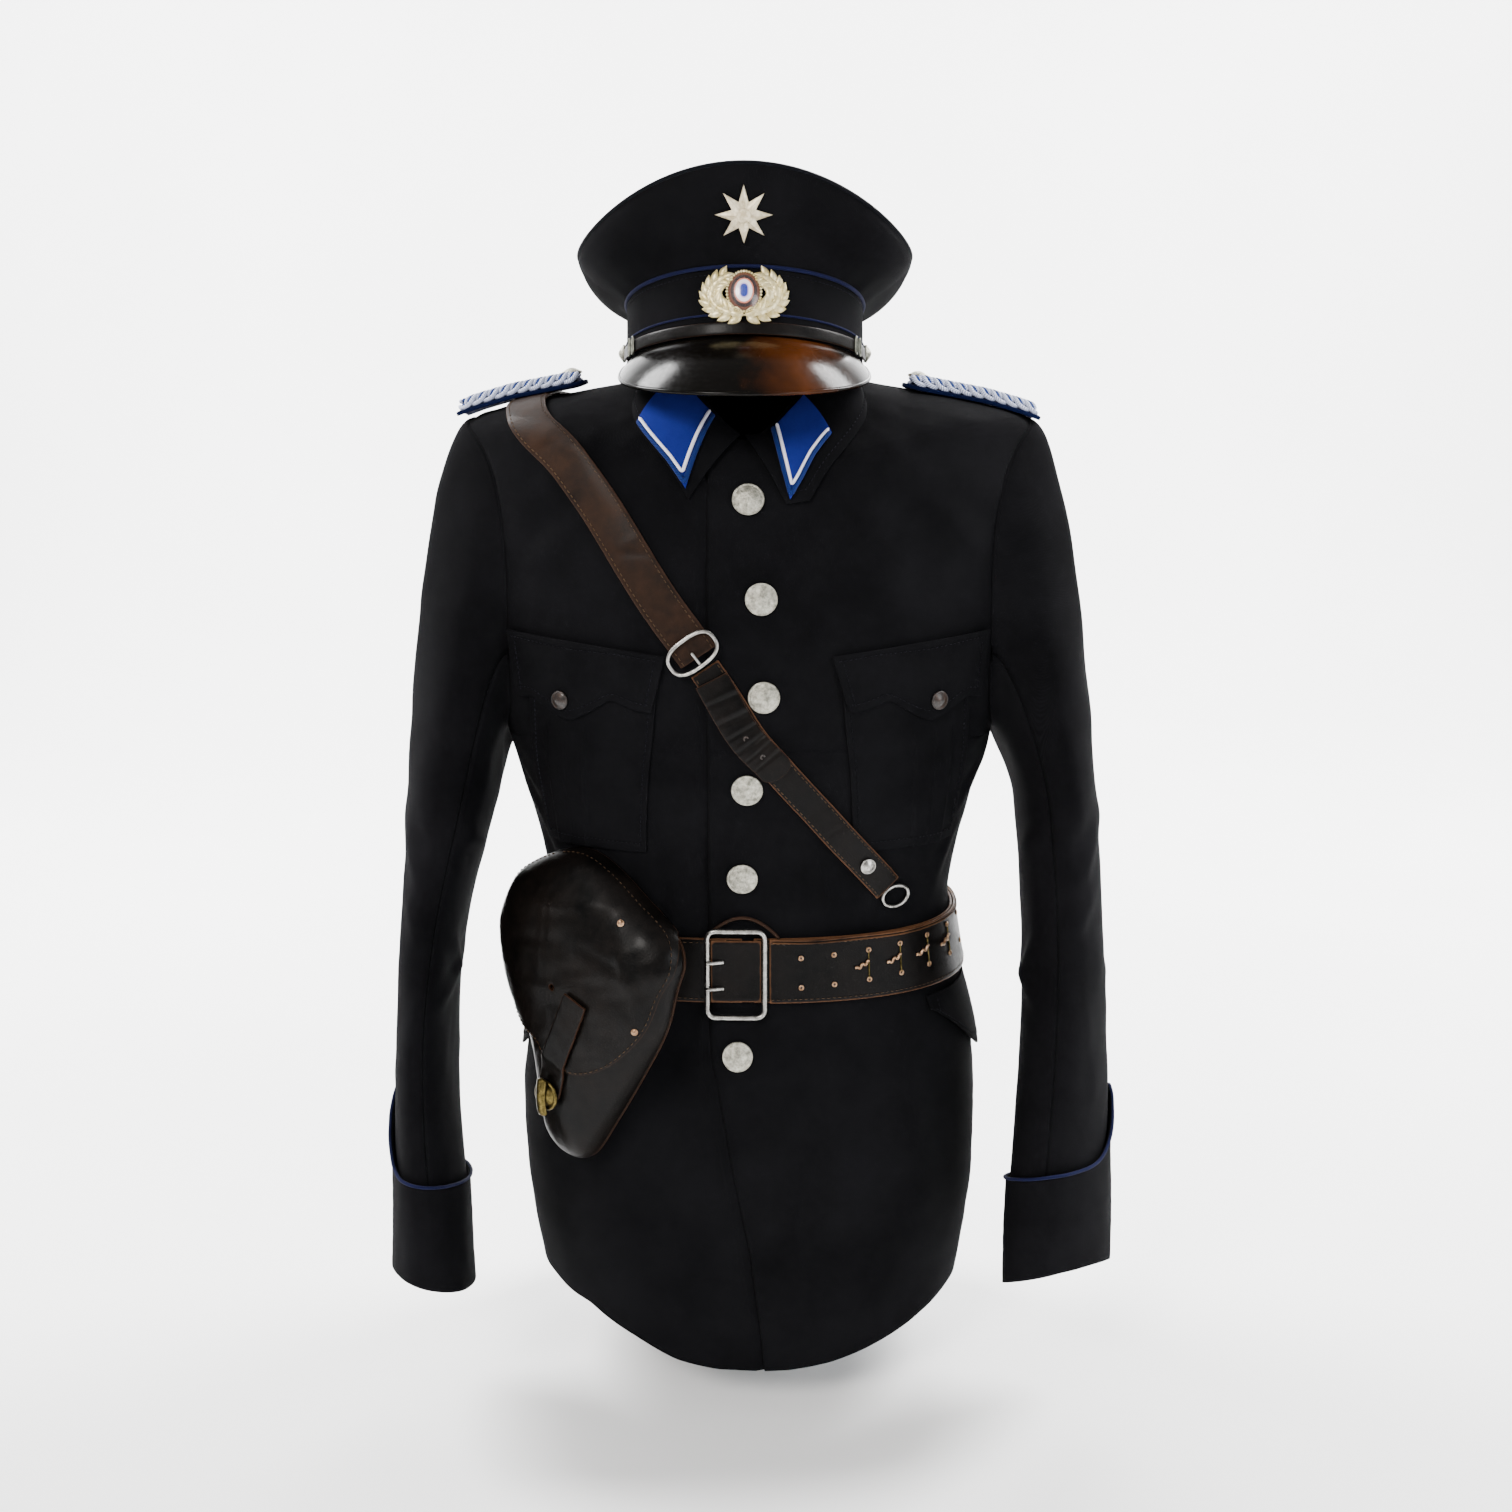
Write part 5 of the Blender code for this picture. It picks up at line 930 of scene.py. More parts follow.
def make_sleeves():
    """Both sleeves, each a top and an under sleeve between two seams, with a rolled armhole seam."""
    rings = np.concatenate([steps(-1.0, 0.0, 37)[:-1], steps(0.0, ARM_END, 92)])
    first, last = 2 * LOOP_COUNT // 6, 4 * LOOP_COUNT // 6
    made = {}
    for side, mark in ((1, "left"), (-1, "right")):
        table = LEFT_CREASES if side > 0 else RIGHT_CREASES
        for name, low, high, count in (("under", first, last, 34), ("top", last, first + LOOP_COUNT, 66)):
            gap = 0.055
            grid = sleeve(side, steps(low + gap, high - gap, count), rings)
            grid = grid if side > 0 else grid[:, ::-1]
            heights = crease_heights(grid, lambda a, l: arm(side, a, l), table)
            heights = heights + ripple(grid, 0.09, 0.0010, 11 if side > 0 else 13)
            free = np.minimum((rings + 1.0) / 0.15, (ARM_END - 1.6 - rings) / 0.5).clip(0, 1)[:, None]
            seam = 1 - np.exp(-(np.arange(count) / 1.4) ** 2) - np.exp(-((count
                                                                          - 1 - np.arange(count)) / 1.4) ** 2)
            heights = heights * (0.08 + 0.92 * free) * seam.clip(0, 1)[None, :]
            roll = 0.0007 * (np.exp(-(np.arange(count) / 1.0) ** 2)
                             + np.exp(-((count - 1 - np.arange(count)) / 1.0) ** 2))[None, :]
            grid = lay(grid, heights - roll)
            piece = make(f"{name}_sleeve_{mark}_cloth", NAVY_WOOL, grid, wall=CLOTH, inner=NAVY_LINING,
                         replaces=[f"{name}_sleeve_{mark}"])
            made[name, mark] = (piece, grid)
            facing = across_grid(grid)[0]
            make(f"{name}_armhole_seam_{mark}", NAVY_WOOL,
                 rounded_tube(grid[0] - 0.0016 * facing, facing, 0.0019, 8),
                 closed=True)
        for name, other in (("top", "under"), ("under", "top")):
            piece, grid = made[name, mark]
            cloth_facts(piece, grid)


make_sleeves()

# %% [markdown]
# The cuff is a second layer turned up over the sleeve's end. Its upper edge rises to a point on
# the outer side and carries a dark blue piping, which is a cord sewn into the edge.

# %% Cuffs
def cuff_rise(angle):
    """Levels that the cuff stands above the sleeve's end, with a bell-shaped peak outside."""
    off = (np.asarray(angle) + 180.0) % 360.0 - 180.0
    return 0.95 + 0.74 * np.exp(-(off / 36.0) ** 2)


def make_cuffs():
    """Each cuff is a closed band moved off the arm, with a cord along its upper edge."""
    for side, mark in ((1, "left"), (-1, "right")):
        angle = side * steps(0.0, 360.0, 121)[:-1]
        bottom = arm_end(side, angle)
        top = bottom - cuff_rise(angle)
        share = steps(0.0, 1.0, 30)[:, None]
        levels = top + (bottom - top) * share
        skin = lambda a, l: arm(side, a, l)
        lift = REST + CLOTH + 0.0006 * np.exp(-(share / 0.05) ** 2)
        grid = skin(angle, levels) + lift[..., None] * side * facing_out(skin, angle + 0 * levels,
                                                                         levels) * side
        grid = grid if side > 0 else grid[:, ::-1]
        grid = lay(grid, ripple(grid, 0.05, 0.0005, 17), closed=True)
        cuff = make(f"cuff_{mark}_cloth", NAVY_WOOL, grid, closed=True, wall=CLOTH, inner=NAVY_LINING,
                    replaces=[f"cuff_{mark}"])
        cloth_facts(cuff, grid,
                    closed=True)
        normal = across_grid(grid, closed=True)
        ring = grid[0] + 0.0004 * normal[0] + np.array([0.0, 0.0, 0.0006])
        make(f"cuff_{mark}_piping", PIPING, tube(ring, normal[0], 0.0014, 8, closed=True), closed=True)


make_cuffs()
print("cuffs and sleeves use", sum(v for k, v in triangles_used.items() if "sleeve" in k or "cuff" in k))

# %% [markdown]
# ## Collar
# A stand-and-fall collar is two pieces: a stand sewn upright into the neckline and a fall that
# turns over it. The fall here is ruled from its free edge, which lies on the body, up to the fold
# round the neck, and swells a little between them.

# %% The fall's surface
FALL_EDGE = ((12.0, 14.62), (22.0, 14.62), (31.0, 15.9), (43.0, 17.2), (60.0, 18.75), (75.0, 19.35),
             (90.0, 19.6), (135.0, 19.3), (180.0, 19.1))
FALL_TIP, THROAT = (13.5, 22.0), (-2.5, 4.5)
FOLD_RISE = ((5.0, 0.004), (20.0, 0.018), (40.0, 0.031), (90.0, 0.037), (180.0, 0.040))


def fall(column, level):
    """(1 - t) * edge on the body + t * fold at the neck + swell * 4t(1 - t), side by sign of column."""
    column, level = arrays(column, level)
    share = np.abs(column)
    side = np.where(column < 0, -1.0, 1.0)
    tip = np.where(column < 0, FALL_TIP[1], FALL_TIP[0])
    throat = np.where(column < 0, THROAT[1], THROAT[0])
    low_angle = tip + (180.0 - tip) * share
    high_angle = throat + (180.0 - throat) * share ** 0.85
    low = off_skin(tunic, side * low_angle, table_value(FALL_EDGE, low_angle), CLOTH + 0.6 * REST)
    neck = tunic(side * high_angle, NECK_LEVEL) * np.array([0.97, 0.97, 1.0])
    high = neck + np.stack([0 * side, 0 * side, table_value(FOLD_RISE, high_angle)], -1)
    away = high * np.array([1.0, 1.0, 0.0])
    away = unit(away)
    high = high + 0.0035 * away
    t = level[..., None]
    return low * (1 - t) + high * t + 0.022 * t * (1 - t) * (away + np.array([0.0, 0.0, 0.8])) / 1.28


def make_collar():
    """The fall, the stand inside it, and a line of stitches near the fall's edge."""
    left = np.maximum(steps(0.0, 1.0, 86) ** 1.2, 1e-6)
    columns = np.concatenate([left, -left[-2::-1]])
    grid = fall(columns[None, :], steps(0.0, 1.0, 26)[:, None])
    grid = lay(grid, ripple(grid, 0.06, 0.0004, 21))
    collar = make("collar_fall_cloth", NAVY_WOOL, grid, wall=CLOTH, rim=0.0005, replaces=["collar_fall"])
    cloth_facts(collar, grid)
    seam_line = grid[3, 4:-4]
    make("collar_stitches", DARK_THREAD, stitches(seam_line, across_grid(grid)[3, 4:-4]))
    angle = steps(7.0, 350.0, 121)
    half = np.minimum(angle, 360.0 - angle)
    neck = tunic(angle, NECK_LEVEL)
    rise = table_value(FOLD_RISE, half)
    low = neck * np.array([0.98, 0.98, 1.0]) + np.array([0.0, 0.0, 0.0012])
    high = neck * np.array([0.965, 0.965, 1.0]) + np.stack([0 * rise, 0 * rise, rise - 0.0015], -1)
    share = steps(0.0, 1.0, 9)[:, None, None]
    stand = low * (1 - share) + high * share
    piece = make("collar_stand_cloth", NAVY_WOOL, stand, wall=CLOTH, inner=NAVY_LINING,
                 replaces=["collar_stand"])
    cloth_facts(piece, stand)


make_collar()

# %% [markdown]
# The blue tabs are patches of fine cloth on the collar points. A white cord runs down their front
# edge and along the lower one, with a blue cord outside it, so the two make a pointed V.

# %% Collar tabs
TAB_LOW, TAB_HIGH, TAB_WALL = 0.035, 0.93, 0.0012
TAB_BACK = (0.125, 0.150)
TAB_LIFT = ((0.012, 0.0), (0.030, 0.10), (0.051, 0.20), (0.080, 0.235), (0.105, 0.24), (0.130, 0.24))


def tab_front(level):
    """Column of the tab's front edge at a level of the fall."""
    return 0.010 + 0.035 * level


def tab_low(column, side):
    """Level of the tab's lower edge, raised behind the point where the fall is cut square."""
    return TAB_LOW + (table_value(TAB_LIFT, column) if side > 0 else 0.0 * column)


def tab_line(side, inset, back):
    """Round the V: along the lower edge, round the point, up the front edge, `inset` metres in."""
    in_column, in_level = inset * 2.4, inset * 13.0
    low = TAB_LOW + in_level
    turn = steps(0.0, 1.0, 9)
    corner = 0.9 * in_level
    columns = np.concatenate([steps(back - 0.001, tab_front(low) + in_column + 0.008, 26), 0 * turn,
                              tab_front(steps(low + 0.05, TAB_HIGH, 34)) + in_column])
    levels = np.concatenate([np.full(26, low), 0 * turn, steps(low + 0.05, TAB_HIGH, 34)])
    a = np.array([columns[25], low])
    b = np.array([tab_front(low) + in_column, low])
    c = np.array([columns[-34], low + 0.05])
    bend = ((1 - turn) ** 2)[:, None] * a + (2 * turn * (1 - turn))[:, None] * b + (turn ** 2)[:, None] * c
    columns[26:35], levels[26:35] = bend[:, 0], bend[:, 1]
    levels = levels + (tab_low(columns, side) - TAB_LOW) * np.clip((TAB_HIGH - levels) / (TAB_HIGH - low),
                                                                   0, 1)
    return side * columns, levels


def make_tabs():
    """Each tab is a grid on the fall between its front and back edges, with two cords on it."""
    for side, mark in ((1, "left"), (-1, "right")):
        back_column = TAB_BACK[0] if side > 0 else TAB_BACK[1]
        levels = steps(TAB_LOW, TAB_HIGH, 34)
        columns = tab_front(levels)[:, None] + (back_column - tab_front(levels))[:, None] * steps(0, 1,
                                                                                                  30)[None, :]
        rise = (levels[:, None] - TAB_LOW) / (TAB_HIGH - TAB_LOW)
        rows = tab_low(columns, side) * (1 - rise) + TAB_HIGH * rise
        grid = off_skin(fall, side * columns, rows, REST + TAB_WALL, 0.002)
        grid = grid if side > 0 else grid[:, ::-1]
        tab = make(f"collar_tab_{mark}_cloth", BLUE_WOOL, grid, wall=TAB_WALL, rim=0.0003,
                   replaces=[f"collar_tab_{mark}"])
        cloth_facts(tab, grid)
        for name, finish, inset, radius in (("white", WHITE_CORD, 0.0052, 0.0014),
                                            ("blue", BLUE_CORD, 0.0016, 0.0019)):
            a, l = tab_line(side, inset, back_column)
            line = off_skin(fall, a, l, REST + TAB_WALL + 0.0005, 0.002)
            make(f"collar_{name}_cord_{mark}", finish,
                 rounded_tube(line, facing_out(fall, a, l, 0.002) * side, radius),
                 closed=True)


make_tabs()

# %% [markdown]
# ## Pockets
# The breast pockets are patches with a box pleat, which is a fold that stands up in the middle,
# under a flap cut in a scalloped line. The hip pockets show only as plain flaps. All of them are
# thin cloth on the body's skin, pressed flat, with stitches 4 mm in from their edges.

# %% Patches and flaps
PATCH = 0.0016
FLAP_TOP = ((0.0, 11.85), (1.0, 12.1))
FLAP_LOW = ((0.0, 11.22), (0.12, 11.24), (0.3, 11.36), (0.5, 11.14), (0.6, 11.05), (0.7, 11.14),
            (0.86, 11.34), (1.0, 11.30))
FLAP_SPAN = {1: (25.0, 30.0, 66.0, 65.5), -1: (25.5, 29.5, 67.0, 66.0)}
HIP_LOW = ((0.0, 4.95), (0.35, 4.05), (0.5, 3.84), (0.7, 3.80), (1.0, 3.86))


def softened(stops, at, width=0.05):
    """A table of straight lines with its corners rounded: the mean of seven nearby readings."""
    return np.mean([table_value(stops, np.clip(at + width * k, 0, 1)) for k in steps(-1, 1, 7)], axis=0)


def patch(name, side, angles, levels, out, replaces):
    """A flat piece of cloth laid `out` above the body, turned in at its rim."""
    grid = off_skin(tunic, side * angles, levels, out)
    grid = grid if side > 0 else grid[:, ::-1]
    grid = lay(grid, ripple(grid, 0.03, 0.0002, 31))
    piece = make(name, NAVY_WOOL, grid, wall=PATCH, rim=0.0005, replaces=replaces)
    cloth_facts(piece, grid)
    return grid


def seam_stitches(name, grid, lines):
    """Stitches along rows or columns of a grid; a line is ('row' or 'column', number)."""
    normal = across_grid(grid)
    made = []
    for kind, number in lines:
        line = grid[number, 2:-2] if kind == "row" else grid[2:-2, number]
        way = normal[number, 2:-2] if kind == "row" else normal[2:-2, number]
        made.append(stitches(line, way))
    make(name, DARK_THREAD, made)


def make_pockets():
    """Breast pockets with a box pleat, scalloped breast flaps and plain hip flaps."""
    for side, mark in ((1, "left"), (-1, "right")):
        levels = steps(8.35, 11.6, 56)[:, None]
        share = steps(0.0, 1.0, 80)[None, :]
        angles = 31.0 + 34.0 * share - 2.2 * (levels - 10.2)
        place = 31.0 + 34.0 * share
        fold = (np.tanh((place - 49.0) / 0.28) - np.tanh((place - 59.5) / 0.28)) / 2
        groove = np.exp(-((place - 54.3) / 0.5) ** 2)
        pressed = 1 / (1 + np.exp((levels - 10.9) / 0.05))
        out = REST + PATCH + (0.0016 * fold - 0.0005 * groove) * pressed
        grid = patch(f"breast_pocket_{mark}_cloth", side, angles, levels + 0 * angles, out,
                     [f"breast_pocket_{mark}"])
        seam_stitches(f"breast_pocket_{mark}_stitches", grid, (("row", 3), ("column", 4), ("column", -5)))
        low_in, low_out = FLAP_SPAN[side][1], FLAP_SPAN[side][3]
        top_in, top_out = FLAP_SPAN[side][0], FLAP_SPAN[side][2]
        share = steps(0.0, 1.0, 70)[None, :]
        down_share = steps(1.0, 0.0, 22)[:, None]
        top_angles, low_angles = top_in + (top_out - top_in) * share, low_in + (low_out - low_in) * share
        angles = top_angles * (1 - down_share) + low_angles * down_share
        levels = softened(FLAP_TOP, share) * (1 - down_share) + softened(FLAP_LOW, share,
                                                                         0.035) * down_share
        lift = REST + 2 * PATCH + 0.0006 + 0.0009 * down_share ** 3 * (1 + 0.6 * np.cos(9 * share))
        grid = patch(f"breast_flap_{mark}_cloth", side, angles, levels, lift, [f"breast_flap_{mark}"])
        seam_stitches(f"breast_flap_{mark}_stitches", grid,
                      (("row", 3), ("row", -3), ("column", 4), ("column", -5)))
        share = steps(0.0, 1.0, 56)[None, :]
        down_share = steps(1.0, 0.0, 20)[:, None]
        angles = 60.0 + 43.0 * share + 0 * down_share
        levels = 5.16 * (1 - down_share) + softened(HIP_LOW, share, 0.06) * down_share
        lift = REST + PATCH + 0.003 * down_share
        grid = patch(f"hip_flap_{mark}_cloth", side, angles, levels, lift, [f"hip_flap_{mark}"])
        seam_stitches(f"hip_flap_{mark}_stitches", grid, (("row", 2), ("column", 4), ("column", -5)))


make_pockets()
print("cloth so far", sum(triangles_used.values()), "triangles")

# %% [markdown]
# ## Buttons
# The buttons are pressed from thin alloy: a rolled rim, a shallow groove and a low dome with a
# pebbled face. Such a shape is a profile turned about its own axis. The real ones may carry a
# stamped design; these stay plain.

# %% Turned pieces
def turned(profile, place, facing, count=40):
    """Rings of a profile of (radius, height), listed from the back over the rim to the middle."""
    profile = np.array(profile, float)
    facing = unit(np.array(facing, float))
    side = np.cross([0.0, 0.0, 1.0] if abs(facing[2]) < 0.9 else [0.0, 1.0, 0.0], facing)
    side = unit(side)
    other = np.cross(facing, side)
    turn = steps(0, 2 * np.pi, count + 1)[:-1]
    ring = np.cos(turn)[:, None] * side + np.sin(turn)[:, None] * other
    return np.array(place) + profile[:, 0, None, None] * ring[None] + profile[:, 1, None, None] * facing


def button_profile(radius, height):
    """Back, rolled rim, groove, then a dome: height - drop * (r / radius)^2."""
    rim = [(0.0, 0.0), (0.55, 0.0), (0.90, 0.02), (0.97, 0.12), (1.0, 0.26), (0.985, 0.40), (0.94, 0.47),
           (0.90, 0.44), (0.87, 0.42)]
    dome = [(r, 0.46 + 0.54 * math.cos(math.pi / 2 * r / 0.86)) for r in (0.84, 0.78, 0.68, 0.55, 0.40,
                                                                          0.24, 0.10, 0.0005)]
    return [(r * radius, h * height) for r, h in rim + dome]


def sew_on(name, finish, skin, angle, level, lift, radius, height, replaces, count=40):
    """A turned button on a skin."""
    place = off_skin(skin, angle, level, lift)
    facing = facing_out(skin, np.array(float(angle)), np.array(float(level)))
    return make(name, finish, turned(button_profile(radius, height), place, facing, count), closed=True,
                replaces=replaces)


FRONT_BUTTONS = ((-0.001, 14.88), (0.009, 12.62), (0.011, 11.40), (-0.002, 9.62), (-0.006, 7.90),
                 (-0.010, 4.38))
for number, (x, level) in enumerate(FRONT_BUTTONS, 1):
    sew_on(f"front_button_{number}_pressed", ALLOY, tunic, front_angle(x, level), level, 0.0005, 0.0125,
           0.0052,
           [f"front_button_{number}"])
for side, mark in ((1, "left"), (-1, "right")):
    sew_on(f"flap_button_{mark}_horn", HORN, tunic, side * 53.0, 11.32, REST + 2 * PATCH + 0.0017, 0.0075,
           0.0035,
           [f"flap_button_{mark}"], 32)
print("front buttons at x", [x for x, _ in FRONT_BUTTONS])

# %% [markdown]
# ## Waist belt
# The belt is wide black leather with the brown core showing along its edges. Its outer end lies
# over the inner band from the buckle round to the left side and is punched with eyelets. Each
# layer is a long grid round the waist with a real leather wall and a softened rim.

# %% Leather on a skin
BELT_WALL, LAYER, STRAP_WALL = 0.0022, 0.0006, 0.0026


def belt_strip(start, end, out, count, rows=17):
    """Belt leather between two angles, with the slight dish that leather takes across its width."""
    angles = steps(start, end, count)[None, :]
    across = steps(-1.0, 1.0, rows)[:, None]
    levels = (BELT_LOW_LEVEL + BELT_HIGH_LEVEL) / 2 + (BELT_HIGH_LEVEL - BELT_LOW_LEVEL) / 2 * across
    return off_skin(tunic, angles, levels + 0 * angles, out - 0.0005 * across ** 4 + 0 * angles)


def edge_stitches(name, grid, rows, finish=TAN_THREAD):
    """Stitches sunk along rows of a leather grid."""
    normal = across_grid(grid)
    make(name, finish, [stitches(grid[row] - 0.00005 * normal[row], normal[row], 0.0034, 0.0012, 0.0004)
                        for row in rows])


def make_belt():
    """The inner band, its outer end, and two rows of stitches on each."""
    inner = REST + BELT_WALL
    band_grid = belt_strip(1.5, 357.0, inner, 420)
    make("belt_band_leather", BLACK_LEATHER, band_grid, wall=BELT_WALL, rim=0.0006, replaces=["belt_band"])
    edge_stitches("belt_band_stitches", band_grid, (1, -2))
    outer = inner + LAYER + BELT_WALL
    end_grid = belt_strip(7.6, 111.0, outer, 150)
    make("belt_tongue_leather", BLACK_LEATHER, end_grid, wall=BELT_WALL, rim=0.0006,
         replaces=["belt_tongue"])
    edge_stitches("belt_tongue_stitches", end_grid, (1, -2))
    return inner, outer


belt_inner, belt_outer = make_belt()

# %% [markdown]
# The buckle is a plated wire frame with two prongs. It is drawn as a rounded rectangle on the
# waist, through straight runs and quarter turns, and the wire is a tube round that line.

# %% Buckle, prongs, eyelets and hooks
def on_belt(x, level, out):
    """Points in front of the waist from a distance across, a level and a height above it."""
    angle = front_angle(x, level)
    return off_skin(tunic, angle, level, out), facing_out(tunic, angle, np.asarray(level, float))


def rounded_frame(left, right, low, high, corner, per_metre=0.040, count=10):
    """A rounded rectangle in (x, level): four quarter turns and the straight runs between them."""
    parts = []
    for cx, cl, begin in ((right, high, 0.0), (left, high, 90.0), (left, low, 180.0), (right, low, 270.0)):
        turn = np.radians(begin + steps(0.0, 90.0, count))
        sx, sl = (-1.0 if cx == right else 1.0), (-1.0 if cl == high else 1.0)
        parts.append(np.stack([cx + corner * (sx + np.cos(turn)),
                               cl + corner / per_metre * (sl + np.sin(turn))], -1))
    line = np.concatenate(parts)
    step = np.linalg.norm((np.roll(line, -1, 0) - line) * np.array([1.0, per_metre]), axis=1)
    walk = np.concatenate([[0.0], np.cumsum(step)])
    ring = np.concatenate([line, line[:1]])
    at = steps(0.0, walk[-1], 97)[:-1]
    return np.stack([np.interp(at, walk, ring[:, k]) for k in (0, 1)], -1)


def make_buckle():
    """Wire frame, the leather seen inside it, and two prongs that rise over its outer side."""
    lift = belt_inner + LAYER + 0.0022
    frame_line = rounded_frame(-0.034, 0.012, 5.08, 6.92, 0.0062)
    line, facing = on_belt(frame_line[:, 0], frame_line[:, 1], lift)
    make("belt_buckle_frame", NICKEL, tube(line, facing, 0.0021, 12, closed=True), closed=True,
         replaces=["belt_buckle"])
    x = steps(-0.0312, 0.0092, 40)[None, :]
    levels = steps(BELT_LOW_LEVEL + 0.03, BELT_HIGH_LEVEL - 0.03, 15)[:, None]
    inside = on_belt(x, levels, belt_inner + LAYER + 0.0012)[0]
    make("belt_through_buckle_leather", BLACK_LEATHER, inside, wall=0.0016, rim=0.0005)
    for number, level in enumerate((5.68, 6.25), 1):
        x = steps(-0.0205, -0.0352, 24)
        rise = belt_inner + LAYER + 0.0008 + 0.0042 * np.sin(np.pi / 2 * steps(0, 1, 24)) ** 1.2
        line, facing = on_belt(x, np.full(24, level), rise)
        make(f"belt_prong_{number}_steel", NICKEL,
             rounded_tube(line, facing, 0.0017 - 0.0003 * steps(0, 1, 24), 10),
             closed=True, replaces=[f"belt_prong_{number}"])


EYELET_LEVELS = np.array([5.70, 6.34])
EYELET_ANGLES = (19.2, 30.6, 41.8, 51.8, 61.2, 70.6, 80.0)


def eyelet_levels(angle):
    """Levels of a pair of eyelets; the rows climb a little towards the belt's end."""
    return EYELET_LEVELS + 0.0036 * (angle - EYELET_ANGLES[0])


def make_eyelets():
    """Pressed rings in two rows, each with a dark hole, and hooks and links at the middle pairs."""
    ring = [(0.0008, -0.0004), (0.0023, 0.0), (0.0024, 0.0007), (0.0018, 0.0012), (0.0010, 0.0008),
            (0.0008, -0.0004)]
    rings, holes = [], []
    for angle in EYELET_ANGLES:
        for level in eyelet_levels(angle):
            place = off_skin(tunic, angle, level, belt_outer)
            facing = facing_out(tunic, np.array(angle), np.array(level))
            rings.append(turned(ring, place, facing, 18))
            holes.append(turned([(0.0011, 0.00015), (0.0001, 0.00018)], place, facing, 18))
    make("belt_eyelets", COPPERY, np.stack(rings), closed=True)
    make("belt_eyelet_holes", HORN, np.stack(holes), closed=True)
    hooks, links = [], []
    t = steps(0.0, 1.0, 28)
    for angle in EYELET_ANGLES[2:6]:
        low, high = eyelet_levels(angle)
        a = angle - 4.4 + 4.6 * t
        l = (low + high) / 2 - 0.07 + 0.15 * t + 0.03 * np.sin(t * 5 * np.pi)
        line = off_skin(tunic, a, l, belt_outer + 0.0012)
        hooks.append(rounded_tube(line, facing_out(tunic, a, l), 0.0013, 7))
        l = low + (high - low) * t
        line = off_skin(tunic, angle + 0 * t, l, belt_outer + 0.0006)
        links.append(rounded_tube(line, facing_out(tunic, angle + 0 * t, l), 0.0006, 7))
    make("belt_hooks", COPPERY, np.stack(hooks), closed=True)
    make("belt_hook_links", BRASS, np.stack(links), closed=True)


def make_belt_edges():
    """Three bare leather edges along the belt's top, and the loop that arches over the buckle."""
    for number, (begin, end, drop, out) in enumerate(((8.5, 110.0, 0.015, belt_outer), (8.5, 110.0, 0.075, belt_outer),
                                                      (-57.0, -9.0, 0.015, belt_inner)), 1):
        a = steps(begin, end, 160)
        l = BELT_HIGH_LEVEL - drop + 0.012 * np.sin(a / 5.0)
        line = off_skin(tunic, a, l, out + 0.0001)
        make(f"belt_edge_{number}", RAW_EDGE, rounded_tube(line, facing_out(tunic, a, l), 0.0007, 7),
             closed=True)
    t = steps(0.0, 1.0, 60)
    line, facing = on_belt(-0.036 + 0.060 * t, BELT_HIGH_LEVEL - 0.02 + 0.46 * np.sin(np.pi * t) ** 0.8,
                           belt_inner + 0.0004)
    make("belt_buckle_arch", BROWN_LEATHER, rounded_tube(line, facing, 0.0014, 8), closed=True)


make_buckle()
make_eyelets()
make_belt_edges()
print("belt, buckle and", 2 * len(EYELET_ANGLES), "eyelets")

# %% [markdown]
# ## Cross strap
# The strap comes over the right shoulder as matt brown leather, passes an oval buckle, and ends
# in a polished, creased tail that lies over a narrower black strap down to the belt. A strap is
# a ribbon: its centre is a smooth line on the body, and each edge is found by stepping sideways.

# %% Ribbons on a skin
def smooth_line(stops, count, metric=(0.0026, 0.045)):
    """Even samples of a smooth line through (angle, level) stops."""
    fine_path = between_levels(stops, steps(0, len(stops) - 1, 40 * len(stops)))
    run = np.linalg.norm(np.diff(fine_path * np.array(metric), axis=0), axis=1)
    walk = np.concatenate([[0.0], np.cumsum(run)])
    at = steps(0, walk[-1], count)
    return np.stack([np.interp(at, walk, fine_path[:, k]) for k in (0, 1)], -1)


def ribbon(skin, path, width, out, across=11):
    """Grid of a strap on a skin: at each share of the width, the nearest skin point moved out."""
    angle, level = path[:, 0], path[:, 1]
    facing = facing_out(skin, angle, level)
    run = np.gradient(skin(angle, level), axis=0)
    side = np.cross(facing, run)
    side = unit(side)
    lines = []
    for share in steps(-0.5, 0.5, across):
        a, l = on_skin(skin, skin(angle, level) + (share * width)[..., None] * side, angle, level)
        lines.append(off_skin(skin, a, l, out))
    return np.stack(lines)


def strap(name, finish, stops, count, width, out, replaces, creases=(), rise=None):
    """A leather ribbon with its own bent-in creases: (place along it, half length, depth)."""
    path = smooth_line(stops, count)
    share = steps(0.0, 1.0, count)
    width = np.broadcast_to(width, share.shape)
    lift = out + (table_value(rise, path[:, 0]) if rise else 0.0) + 0 * share
    grid = ribbon(tunic, path, width, lift)
    across = steps(-1.0, 1.0, len(grid))[:, None]
    dents = np.zeros(grid.shape[:2]) - 0.0004 * across ** 4
    for place, half, depth in creases:
        dents = dents - depth * np.exp(-((share[None, :] - place - 0.012 * across) / half) ** 2)
        dents = dents + 0.5 * depth * np.exp(-((share[None, :] - place - 1.9 * half) / half) ** 2)
    grid = lay(grid, dents)
    make(name, finish, grid, wall=STRAP_WALL, rim=0.0006, replaces=replaces)
    return grid


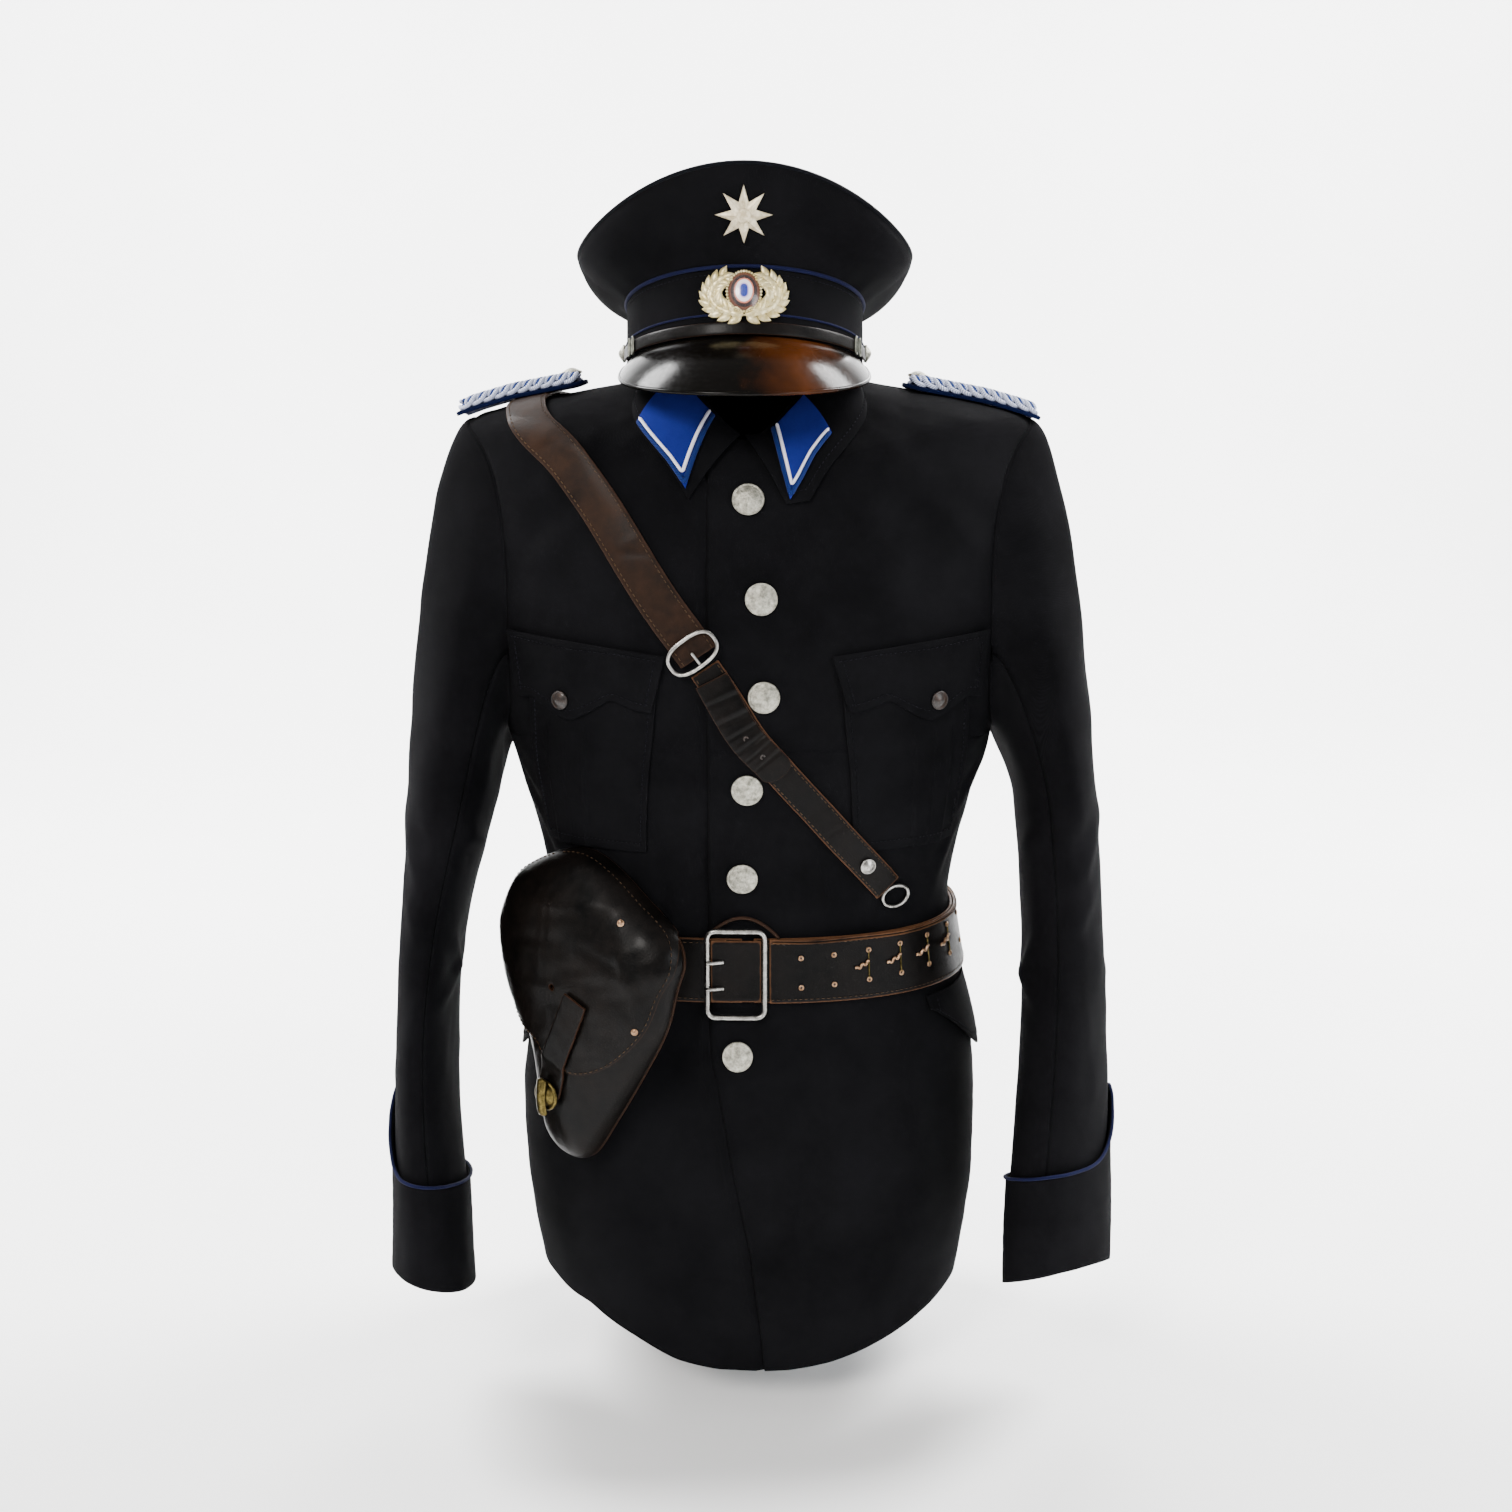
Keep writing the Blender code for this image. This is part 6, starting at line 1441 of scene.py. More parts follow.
SHORT_PATH = ((47.5, 7.61), (39.5, 8.12), (26.0, 8.95), (11.0, 9.95), (-3.0, 11.10), (-14.0, 11.72))
SHORT_RISE = ((22.0, 0.0), (30.0, 0.0029), (42.0, 0.0029), (48.0, 0.0))
TAIL_PATH = ((10.5, 9.95), (3.0, 10.55), (-5.5, 11.18), (-11.8, 11.60))
LONG_PATH = ((-15.8, 11.85), (-28.5, 12.60), (-39.5, 13.45), (-51.0, 14.50), (-63.5, 15.85),
             (-75.0, 16.85), (-90.0, 17.40), (-106.0, 17.00), (-124.0, 15.80), (-141.0, 14.10),
             (-158.0, 12.00), (-174.0, 10.00), (-188.0, 8.60), (-197.1, 7.66))
strap_first = REST + STRAP_WALL
strap_second = strap_first + LAYER + STRAP_WALL


def make_straps():
    """Lower strap, polished tail and long strap, with stitches along both edges."""
    short = strap("strap_short_leather", BLACK_LEATHER, SHORT_PATH, 130, 0.025, strap_first,
                  ["strap_short"],
                  ((0.30, 0.006, 0.0003), (0.62, 0.008, 0.0003)), SHORT_RISE)
    edge_stitches("strap_short_stitches", short, (1, -2))
    share = steps(0.0, 1.0, 90)
    width = 0.027 * np.sqrt(np.clip(1 - ((0.10 - share).clip(0) / 0.104) ** 2.2, 0.05, 1))
    strap("strap_tail_leather", HOLSTER_LEATHER, TAIL_PATH, 90, width, strap_second + 0.0004,
          ["strap_tail"],
          ((0.22, 0.020, 0.0009), (0.36, 0.016, 0.0007), (0.47, 0.020, 0.0011), (0.60, 0.016, 0.0007),
                            (0.72, 0.020, 0.0010), (0.86, 0.016, 0.0007)))
    long = strap("strap_long_leather", BROWN_LEATHER, LONG_PATH, 360, 0.032, strap_first + 0.0008,
                 ["strap_long"],
                 ((0.03, 0.004, 0.0006), (0.10, 0.004, 0.0004), (0.24, 0.006, 0.0004),
                                        (0.40, 0.006, 0.0004), (0.66, 0.006, 0.0004)))
    edge_stitches("strap_long_stitches", long, (1, -2))
    for number, place in enumerate((0.30, 0.55), 1):
        angle, level = smooth_line(TAIL_PATH, 90)[int(place * 89)]
        spot = off_skin(tunic, angle, level, strap_second + 0.0002)
        ring = turned([(0.0022, 0.0), (0.0022, 0.0004), (0.0012, 0.0003), (0.0002, 0.0)], spot,
                      facing_out(tunic, np.array(angle), np.array(level)), 14)
        make(f"strap_tail_hole_{number}", HORN, ring, closed=True)


make_straps()


# %% Strap buckle, stud and rings
def make_strap_metal():
    """An oval wire buckle with its prong, a steel stud, and a ring at each end of the strap."""
    angle, level = -17.5, 11.90
    facing = facing_out(tunic, np.array(angle), np.array(level))
    middle = off_skin(tunic, angle, level, strap_first + LAYER + 0.0031)
    ahead = tunic(-29.0, 12.6) - tunic(10.0, 10.1)
    along = ahead - facing * (ahead @ facing)
    along = unit(along)
    across = np.cross(facing, along)
    turn = steps(0, 2 * np.pi, 65)[:-1][:, None]
    square = 2.0 / 2.7
    x = np.sign(np.cos(turn)) * np.abs(np.cos(turn)) ** square
    y = np.sign(np.sin(turn)) * np.abs(np.sin(turn)) ** square
    loop = middle + 0.0203 * x * across + 0.0118 * y * along - 0.0014 * x ** 2 * facing
    make("strap_buckle_wire", NICKEL, tube(loop, np.broadcast_to(facing, loop.shape), 0.0015, 10, closed=True),
         closed=True, replaces=["strap_buckle"])
    bar = steps(-0.1, 1.0, 20)[:, None]
    prong = middle - 0.0105 * bar * along + 0.0012 * (1 - bar ** 2) * facing
    make("strap_buckle_prong", NICKEL, rounded_tube(prong, np.broadcast_to(facing, prong.shape), 0.0011, 8),
         closed=True)
    sew_on("strap_stud_steel", NICKEL, tunic, 39.5, 8.12, strap_first + 0.0034, 0.0065, 0.0035,
           ["strap_stud"], 32)
    turn = steps(0, 2 * np.pi, 49)[:-1]
    for mark, angle in (("front", 50.6), ("back", -199.6)):
        a, l = angle + 4.2 * np.cos(turn), 7.42 + 0.20 * np.sin(turn)
        line = off_skin(tunic, a, l, 0.7 * REST + 0.0014)
        make(f"strap_ring_{mark}_wire", NICKEL,
             tube(line, facing_out(tunic, a, l), 0.0014, 10, closed=True),
             closed=True, replaces=[f"strap_ring_{mark}"])


make_strap_metal()
print("straps done")

# %% [markdown]
# ## Shoulder cords
# Flat plaits of pale and blue cord lie on a felt base over each shoulder. Three strands of three
# cords each swing from side to side as sine waves a third of a turn apart, and each passes over
# and under the others twice in that time. Its loops droop over the pad's edges, and a button
# holds the neck end.

# %% Plaits
PLAIT_SWING, PLAIT_PITCH = 0.0175, 0.028


def pad_surface(side, reach, y):
    """Top of the shoulder pad: a table of heights along it, minus y^2 / 0.3 across it."""
    lift = (0.0014 if side > 0 else 0.0054) + 0.0055
    height = np.interp(reach, [0.072, 0.100, 0.140, 0.193, 0.222, 0.240],
                       [0.004, -0.001, -0.008, -0.018, -0.0262, -0.0325]) + lift
    return np.stack([side * reach + 0 * y, y - 0.004 + 0 * reach, height - (y - 0.004) ** 2 / 0.3], -1)


def cord_on_pad(side, reach, y, up):
    """A line on the pad, raised by `up`, with the way it faces."""
    line = pad_surface(side, reach, y) + up[:, None] * np.array([0.15 * side, 0.0, 1.0])
    return line, np.broadcast_to(np.array([0.15 * side, 0.0, 1.0]), line.shape)


def make_shoulder_cords():
    """Felt base, three strands of three cords each, and a small button on each side."""
    for side, mark, start, end in ((1, "left", 0.126, 0.236), (-1, "right", 0.134, 0.238)):
        reach = steps(start, end, 44)[None, :]
        taper = np.sqrt(np.clip(1 - ((0.016 - (reach - start)).clip(0) / 0.017) ** 2, 0.04, 1))
        y = steps(-1.0, 1.0, 19)[:, None] * 0.0235 * taper
        base = pad_surface(side, reach + 0 * y, y) - np.array([0.0, 0.0, 0.0022])
        base = base if side > 0 else base[:, ::-1]
        make(f"shoulder_base_{mark}", FELT, base, wall=0.0030, rim=0.0008,
             replaces=[f"shoulder_cord_{mark}"])
        along = steps(start + 0.008, end - 0.004, 300)
        phase = 2 * np.pi * (along - start) / PLAIT_PITCH
        lines = {"pale": [], "blue": []}
        for strand in range(3):
            turn = phase + strand * 2 * np.pi / 3
            swing = PLAIT_SWING * np.sin(turn)
            over = 0.0030 + 0.0021 * np.sin(2 * turn) - 0.0034 * np.sin(turn) ** 4
            for k, name in ((-1, "pale"), (0, "blue"), (1, "pale")):
                shift = k * 0.0030
                slope = PLAIT_SWING * 2 * np.pi / PLAIT_PITCH * np.cos(turn)
                size = np.sqrt(1 + slope ** 2)
                line, facing = cord_on_pad(side, along - shift * slope / size, swing + shift / size, over)
                lines[name].append(rounded_tube(line, facing, 0.0019, 8))
        for name, finish in (("pale", PALE_BRAID), ("blue", BLUE_BRAID)):
            make(f"shoulder_{name}_plait_{mark}", finish, np.stack(lines[name]), closed=True)
        spot = pad_surface(side, np.array(start + 0.012), np.array(0.0)) + np.array([0.0, 0.0, 0.0040])
        make(f"shoulder_button_{mark}_pressed", ALLOY,
             turned(button_profile(0.0085, 0.0052), spot, (0.08 * side, -0.05, 1.0), 32), closed=True,
             replaces=[f"shoulder_button_{mark}"])


make_shoulder_cords()

# %% [markdown]
# ## Cap
# The cap has an upright band, a crown that flares out to a rim and a nearly flat top, tipped
# back. Its skin is a set of leaning ellipses that lift towards the front. Piping runs round the
# band's foot and upper edge and round the rim, where the pieces of the crown are joined.

# %% The cap's skin
# Columns: middle y and z, half width, half depth, tilt in degrees, peak.
BAND_RINGS = np.array((
    (-0.0090, 0.0104, 0.096, 0.096, 12.0, 0.0),
    (0.0028, 0.0580, 0.096, 0.096, 13.5, 0.0),
))
CROWN_RINGS = np.array((
    (0.0028, 0.0585, 0.0960, 0.0960, 13.5, 0.0),
    (0.0010, 0.0655, 0.1055, 0.1005, 16.5, 0.2),
    (-0.0010, 0.0765, 0.1220, 0.1150, 21.0, 0.5),
    (0.0040, 0.0910, 0.1340, 0.1280, 25.0, 0.8),
    (0.0070, 0.1005, 0.1300, 0.1240, 24.5, 0.8),
    (0.0100, 0.1070, 0.1020, 0.0970, 24.0, 0.7),
    (0.0120, 0.1105, 0.0500, 0.0480, 24.0, 0.3),
    (0.0125, 0.1110, 0.0160, 0.0150, 24.0, 0.0),
))


def cap_point(ring, angle):
    """(half_x sin, middle - half_y cos * cos(tilt), height + half_y cos * lift * sin(tilt))."""
    middle_y, middle_z, half_x, half_y, tilt, peak = np.moveaxis(ring, -1, 0)
    turn, lean = np.radians(angle), np.radians(tilt)
    ahead = half_y * np.cos(turn)
    lifted = ahead * (1.0 - peak * np.where(ahead > 0, 1.0 - np.cos(turn), 0.0))
    spot = np.stack([half_x * np.sin(turn), middle_y - ahead * np.cos(lean),
                     middle_z + lifted * np.sin(lean)], -1)
    return spot + np.array([-0.004, 0.0, 0.0])


def band(angle, level):
    """The band: straight from its lower ring (0) to its upper one (1)."""
    angle, level = arrays(angle, level)
    return cap_point(BAND_RINGS[0] + (BAND_RINGS[1] - BAND_RINGS[0]) * level[..., None], angle)


def crown(angle, level):
    """The crown: a smooth line through its rings."""
    angle, level = arrays(angle, level)
    return cap_point(between_levels(CROWN_RINGS, level), angle)


CAP_WALL = 0.0019
AROUND = steps(0.0, 360.0, 193)[:-1]


def crown_relief(angle, level):
    """Soft gathers: ripples in the angle that fade from the band up, and broad waves at the rim."""
    gathers = 0.0006 * np.sin(np.radians(angle) * 17
                              + 1.3 * np.sin(np.radians(angle) * 5)) * np.exp(-level / 0.9)
    waves = 0.0009 * np.sin(np.radians(angle) * 6 + 1.0) * np.exp(-((level - 2.0) / 0.9) ** 2)
    return gathers + waves


def make_cap():
    """Band, crown side and top, with a sweatband inside and piping along the joins.

    The last rings of the top are drawn to its middle, so that the crown is closed.
    """
    levels = steps(0.0, 0.995, 22)[:, None]
    grid = band(AROUND[None, :], levels)
    grid = lay(grid, ripple(grid, 0.05, 0.0003, 41), closed=True)
    piece = make("cap_band_cloth", NAVY_WOOL, grid, closed=True, wall=CAP_WALL, inner=SWEATBAND,
                 replaces=["cap_band"])
    cloth_facts(piece, grid, closed=True)
    levels = np.concatenate([steps(0.02, 2.9, 34), steps(3.0, 3.38, 8)])[:, None]
    grid = crown(AROUND[None, :], levels)
    grid = lay(grid, crown_relief(AROUND[None, :], levels), closed=True)
    piece = make("crown_side_cloth", NAVY_WOOL, grid, closed=True, wall=CAP_WALL, inner=NAVY_LINING,
                 replaces=["crown_side"])
    cloth_facts(piece, grid, closed=True)
    levels = np.concatenate([steps(3.60, 4.3, 12)[:-1], steps(4.3, 6.9995, 25)])[:, None]
    grid = crown(AROUND[None, :], levels)
    grid = lay(grid, ripple(grid, 0.09, 0.0008, 43) * (levels > 3.9), closed=True)
    middle = grid[-1].mean(axis=0)
    shrink = np.array([0.8, 0.6, 0.4, 0.2, 0.01])[:, None, None]
    grid = np.concatenate([grid, middle + shrink * (grid[-1] - middle)])
    piece = make("crown_top_cloth", NAVY_WOOL, grid, closed=True, wall=CAP_WALL, inner=NAVY_LINING,
                 replaces=["crown_top"])
    cloth_facts(piece, grid, closed=True)
    for name, finish, skin, level, out, radius in (
            ("band", PIPING, band, 1.0, 0.0008, 0.0016), ("foot", PIPING, band, 0.30, 0.0004, 0.0009),
            ("rim", SELF_PIPING, crown, 3.49, 0.0002, 0.0016)):
        line = off_skin(skin, AROUND, level, out)
        make(f"cap_{name}_piping", finish,
             tube(line, facing_out(skin, AROUND, np.full(192, level)), radius, 8,
                                                closed=True), closed=True)
    line = off_skin(band, AROUND, 0.90, 0.0)
    make("cap_band_stitches", DARK_THREAD, stitches(line, facing_out(band, AROUND, np.full(192, 0.90))))


make_cap()

# %% [markdown]
# The visor is lacquered fibre, bound at its rim, and slopes down and forward from the band. The
# chin strap is narrow patent leather over the band's foot, with a slide near each end and a
# small button that holds it.

# %% Visor and chin strap
def visor_point(angle, share):
    """Band's foot + share * length * slope, bowed by share * (1 - share)."""
    start = band(angle, -0.02)
    shape = np.cos(np.radians(angle / 74.0 * 90.0)).clip(0)
    length = 0.004 + 0.062 * shape ** 0.75
    turn = np.radians(angle)
    ahead = np.stack([np.sin(turn) * 0.55, -0.74 * (0.35 + 0.65 * np.cos(turn)), -0.66 + 0 * turn], -1)
    ahead = unit(ahead)
    rise = np.stack([0 * turn, -0.66 + 0 * turn, 0.74 + 0 * turn], -1)
    bow = 0.024 * share * (1 - share) * shape
    return start + (share * length)[..., None] * ahead + bow[..., None] * rise


def make_visor():
    """Visor, its bound rim, the chin strap, two slides and two buttons."""
    angle, share = np.broadcast_arrays(steps(-74.0, 74.0, 120)[None, :], steps(1.0, 0.0, 26)[:, None])
    grid = visor_point(angle, share)
    make("cap_visor_lacquer", LACQUER, grid, wall=0.0022, rim=0.0005, replaces=["cap_visor"])
    rim_line = visor_point(steps(-73.9, 73.9, 120), np.full(120, 0.995))
    facing = across_grid(grid)[0]
    make("cap_visor_rim", LACQUER, rounded_tube(rim_line - 0.001 * facing, facing, 0.0018, 8), closed=True)
    span = steps(-80.0, 80.0, 150)
    path = np.stack([span, 0.13 - 0.05 * np.cos(np.radians(span))], -1)
    strip = ribbon(band, path, np.full(150, 0.0095), np.full(150, 0.0028), 9)
    across = steps(-1.0, 1.0, 9)[:, None]
    strip = lay(strip, -0.0003 * across ** 4 + 0 * strip[..., 0])
    make("chin_strap_patent", HOLSTER_LEATHER, strip, wall=0.0020, rim=0.0005, replaces=["chin_strap"])
    slides = []
    for angle in (-66.0, -62.0, 62.0, 66.0):
        turn = steps(0, 2 * np.pi, 41)[:-1]
        reach = 0.135 * np.sign(np.sin(turn)) * np.abs(np.sin(turn)) ** 0.6
        level = 0.13 - 0.05 * math.cos(math.radians(angle)) + reach
        around = angle + 0.9 * np.sign(np.cos(turn)) * np.abs(np.cos(turn)) ** 0.6
        line = off_skin(band, around, level, 0.0036)
        slides.append(tube(line, facing_out(band, around, level), 0.0009, 8, closed=True))
    make("chin_strap_slides", STEEL, np.stack(slides), closed=True)
    for side, mark in ((1, "left"), (-1, "right")):
        sew_on(f"cap_button_{mark}_pressed", ALLOY, band, side * 86.0, 0.20, 0.0005, 0.0070, 0.0065,
               [f"cap_button_{mark}"], 32)


make_visor()
print("cap done")

# %% [markdown]
# ## Badges
# A plain eight-pointed star and a leaf wreath round a ringed cockade. They are generic designs.
# Each is laid out flat as distances right and up from a middle, and the cap's skin is then
# searched for the places that lie there, so that the metal follows the cloth.

# %% Star, wreath and cockade
def on_cap(skin, level, right, up):
    """Skin places at distances right and up from the cap's front, and the same as arrays."""
    facing = facing_out(skin, np.array(0.0), np.array(float(level)))
    side = np.array([1.0, 0.0, 0.0])
    above = np.cross(facing, side)
    target = skin(0.0, level) + np.asarray(right)[..., None] * side + np.asarray(up)[..., None] * above
    return on_skin(skin, target, 0.0 * np.asarray(right), level + 0.0 * np.asarray(up))


def make_star():
    """Sixteen spokes, long and short by turns, that rise to ridges: out = base + height * (1 - share)."""
    corner = np.arange(16)
    reach = np.where(corner % 2, 0.0095, 0.0215)
    fine_turn = np.arange(128) / 8.0
    near, far = fine_turn.astype(int), (fine_turn.astype(int) + 1) % 16
    t = fine_turn - near
    corners = np.stack([-reach * np.sin(np.pi / 8 * corner), reach * np.cos(np.pi / 8 * corner)], -1)
    outline = corners[near] * (1 - t)[:, None] + corners[far] * t[:, None]
    share = steps(1.0, 0.02, 9)[:, None]
    angle, level = on_cap(crown, 1.9, share * outline[:, 0], share * outline[:, 1])
    ridge = np.abs((fine_turn % 2) - 1.0)
    out = REST + 0.0016 + 0.0028 * (1 - share) ** 0.9 * (0.45 + 0.55 * ridge) + 0 * angle
    piece = make("badge_star_metal", PALE_METAL, off_skin(crown, angle, level, out), closed=True,
                 wall=0.0012,
                 replaces=["badge_star"])
    spot = off_skin(crown, 0.0, 1.9, REST + 0.0032)
    make("badge_star_boss", PALE_METAL, turned(button_profile(0.0052, 0.0026), spot,
                                               facing_out(crown, np.array(0.0), np.array(1.9)), 32),
         closed=True)
    return piece


def make_wreath():
    """Leaves along two arcs: each is a boat shape with a middle rib, turned to follow the arc."""
    leaf_along, leaf_across = steps(0.0, 1.0, 9)[None, :, None], steps(-1.0, 1.0, 7)[None, None, :]
    place, turn_by, length, width = [], [], [], []
    for side in (-1, 1):
        for number in range(10):
            share = number / 9.0
            round_it = math.radians(170.0 - 138.0 * share)
            for scale, lean in ((0.60, 40.0), (0.76, 4.0), (0.92, -38.0)):
                place.append((side * scale * 0.0330 * math.sin(round_it),
                              scale * 0.0205 * math.cos(round_it)))
                head = math.atan2(0.0205 * math.sin(round_it), side * -0.0330 * math.cos(round_it))
                turn_by.append(head + side * math.radians(lean))
                length.append(0.0120 - 0.0020 * share)
                width.append(0.0034 - 0.0006 * share)
    place, turn_by = np.array(place), np.array(turn_by)[:, None, None]
    length, width = np.array(length)[:, None, None], np.array(width)[:, None, None]
    shape = np.sin(np.pi * leaf_along ** 0.8).clip(0) ** 0.8 + 0.03
    a = length * (leaf_along - 0.35) + 0 * leaf_across
    b = width * shape * leaf_across
    right = place[:, 0, None, None] + a * np.cos(turn_by) - b * np.sin(turn_by)
    up = place[:, 1, None, None] + a * np.sin(turn_by) + b * np.cos(turn_by)
    angle, level = on_cap(band, 0.58, right, up)
    rib = 0.0011 * (1 - np.abs(leaf_across)) ** 0.7 + 0.0007 * np.sin(np.pi * leaf_along)
    layer = np.array([0.0016, 0.0009, 0.0002])[np.arange(len(place)) % 3][:, None, None]
    out = REST + 0.0012 + layer + rib + 0 * angle
    leaves = off_skin(band, angle, level, out)[:, ::-1]
    make("badge_wreath_leaves", GILT, leaves, wall=0.0007, replaces=["badge_wreath"])
    stem = steps(-1.0, 1.0, 60)
    turn = np.radians(180.0 - 150.0 * stem)
    angle, level = on_cap(band, 0.58, 0.0300 * np.sin(turn), 0.0158 * np.cos(turn))
    line = off_skin(band, angle, level, REST + 0.0012)
    make("badge_wreath_stem", GILT, rounded_tube(line, facing_out(band, angle, level), 0.0011, 8),
         closed=True)


def make_cockade():
    """An oval dome ringed in colour, standing above the leaves inside a beaded border."""
    turn = steps(0.0, 2 * np.pi, 73)[:-1][None, :]
    share = steps(1.0, 0.01, 26)[:, None]
    angle, level = on_cap(band, 0.60, -0.0118 * share * np.sin(turn), 0.0148 * share * np.cos(turn))
    grid = off_skin(band, angle, level, REST + 0.0040 + 0.0030 * (1 - share ** 2) + 0 * angle)
    make("badge_cockade_enamel", ENAMEL, grid, closed=True, wall=0.0012, replaces=["badge_cockade"])
    beads = np.arange(40) * 2 * np.pi / 40
    angle, level = on_cap(band, 0.60, 0.0123 * np.sin(beads), 0.0153 * np.cos(beads))
    places = off_skin(band, angle, level, REST + 0.0036)
    facing = facing_out(band, np.array(0.0), np.array(0.6))
    bead = [(0.0006, 0.0), (0.0011, 0.0006), (0.0009, 0.0013), (0.0001, 0.0016)]
    make("badge_cockade_beads", GILT, np.stack([turned(bead, spot, facing, 8) for spot in places]),
         closed=True)


make_star()
make_wreath()
make_cockade()
print("badges done")

# %% [markdown]
# ## Holster
# The holster is moulded from thick polished leather: a back plate, a pouch that swells forward
# from the plate's outline, a flap wrapped over the pouch, and a closing strap with a brass clasp.
# The pouch is a surface round a heart-shaped outline whose depth is a flattened dome.

# %% The holster's moulded front
# Columns: right and up in the holster's plane, share of the pouch that the flap covers.
HOLSTER_OUTLINE = np.array((
    (-0.024, 0.090, 1.00), (-0.060, 0.071, 1.00), (-0.075, 0.045, 1.00), (-0.077, 0.022, 1.00),
    (-0.070, -0.006, 1.00), (-0.058, -0.030, 0.97), (-0.044, -0.055, 0.80), (-0.031, -0.085, 0.58),
    (-0.022, -0.115, 0.46), (-0.012, -0.146, 0.40), (0.005, -0.157, 0.39), (0.026, -0.152, 0.42),
    (0.048, -0.118, 0.60), (0.072, -0.075, 0.80), (0.092, -0.034, 0.91), (0.100, 0.002, 0.95),
    (0.105, 0.024, 0.98), (0.095, 0.045, 1.00), (0.063, 0.066, 1.00), (0.034, 0.084, 1.00),
    (0.006, 0.094, 1.00),
))
HOLSTER_HEART, HOLSTER_PLACE = (0.004, -0.010), np.array([-0.1406, -0.1145, -0.4678])
HOLSTER_WALL, HOLSTER_DEEP, HOLSTER_SHIFT = 0.0024, 0.034, -0.0060


def holster_frame():
    """Right, up and outward directions of the holster, which faces 36 degrees out and 7 up."""
    turn, lean = math.radians(36.0), math.radians(7.0)
    right = np.array([math.cos(turn), -math.sin(turn), 0.0])
    flat = np.array([-math.sin(turn), -math.cos(turn), 0.0])
    face = flat * math.cos(lean) + np.array([0.0, 0.0, math.sin(lean)])
    return right, np.cross(face, right), face


def holster_world(right, up, depth):
    """World point from a place in the holster's plane and the depth in front of it."""
    along, above, face = holster_frame()
    return (HOLSTER_PLACE + np.asarray(right)[..., None] * along + np.asarray(up)[..., None] * above
            + (np.asarray(depth) + HOLSTER_SHIFT)[..., None] * face)


def outline_at(index):
    """The outline and flap share at a fractional corner number, as a closed smooth line."""
    ring = np.concatenate([HOLSTER_OUTLINE[-2:], HOLSTER_OUTLINE, HOLSTER_OUTLINE[:3]])
    return between_levels(ring, np.asarray(index) % len(HOLSTER_OUTLINE) + 2)


def pouch(index, share):
    """heart + share * (outline - heart), and depth = deep * sqrt(1 - share^4)."""
    index, share = arrays(index, share)
    edge = outline_at(index)
    right = HOLSTER_HEART[0] + (edge[..., 0] - HOLSTER_HEART[0]) * share
    up = HOLSTER_HEART[1] + (edge[..., 1] - HOLSTER_HEART[1]) * share
    return holster_world(right, up, REST + HOLSTER_DEEP * np.sqrt(1.0 - share.clip(0, 1) ** 4))


def pouch_depth(right, up):
    """Depth of the moulded front above a place in the holster's plane."""
    fine_outline = outline_at(steps(0, len(HOLSTER_OUTLINE), 421)[:-1])[:, :2] - np.array(HOLSTER_HEART)
    spot = np.stack([right, up], -1) - np.array(HOLSTER_HEART)
    way = np.degrees(np.arctan2(fine_outline[:, 1], fine_outline[:, 0]))
    order = np.argsort(way)
    size = np.linalg.norm(fine_outline, axis=-1)
    aim = np.degrees(np.arctan2(spot[..., 1], spot[..., 0]))
    share = np.linalg.norm(spot, axis=-1) / np.interp(aim, way[order], size[order], period=360.0)
    return REST + HOLSTER_DEEP * np.sqrt(1.0 - share.clip(0, 1) ** 4)


# %% Holster pieces
def pouch_relief(index, share, seed):
    """Moulding of leather long in use: broad swells, a few deep bends across the flap, and fine wrinkles."""
    spot = pouch(index, share)
    bends = 0.0
    for right0, up0, right1, up1, half, height in (
            (-0.060, 0.050, 0.060, 0.062, 0.0060, 0.0020), (-0.070, 0.018, 0.020, 0.030, 0.0050, -0.0012),
            (0.060, 0.050, 0.085, -0.020, 0.0060, 0.0016), (-0.050, -0.020, 0.030, -0.005, 0.0060, 0.0012),
            (0.020, 0.030, 0.090, 0.010, 0.0045, -0.0010), (-0.030, -0.060, 0.030, -0.075, 0.0060, 0.0010)):
        t = steps(0.0, 1.0, 25)
        right, up = right0 + (right1 - right0) * t, up0 + (up1 - up0) * t
        line = holster_world(right, up, pouch_depth(right, up))
        gap = np.linalg.norm(spot[..., None, :] - line, axis=-1)
        best = gap.argmin(-1)
        bends = bends + height * np.exp(-(gap.min(-1) / half) ** 2) * np.sin(np.pi * t.clip(0.03,
                                                                                            0.97))[best]
    return bends + ripple(spot, 0.030, 0.0005, seed)


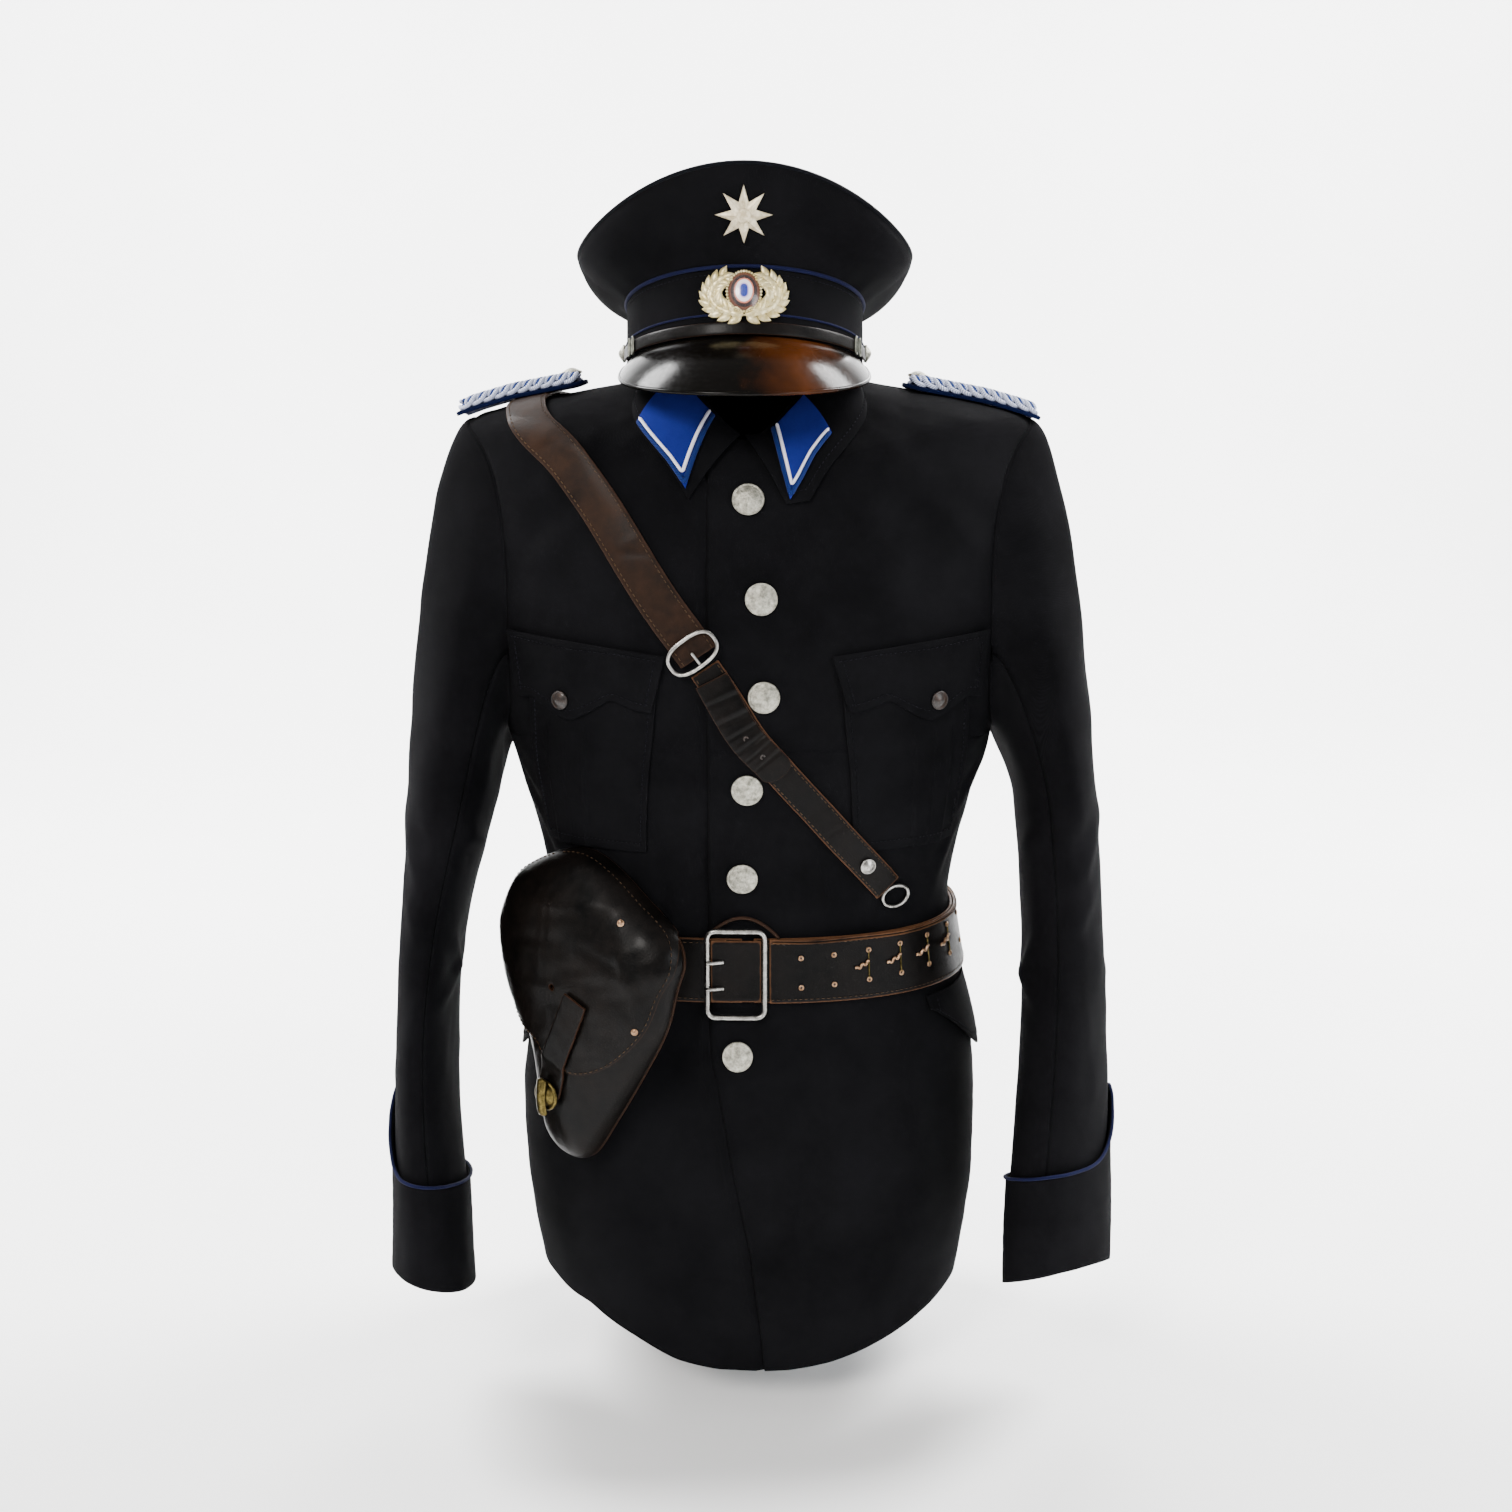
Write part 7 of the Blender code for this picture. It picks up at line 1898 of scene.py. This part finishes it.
def make_holster():
    """Back plate, pouch, flap and a row of stitches near the flap's edge."""
    index = steps(0, len(HOLSTER_OUTLINE), 211)[:-1][None, :]
    edge = outline_at(index[0])
    share = steps(1.0, 0.03, 12)[:, None]
    right = HOLSTER_HEART[0] + (edge[:, 0] - HOLSTER_HEART[0]) * share
    up = HOLSTER_HEART[1] + (edge[:, 1] - HOLSTER_HEART[1]) * share
    plate = holster_world(right, up, 0 * up)
    make("holster_back_leather", HOLSTER_LEATHER, plate, closed=True, wall=HOLSTER_WALL, rim=0.0006,
         replaces=["holster_back"])
    share = np.concatenate([1 - steps(0.0, 0.75, 16) ** 2 * 0.32 / 0.5625, steps(0.66, 0.03, 22)])[:, None]
    grid = pouch(index, share)
    grid = lay(grid, pouch_relief(index, share, 51) * (share < 0.97), closed=True)
    make("holster_pouch_leather", HOLSTER_LEATHER, grid, closed=True, wall=HOLSTER_WALL, rim=0.0006,
         replaces=["holster_pouch"])
    reach = share * edge[None, :, 2]
    grid = lay(pouch(index, reach), 2.0 * REST + HOLSTER_WALL + pouch_relief(index, reach, 53)
               * (1 - np.exp(-((1 - share) / 0.03) ** 2)), closed=True)
    make("holster_flap_leather", HOLSTER_LEATHER, grid, closed=True, wall=HOLSTER_WALL, rim=0.0007,
         replaces=["holster_flap"])
    normal = across_grid(grid, closed=True)
    make("holster_flap_stitches", TAN_THREAD, stitches(grid[4], normal[4], 0.0036, 0.0014, 0.00045))


make_holster()


def make_closing_strap():
    """Strap over the flap, brass clasp plate with its hook, and two studs."""
    path = between_levels(((0.032, -0.014), (0.022, -0.041), (0.012, -0.067), (0.003, -0.097)),
                          steps(0, 3, 60))
    run = np.gradient(path, axis=0)
    run = unit(run)
    side = np.stack([run[:, 1], -run[:, 0]], -1)
    lift = np.interp(path[:, 1], [-0.092, -0.080, -0.068, 0.0], [0.0012, 0.0018, 0.0061, 0.0062])
    share = steps(0.5, -0.5, 11)[:, None]
    right = path[:, 0] + share * 0.024 * side[:, 0]
    up = path[:, 1] + share * 0.024 * side[:, 1]
    grid = holster_world(right, up, pouch_depth(right, up) + lift + STRAP_WALL)
    grid = lay(grid, ripple(grid, 0.02, 0.0003, 55) - 0.0003 * (2 * share) ** 4)
    make("holster_strap_leather", HOLSTER_LEATHER, grid, wall=STRAP_WALL, rim=0.0006,
         replaces=["holster_strap"])
    step = np.array([-0.010, 0.010])
    right = np.array([0.004 + step[0], 0.004 + step[1], 0.004, 0.004])
    up = np.array([-0.098, -0.098, -0.098 + step[0], -0.098 + step[1]])
    probe = holster_world(right, up, pouch_depth(right, up) + 0.0012 + STRAP_WALL)
    facing = np.cross(probe[1] - probe[0], probe[3] - probe[2])
    facing = unit(facing)
    middle = probe.mean(axis=0) + 0.0011 * facing
    plate = [(0.0, 0.0), (0.0115, 0.0), (0.0125, 0.0010), (0.0122, 0.0024), (0.0108, 0.0030),
             (0.0095, 0.0024),
             (0.0090, 0.0022), (0.0070, 0.0038), (0.0045, 0.0055), (0.0020, 0.0062), (0.0001, 0.0063)]
    make("holster_clasp_brass", BRASS, turned(plate, middle, facing, 40), closed=True,
         replaces=["holster_clasp"])
    along = probe[3] - probe[2]
    along = unit(along)
    t = steps(-1.0, 1.0, 24)[:, None]
    hook = middle + 0.016 * t * along + (0.0050 + 0.0022 * (1 - t ** 2)) * facing
    make("holster_clasp_hook", BRASS, rounded_tube(hook, np.broadcast_to(facing, hook.shape), 0.0026, 10, flat=1.9),
         closed=True)
    studs = []
    for right, up in ((0.062, 0.052), (0.082, -0.030)):
        depth = pouch_depth(np.array(right), np.array(up)) + 0.0050
        place = holster_world(np.array(right), np.array(up), depth)
        away = place - holster_world(np.array(0.004), np.array(-0.02), np.array(0.0))
        studs.append(turned(button_profile(0.0028, 0.0020), place, unit(away) + facing, 20))
    make("holster_studs", COPPERY, np.stack(studs), closed=True)


make_closing_strap()


def make_belt_loop():
    """The loop behind the holster, from the back plate out to the belt and back."""
    angles = steps(301.0, 325.0, 40)
    low, high = -0.046, 0.046
    levels = steps(BELT_LOW_LEVEL - 0.05, BELT_HIGH_LEVEL + 0.05, 17)[:, None]
    lying = off_skin(tunic, angles[None, :], levels, REST + 2 * BELT_WALL + LAYER + 0 * angles[None, :])
    right = (lying[8] - HOLSTER_PLACE) @ holster_frame()[0]
    behind = -HOLSTER_WALL - SEAM + 0 * right
    ends = [holster_world(right, up + 0 * right, behind) for up in (low - 0.010, low, high, high + 0.010)]
    key = np.concatenate([np.stack(ends[:2]), lying[::4], np.stack(ends[2:])])
    grid = between_levels(key.reshape(len(key), -1), steps(0, len(key) - 1, 60)).reshape(60, 40, 3)
    make("holster_loop_leather", BLACK_LEATHER, grid, wall=0.0022, rim=0.0006, replaces=["holster_loop"])


make_belt_loop()
print("holster done; faces before walls", sum(triangles_used.values()))

# %% [markdown]
# ## Floor, light and camera
# A pale floor curves up into a backdrop, and broad soft lamps from the front, one side and
# behind show the nap of a nearly black cloth without hard shadows. The camera stands where the
# photograph was taken from: chest high, looking a little down, with a 35 mm lens.

# %% Studio
def studio():
    """Floor and backdrop as one swept sheet: flat, then a quarter round, then upright."""
    turn = steps(0.0, np.pi / 2, 13)
    y = np.concatenate([[-6.0, 2.0], 2.0 + 1.5 * np.sin(turn), [3.5]])
    z = np.concatenate([[0.0, 0.0], 1.5 * (1 - np.cos(turn)), [6.0]]) + FLOOR
    x = np.array([-7.0, 7.0])
    grid = np.stack([np.broadcast_to(x[None, :], (len(y), 2)), np.broadcast_to(y[:, None], (len(y), 2)),
                     np.broadcast_to(z[:, None], (len(y), 2))], -1)
    mesh = bpy.data.meshes.new("studio_floor")
    mesh.from_pydata(grid.reshape(-1, 3).tolist(), [], cell_corners(len(y), 2, False).tolist())
    mesh.polygons.foreach_set("use_smooth", np.ones(len(mesh.polygons), bool))
    floor = bpy.data.objects.new("studio_floor", mesh)
    bpy.context.scene.collection.objects.link(floor)
    finish, tree, shader = start_finish("pale_floor_paper", {"Roughness": 0.9})
    place = object_place(tree)
    tree.links.new(ramp(tree, noise(tree, place, 0.8), (0.3, "#f4f4f4"), (0.7, "#fafafa")),
                   shader.inputs["Base Color"])
    mesh.materials.append(finish)


def lamp(name, place, aim, size, power, colour=(1.0, 1.0, 1.0)):
    """An area lamp that faces a point."""
    light = bpy.data.lights.new(name, "AREA")
    light.shape = "DISK"
    light.size = size
    light.energy = power
    light.color = colour
    made = bpy.data.objects.new(name, light)
    made.location = place
    made.rotation_euler = (Vector(aim) - Vector(place)).to_track_quat("-Z", "Y").to_euler()
    bpy.context.scene.collection.objects.link(made)


FLOOR = -0.86
studio()
lamp("key", (-1.3, -2.4, 1.5), (0.0, 0.0, -0.35), 1.0, 90.0, (1.0, 0.96, 0.92))
lamp("fill", (1.9, -1.9, 0.3), (0.0, 0.0, -0.35), 1.4, 36.0, (0.94, 0.97, 1.0))
lamp("rim", (0.6, 2.0, 1.5), (0.0, 0.0, -0.2), 1.2, 45.0)
lamp("backdrop_left", (-2.2, 0.9, 1.9), (-0.4, 3.0, -0.2), 1.8, 420.0)
lamp("backdrop_right", (2.2, 0.9, 1.9), (0.4, 3.0, -0.2), 1.8, 420.0)
world = bpy.data.worlds.new("soft_room")
bpy.context.scene.world = world
world.use_nodes = True
background = world.node_tree.nodes["Background"]
background.inputs["Color"].default_value = (1.0, 1.0, 1.0, 1.0)
background.inputs["Strength"].default_value = 0.60

camera_data = bpy.data.cameras.new("photo_camera")
camera_data.sensor_width = 36.0
camera_data.lens = 35.0
camera_data.clip_start = 0.02
camera = bpy.data.objects.new("photo_camera", camera_data)
camera.location = (0.005, -1.250, -0.050)
camera.rotation_euler = (math.radians(90.0 - 12.0), 0.0, 0.0)
bpy.context.scene.collection.objects.link(camera)
bpy.context.scene.camera = camera

# %% [markdown]
# ## Counting faces
# The faces of all the pieces, before their walls, are counted and printed. Cloth may stand a
# little proud of its solid but the set must keep its size.

# %% Face count
print("faces in all, before walls:", sum(triangles_used.values()))
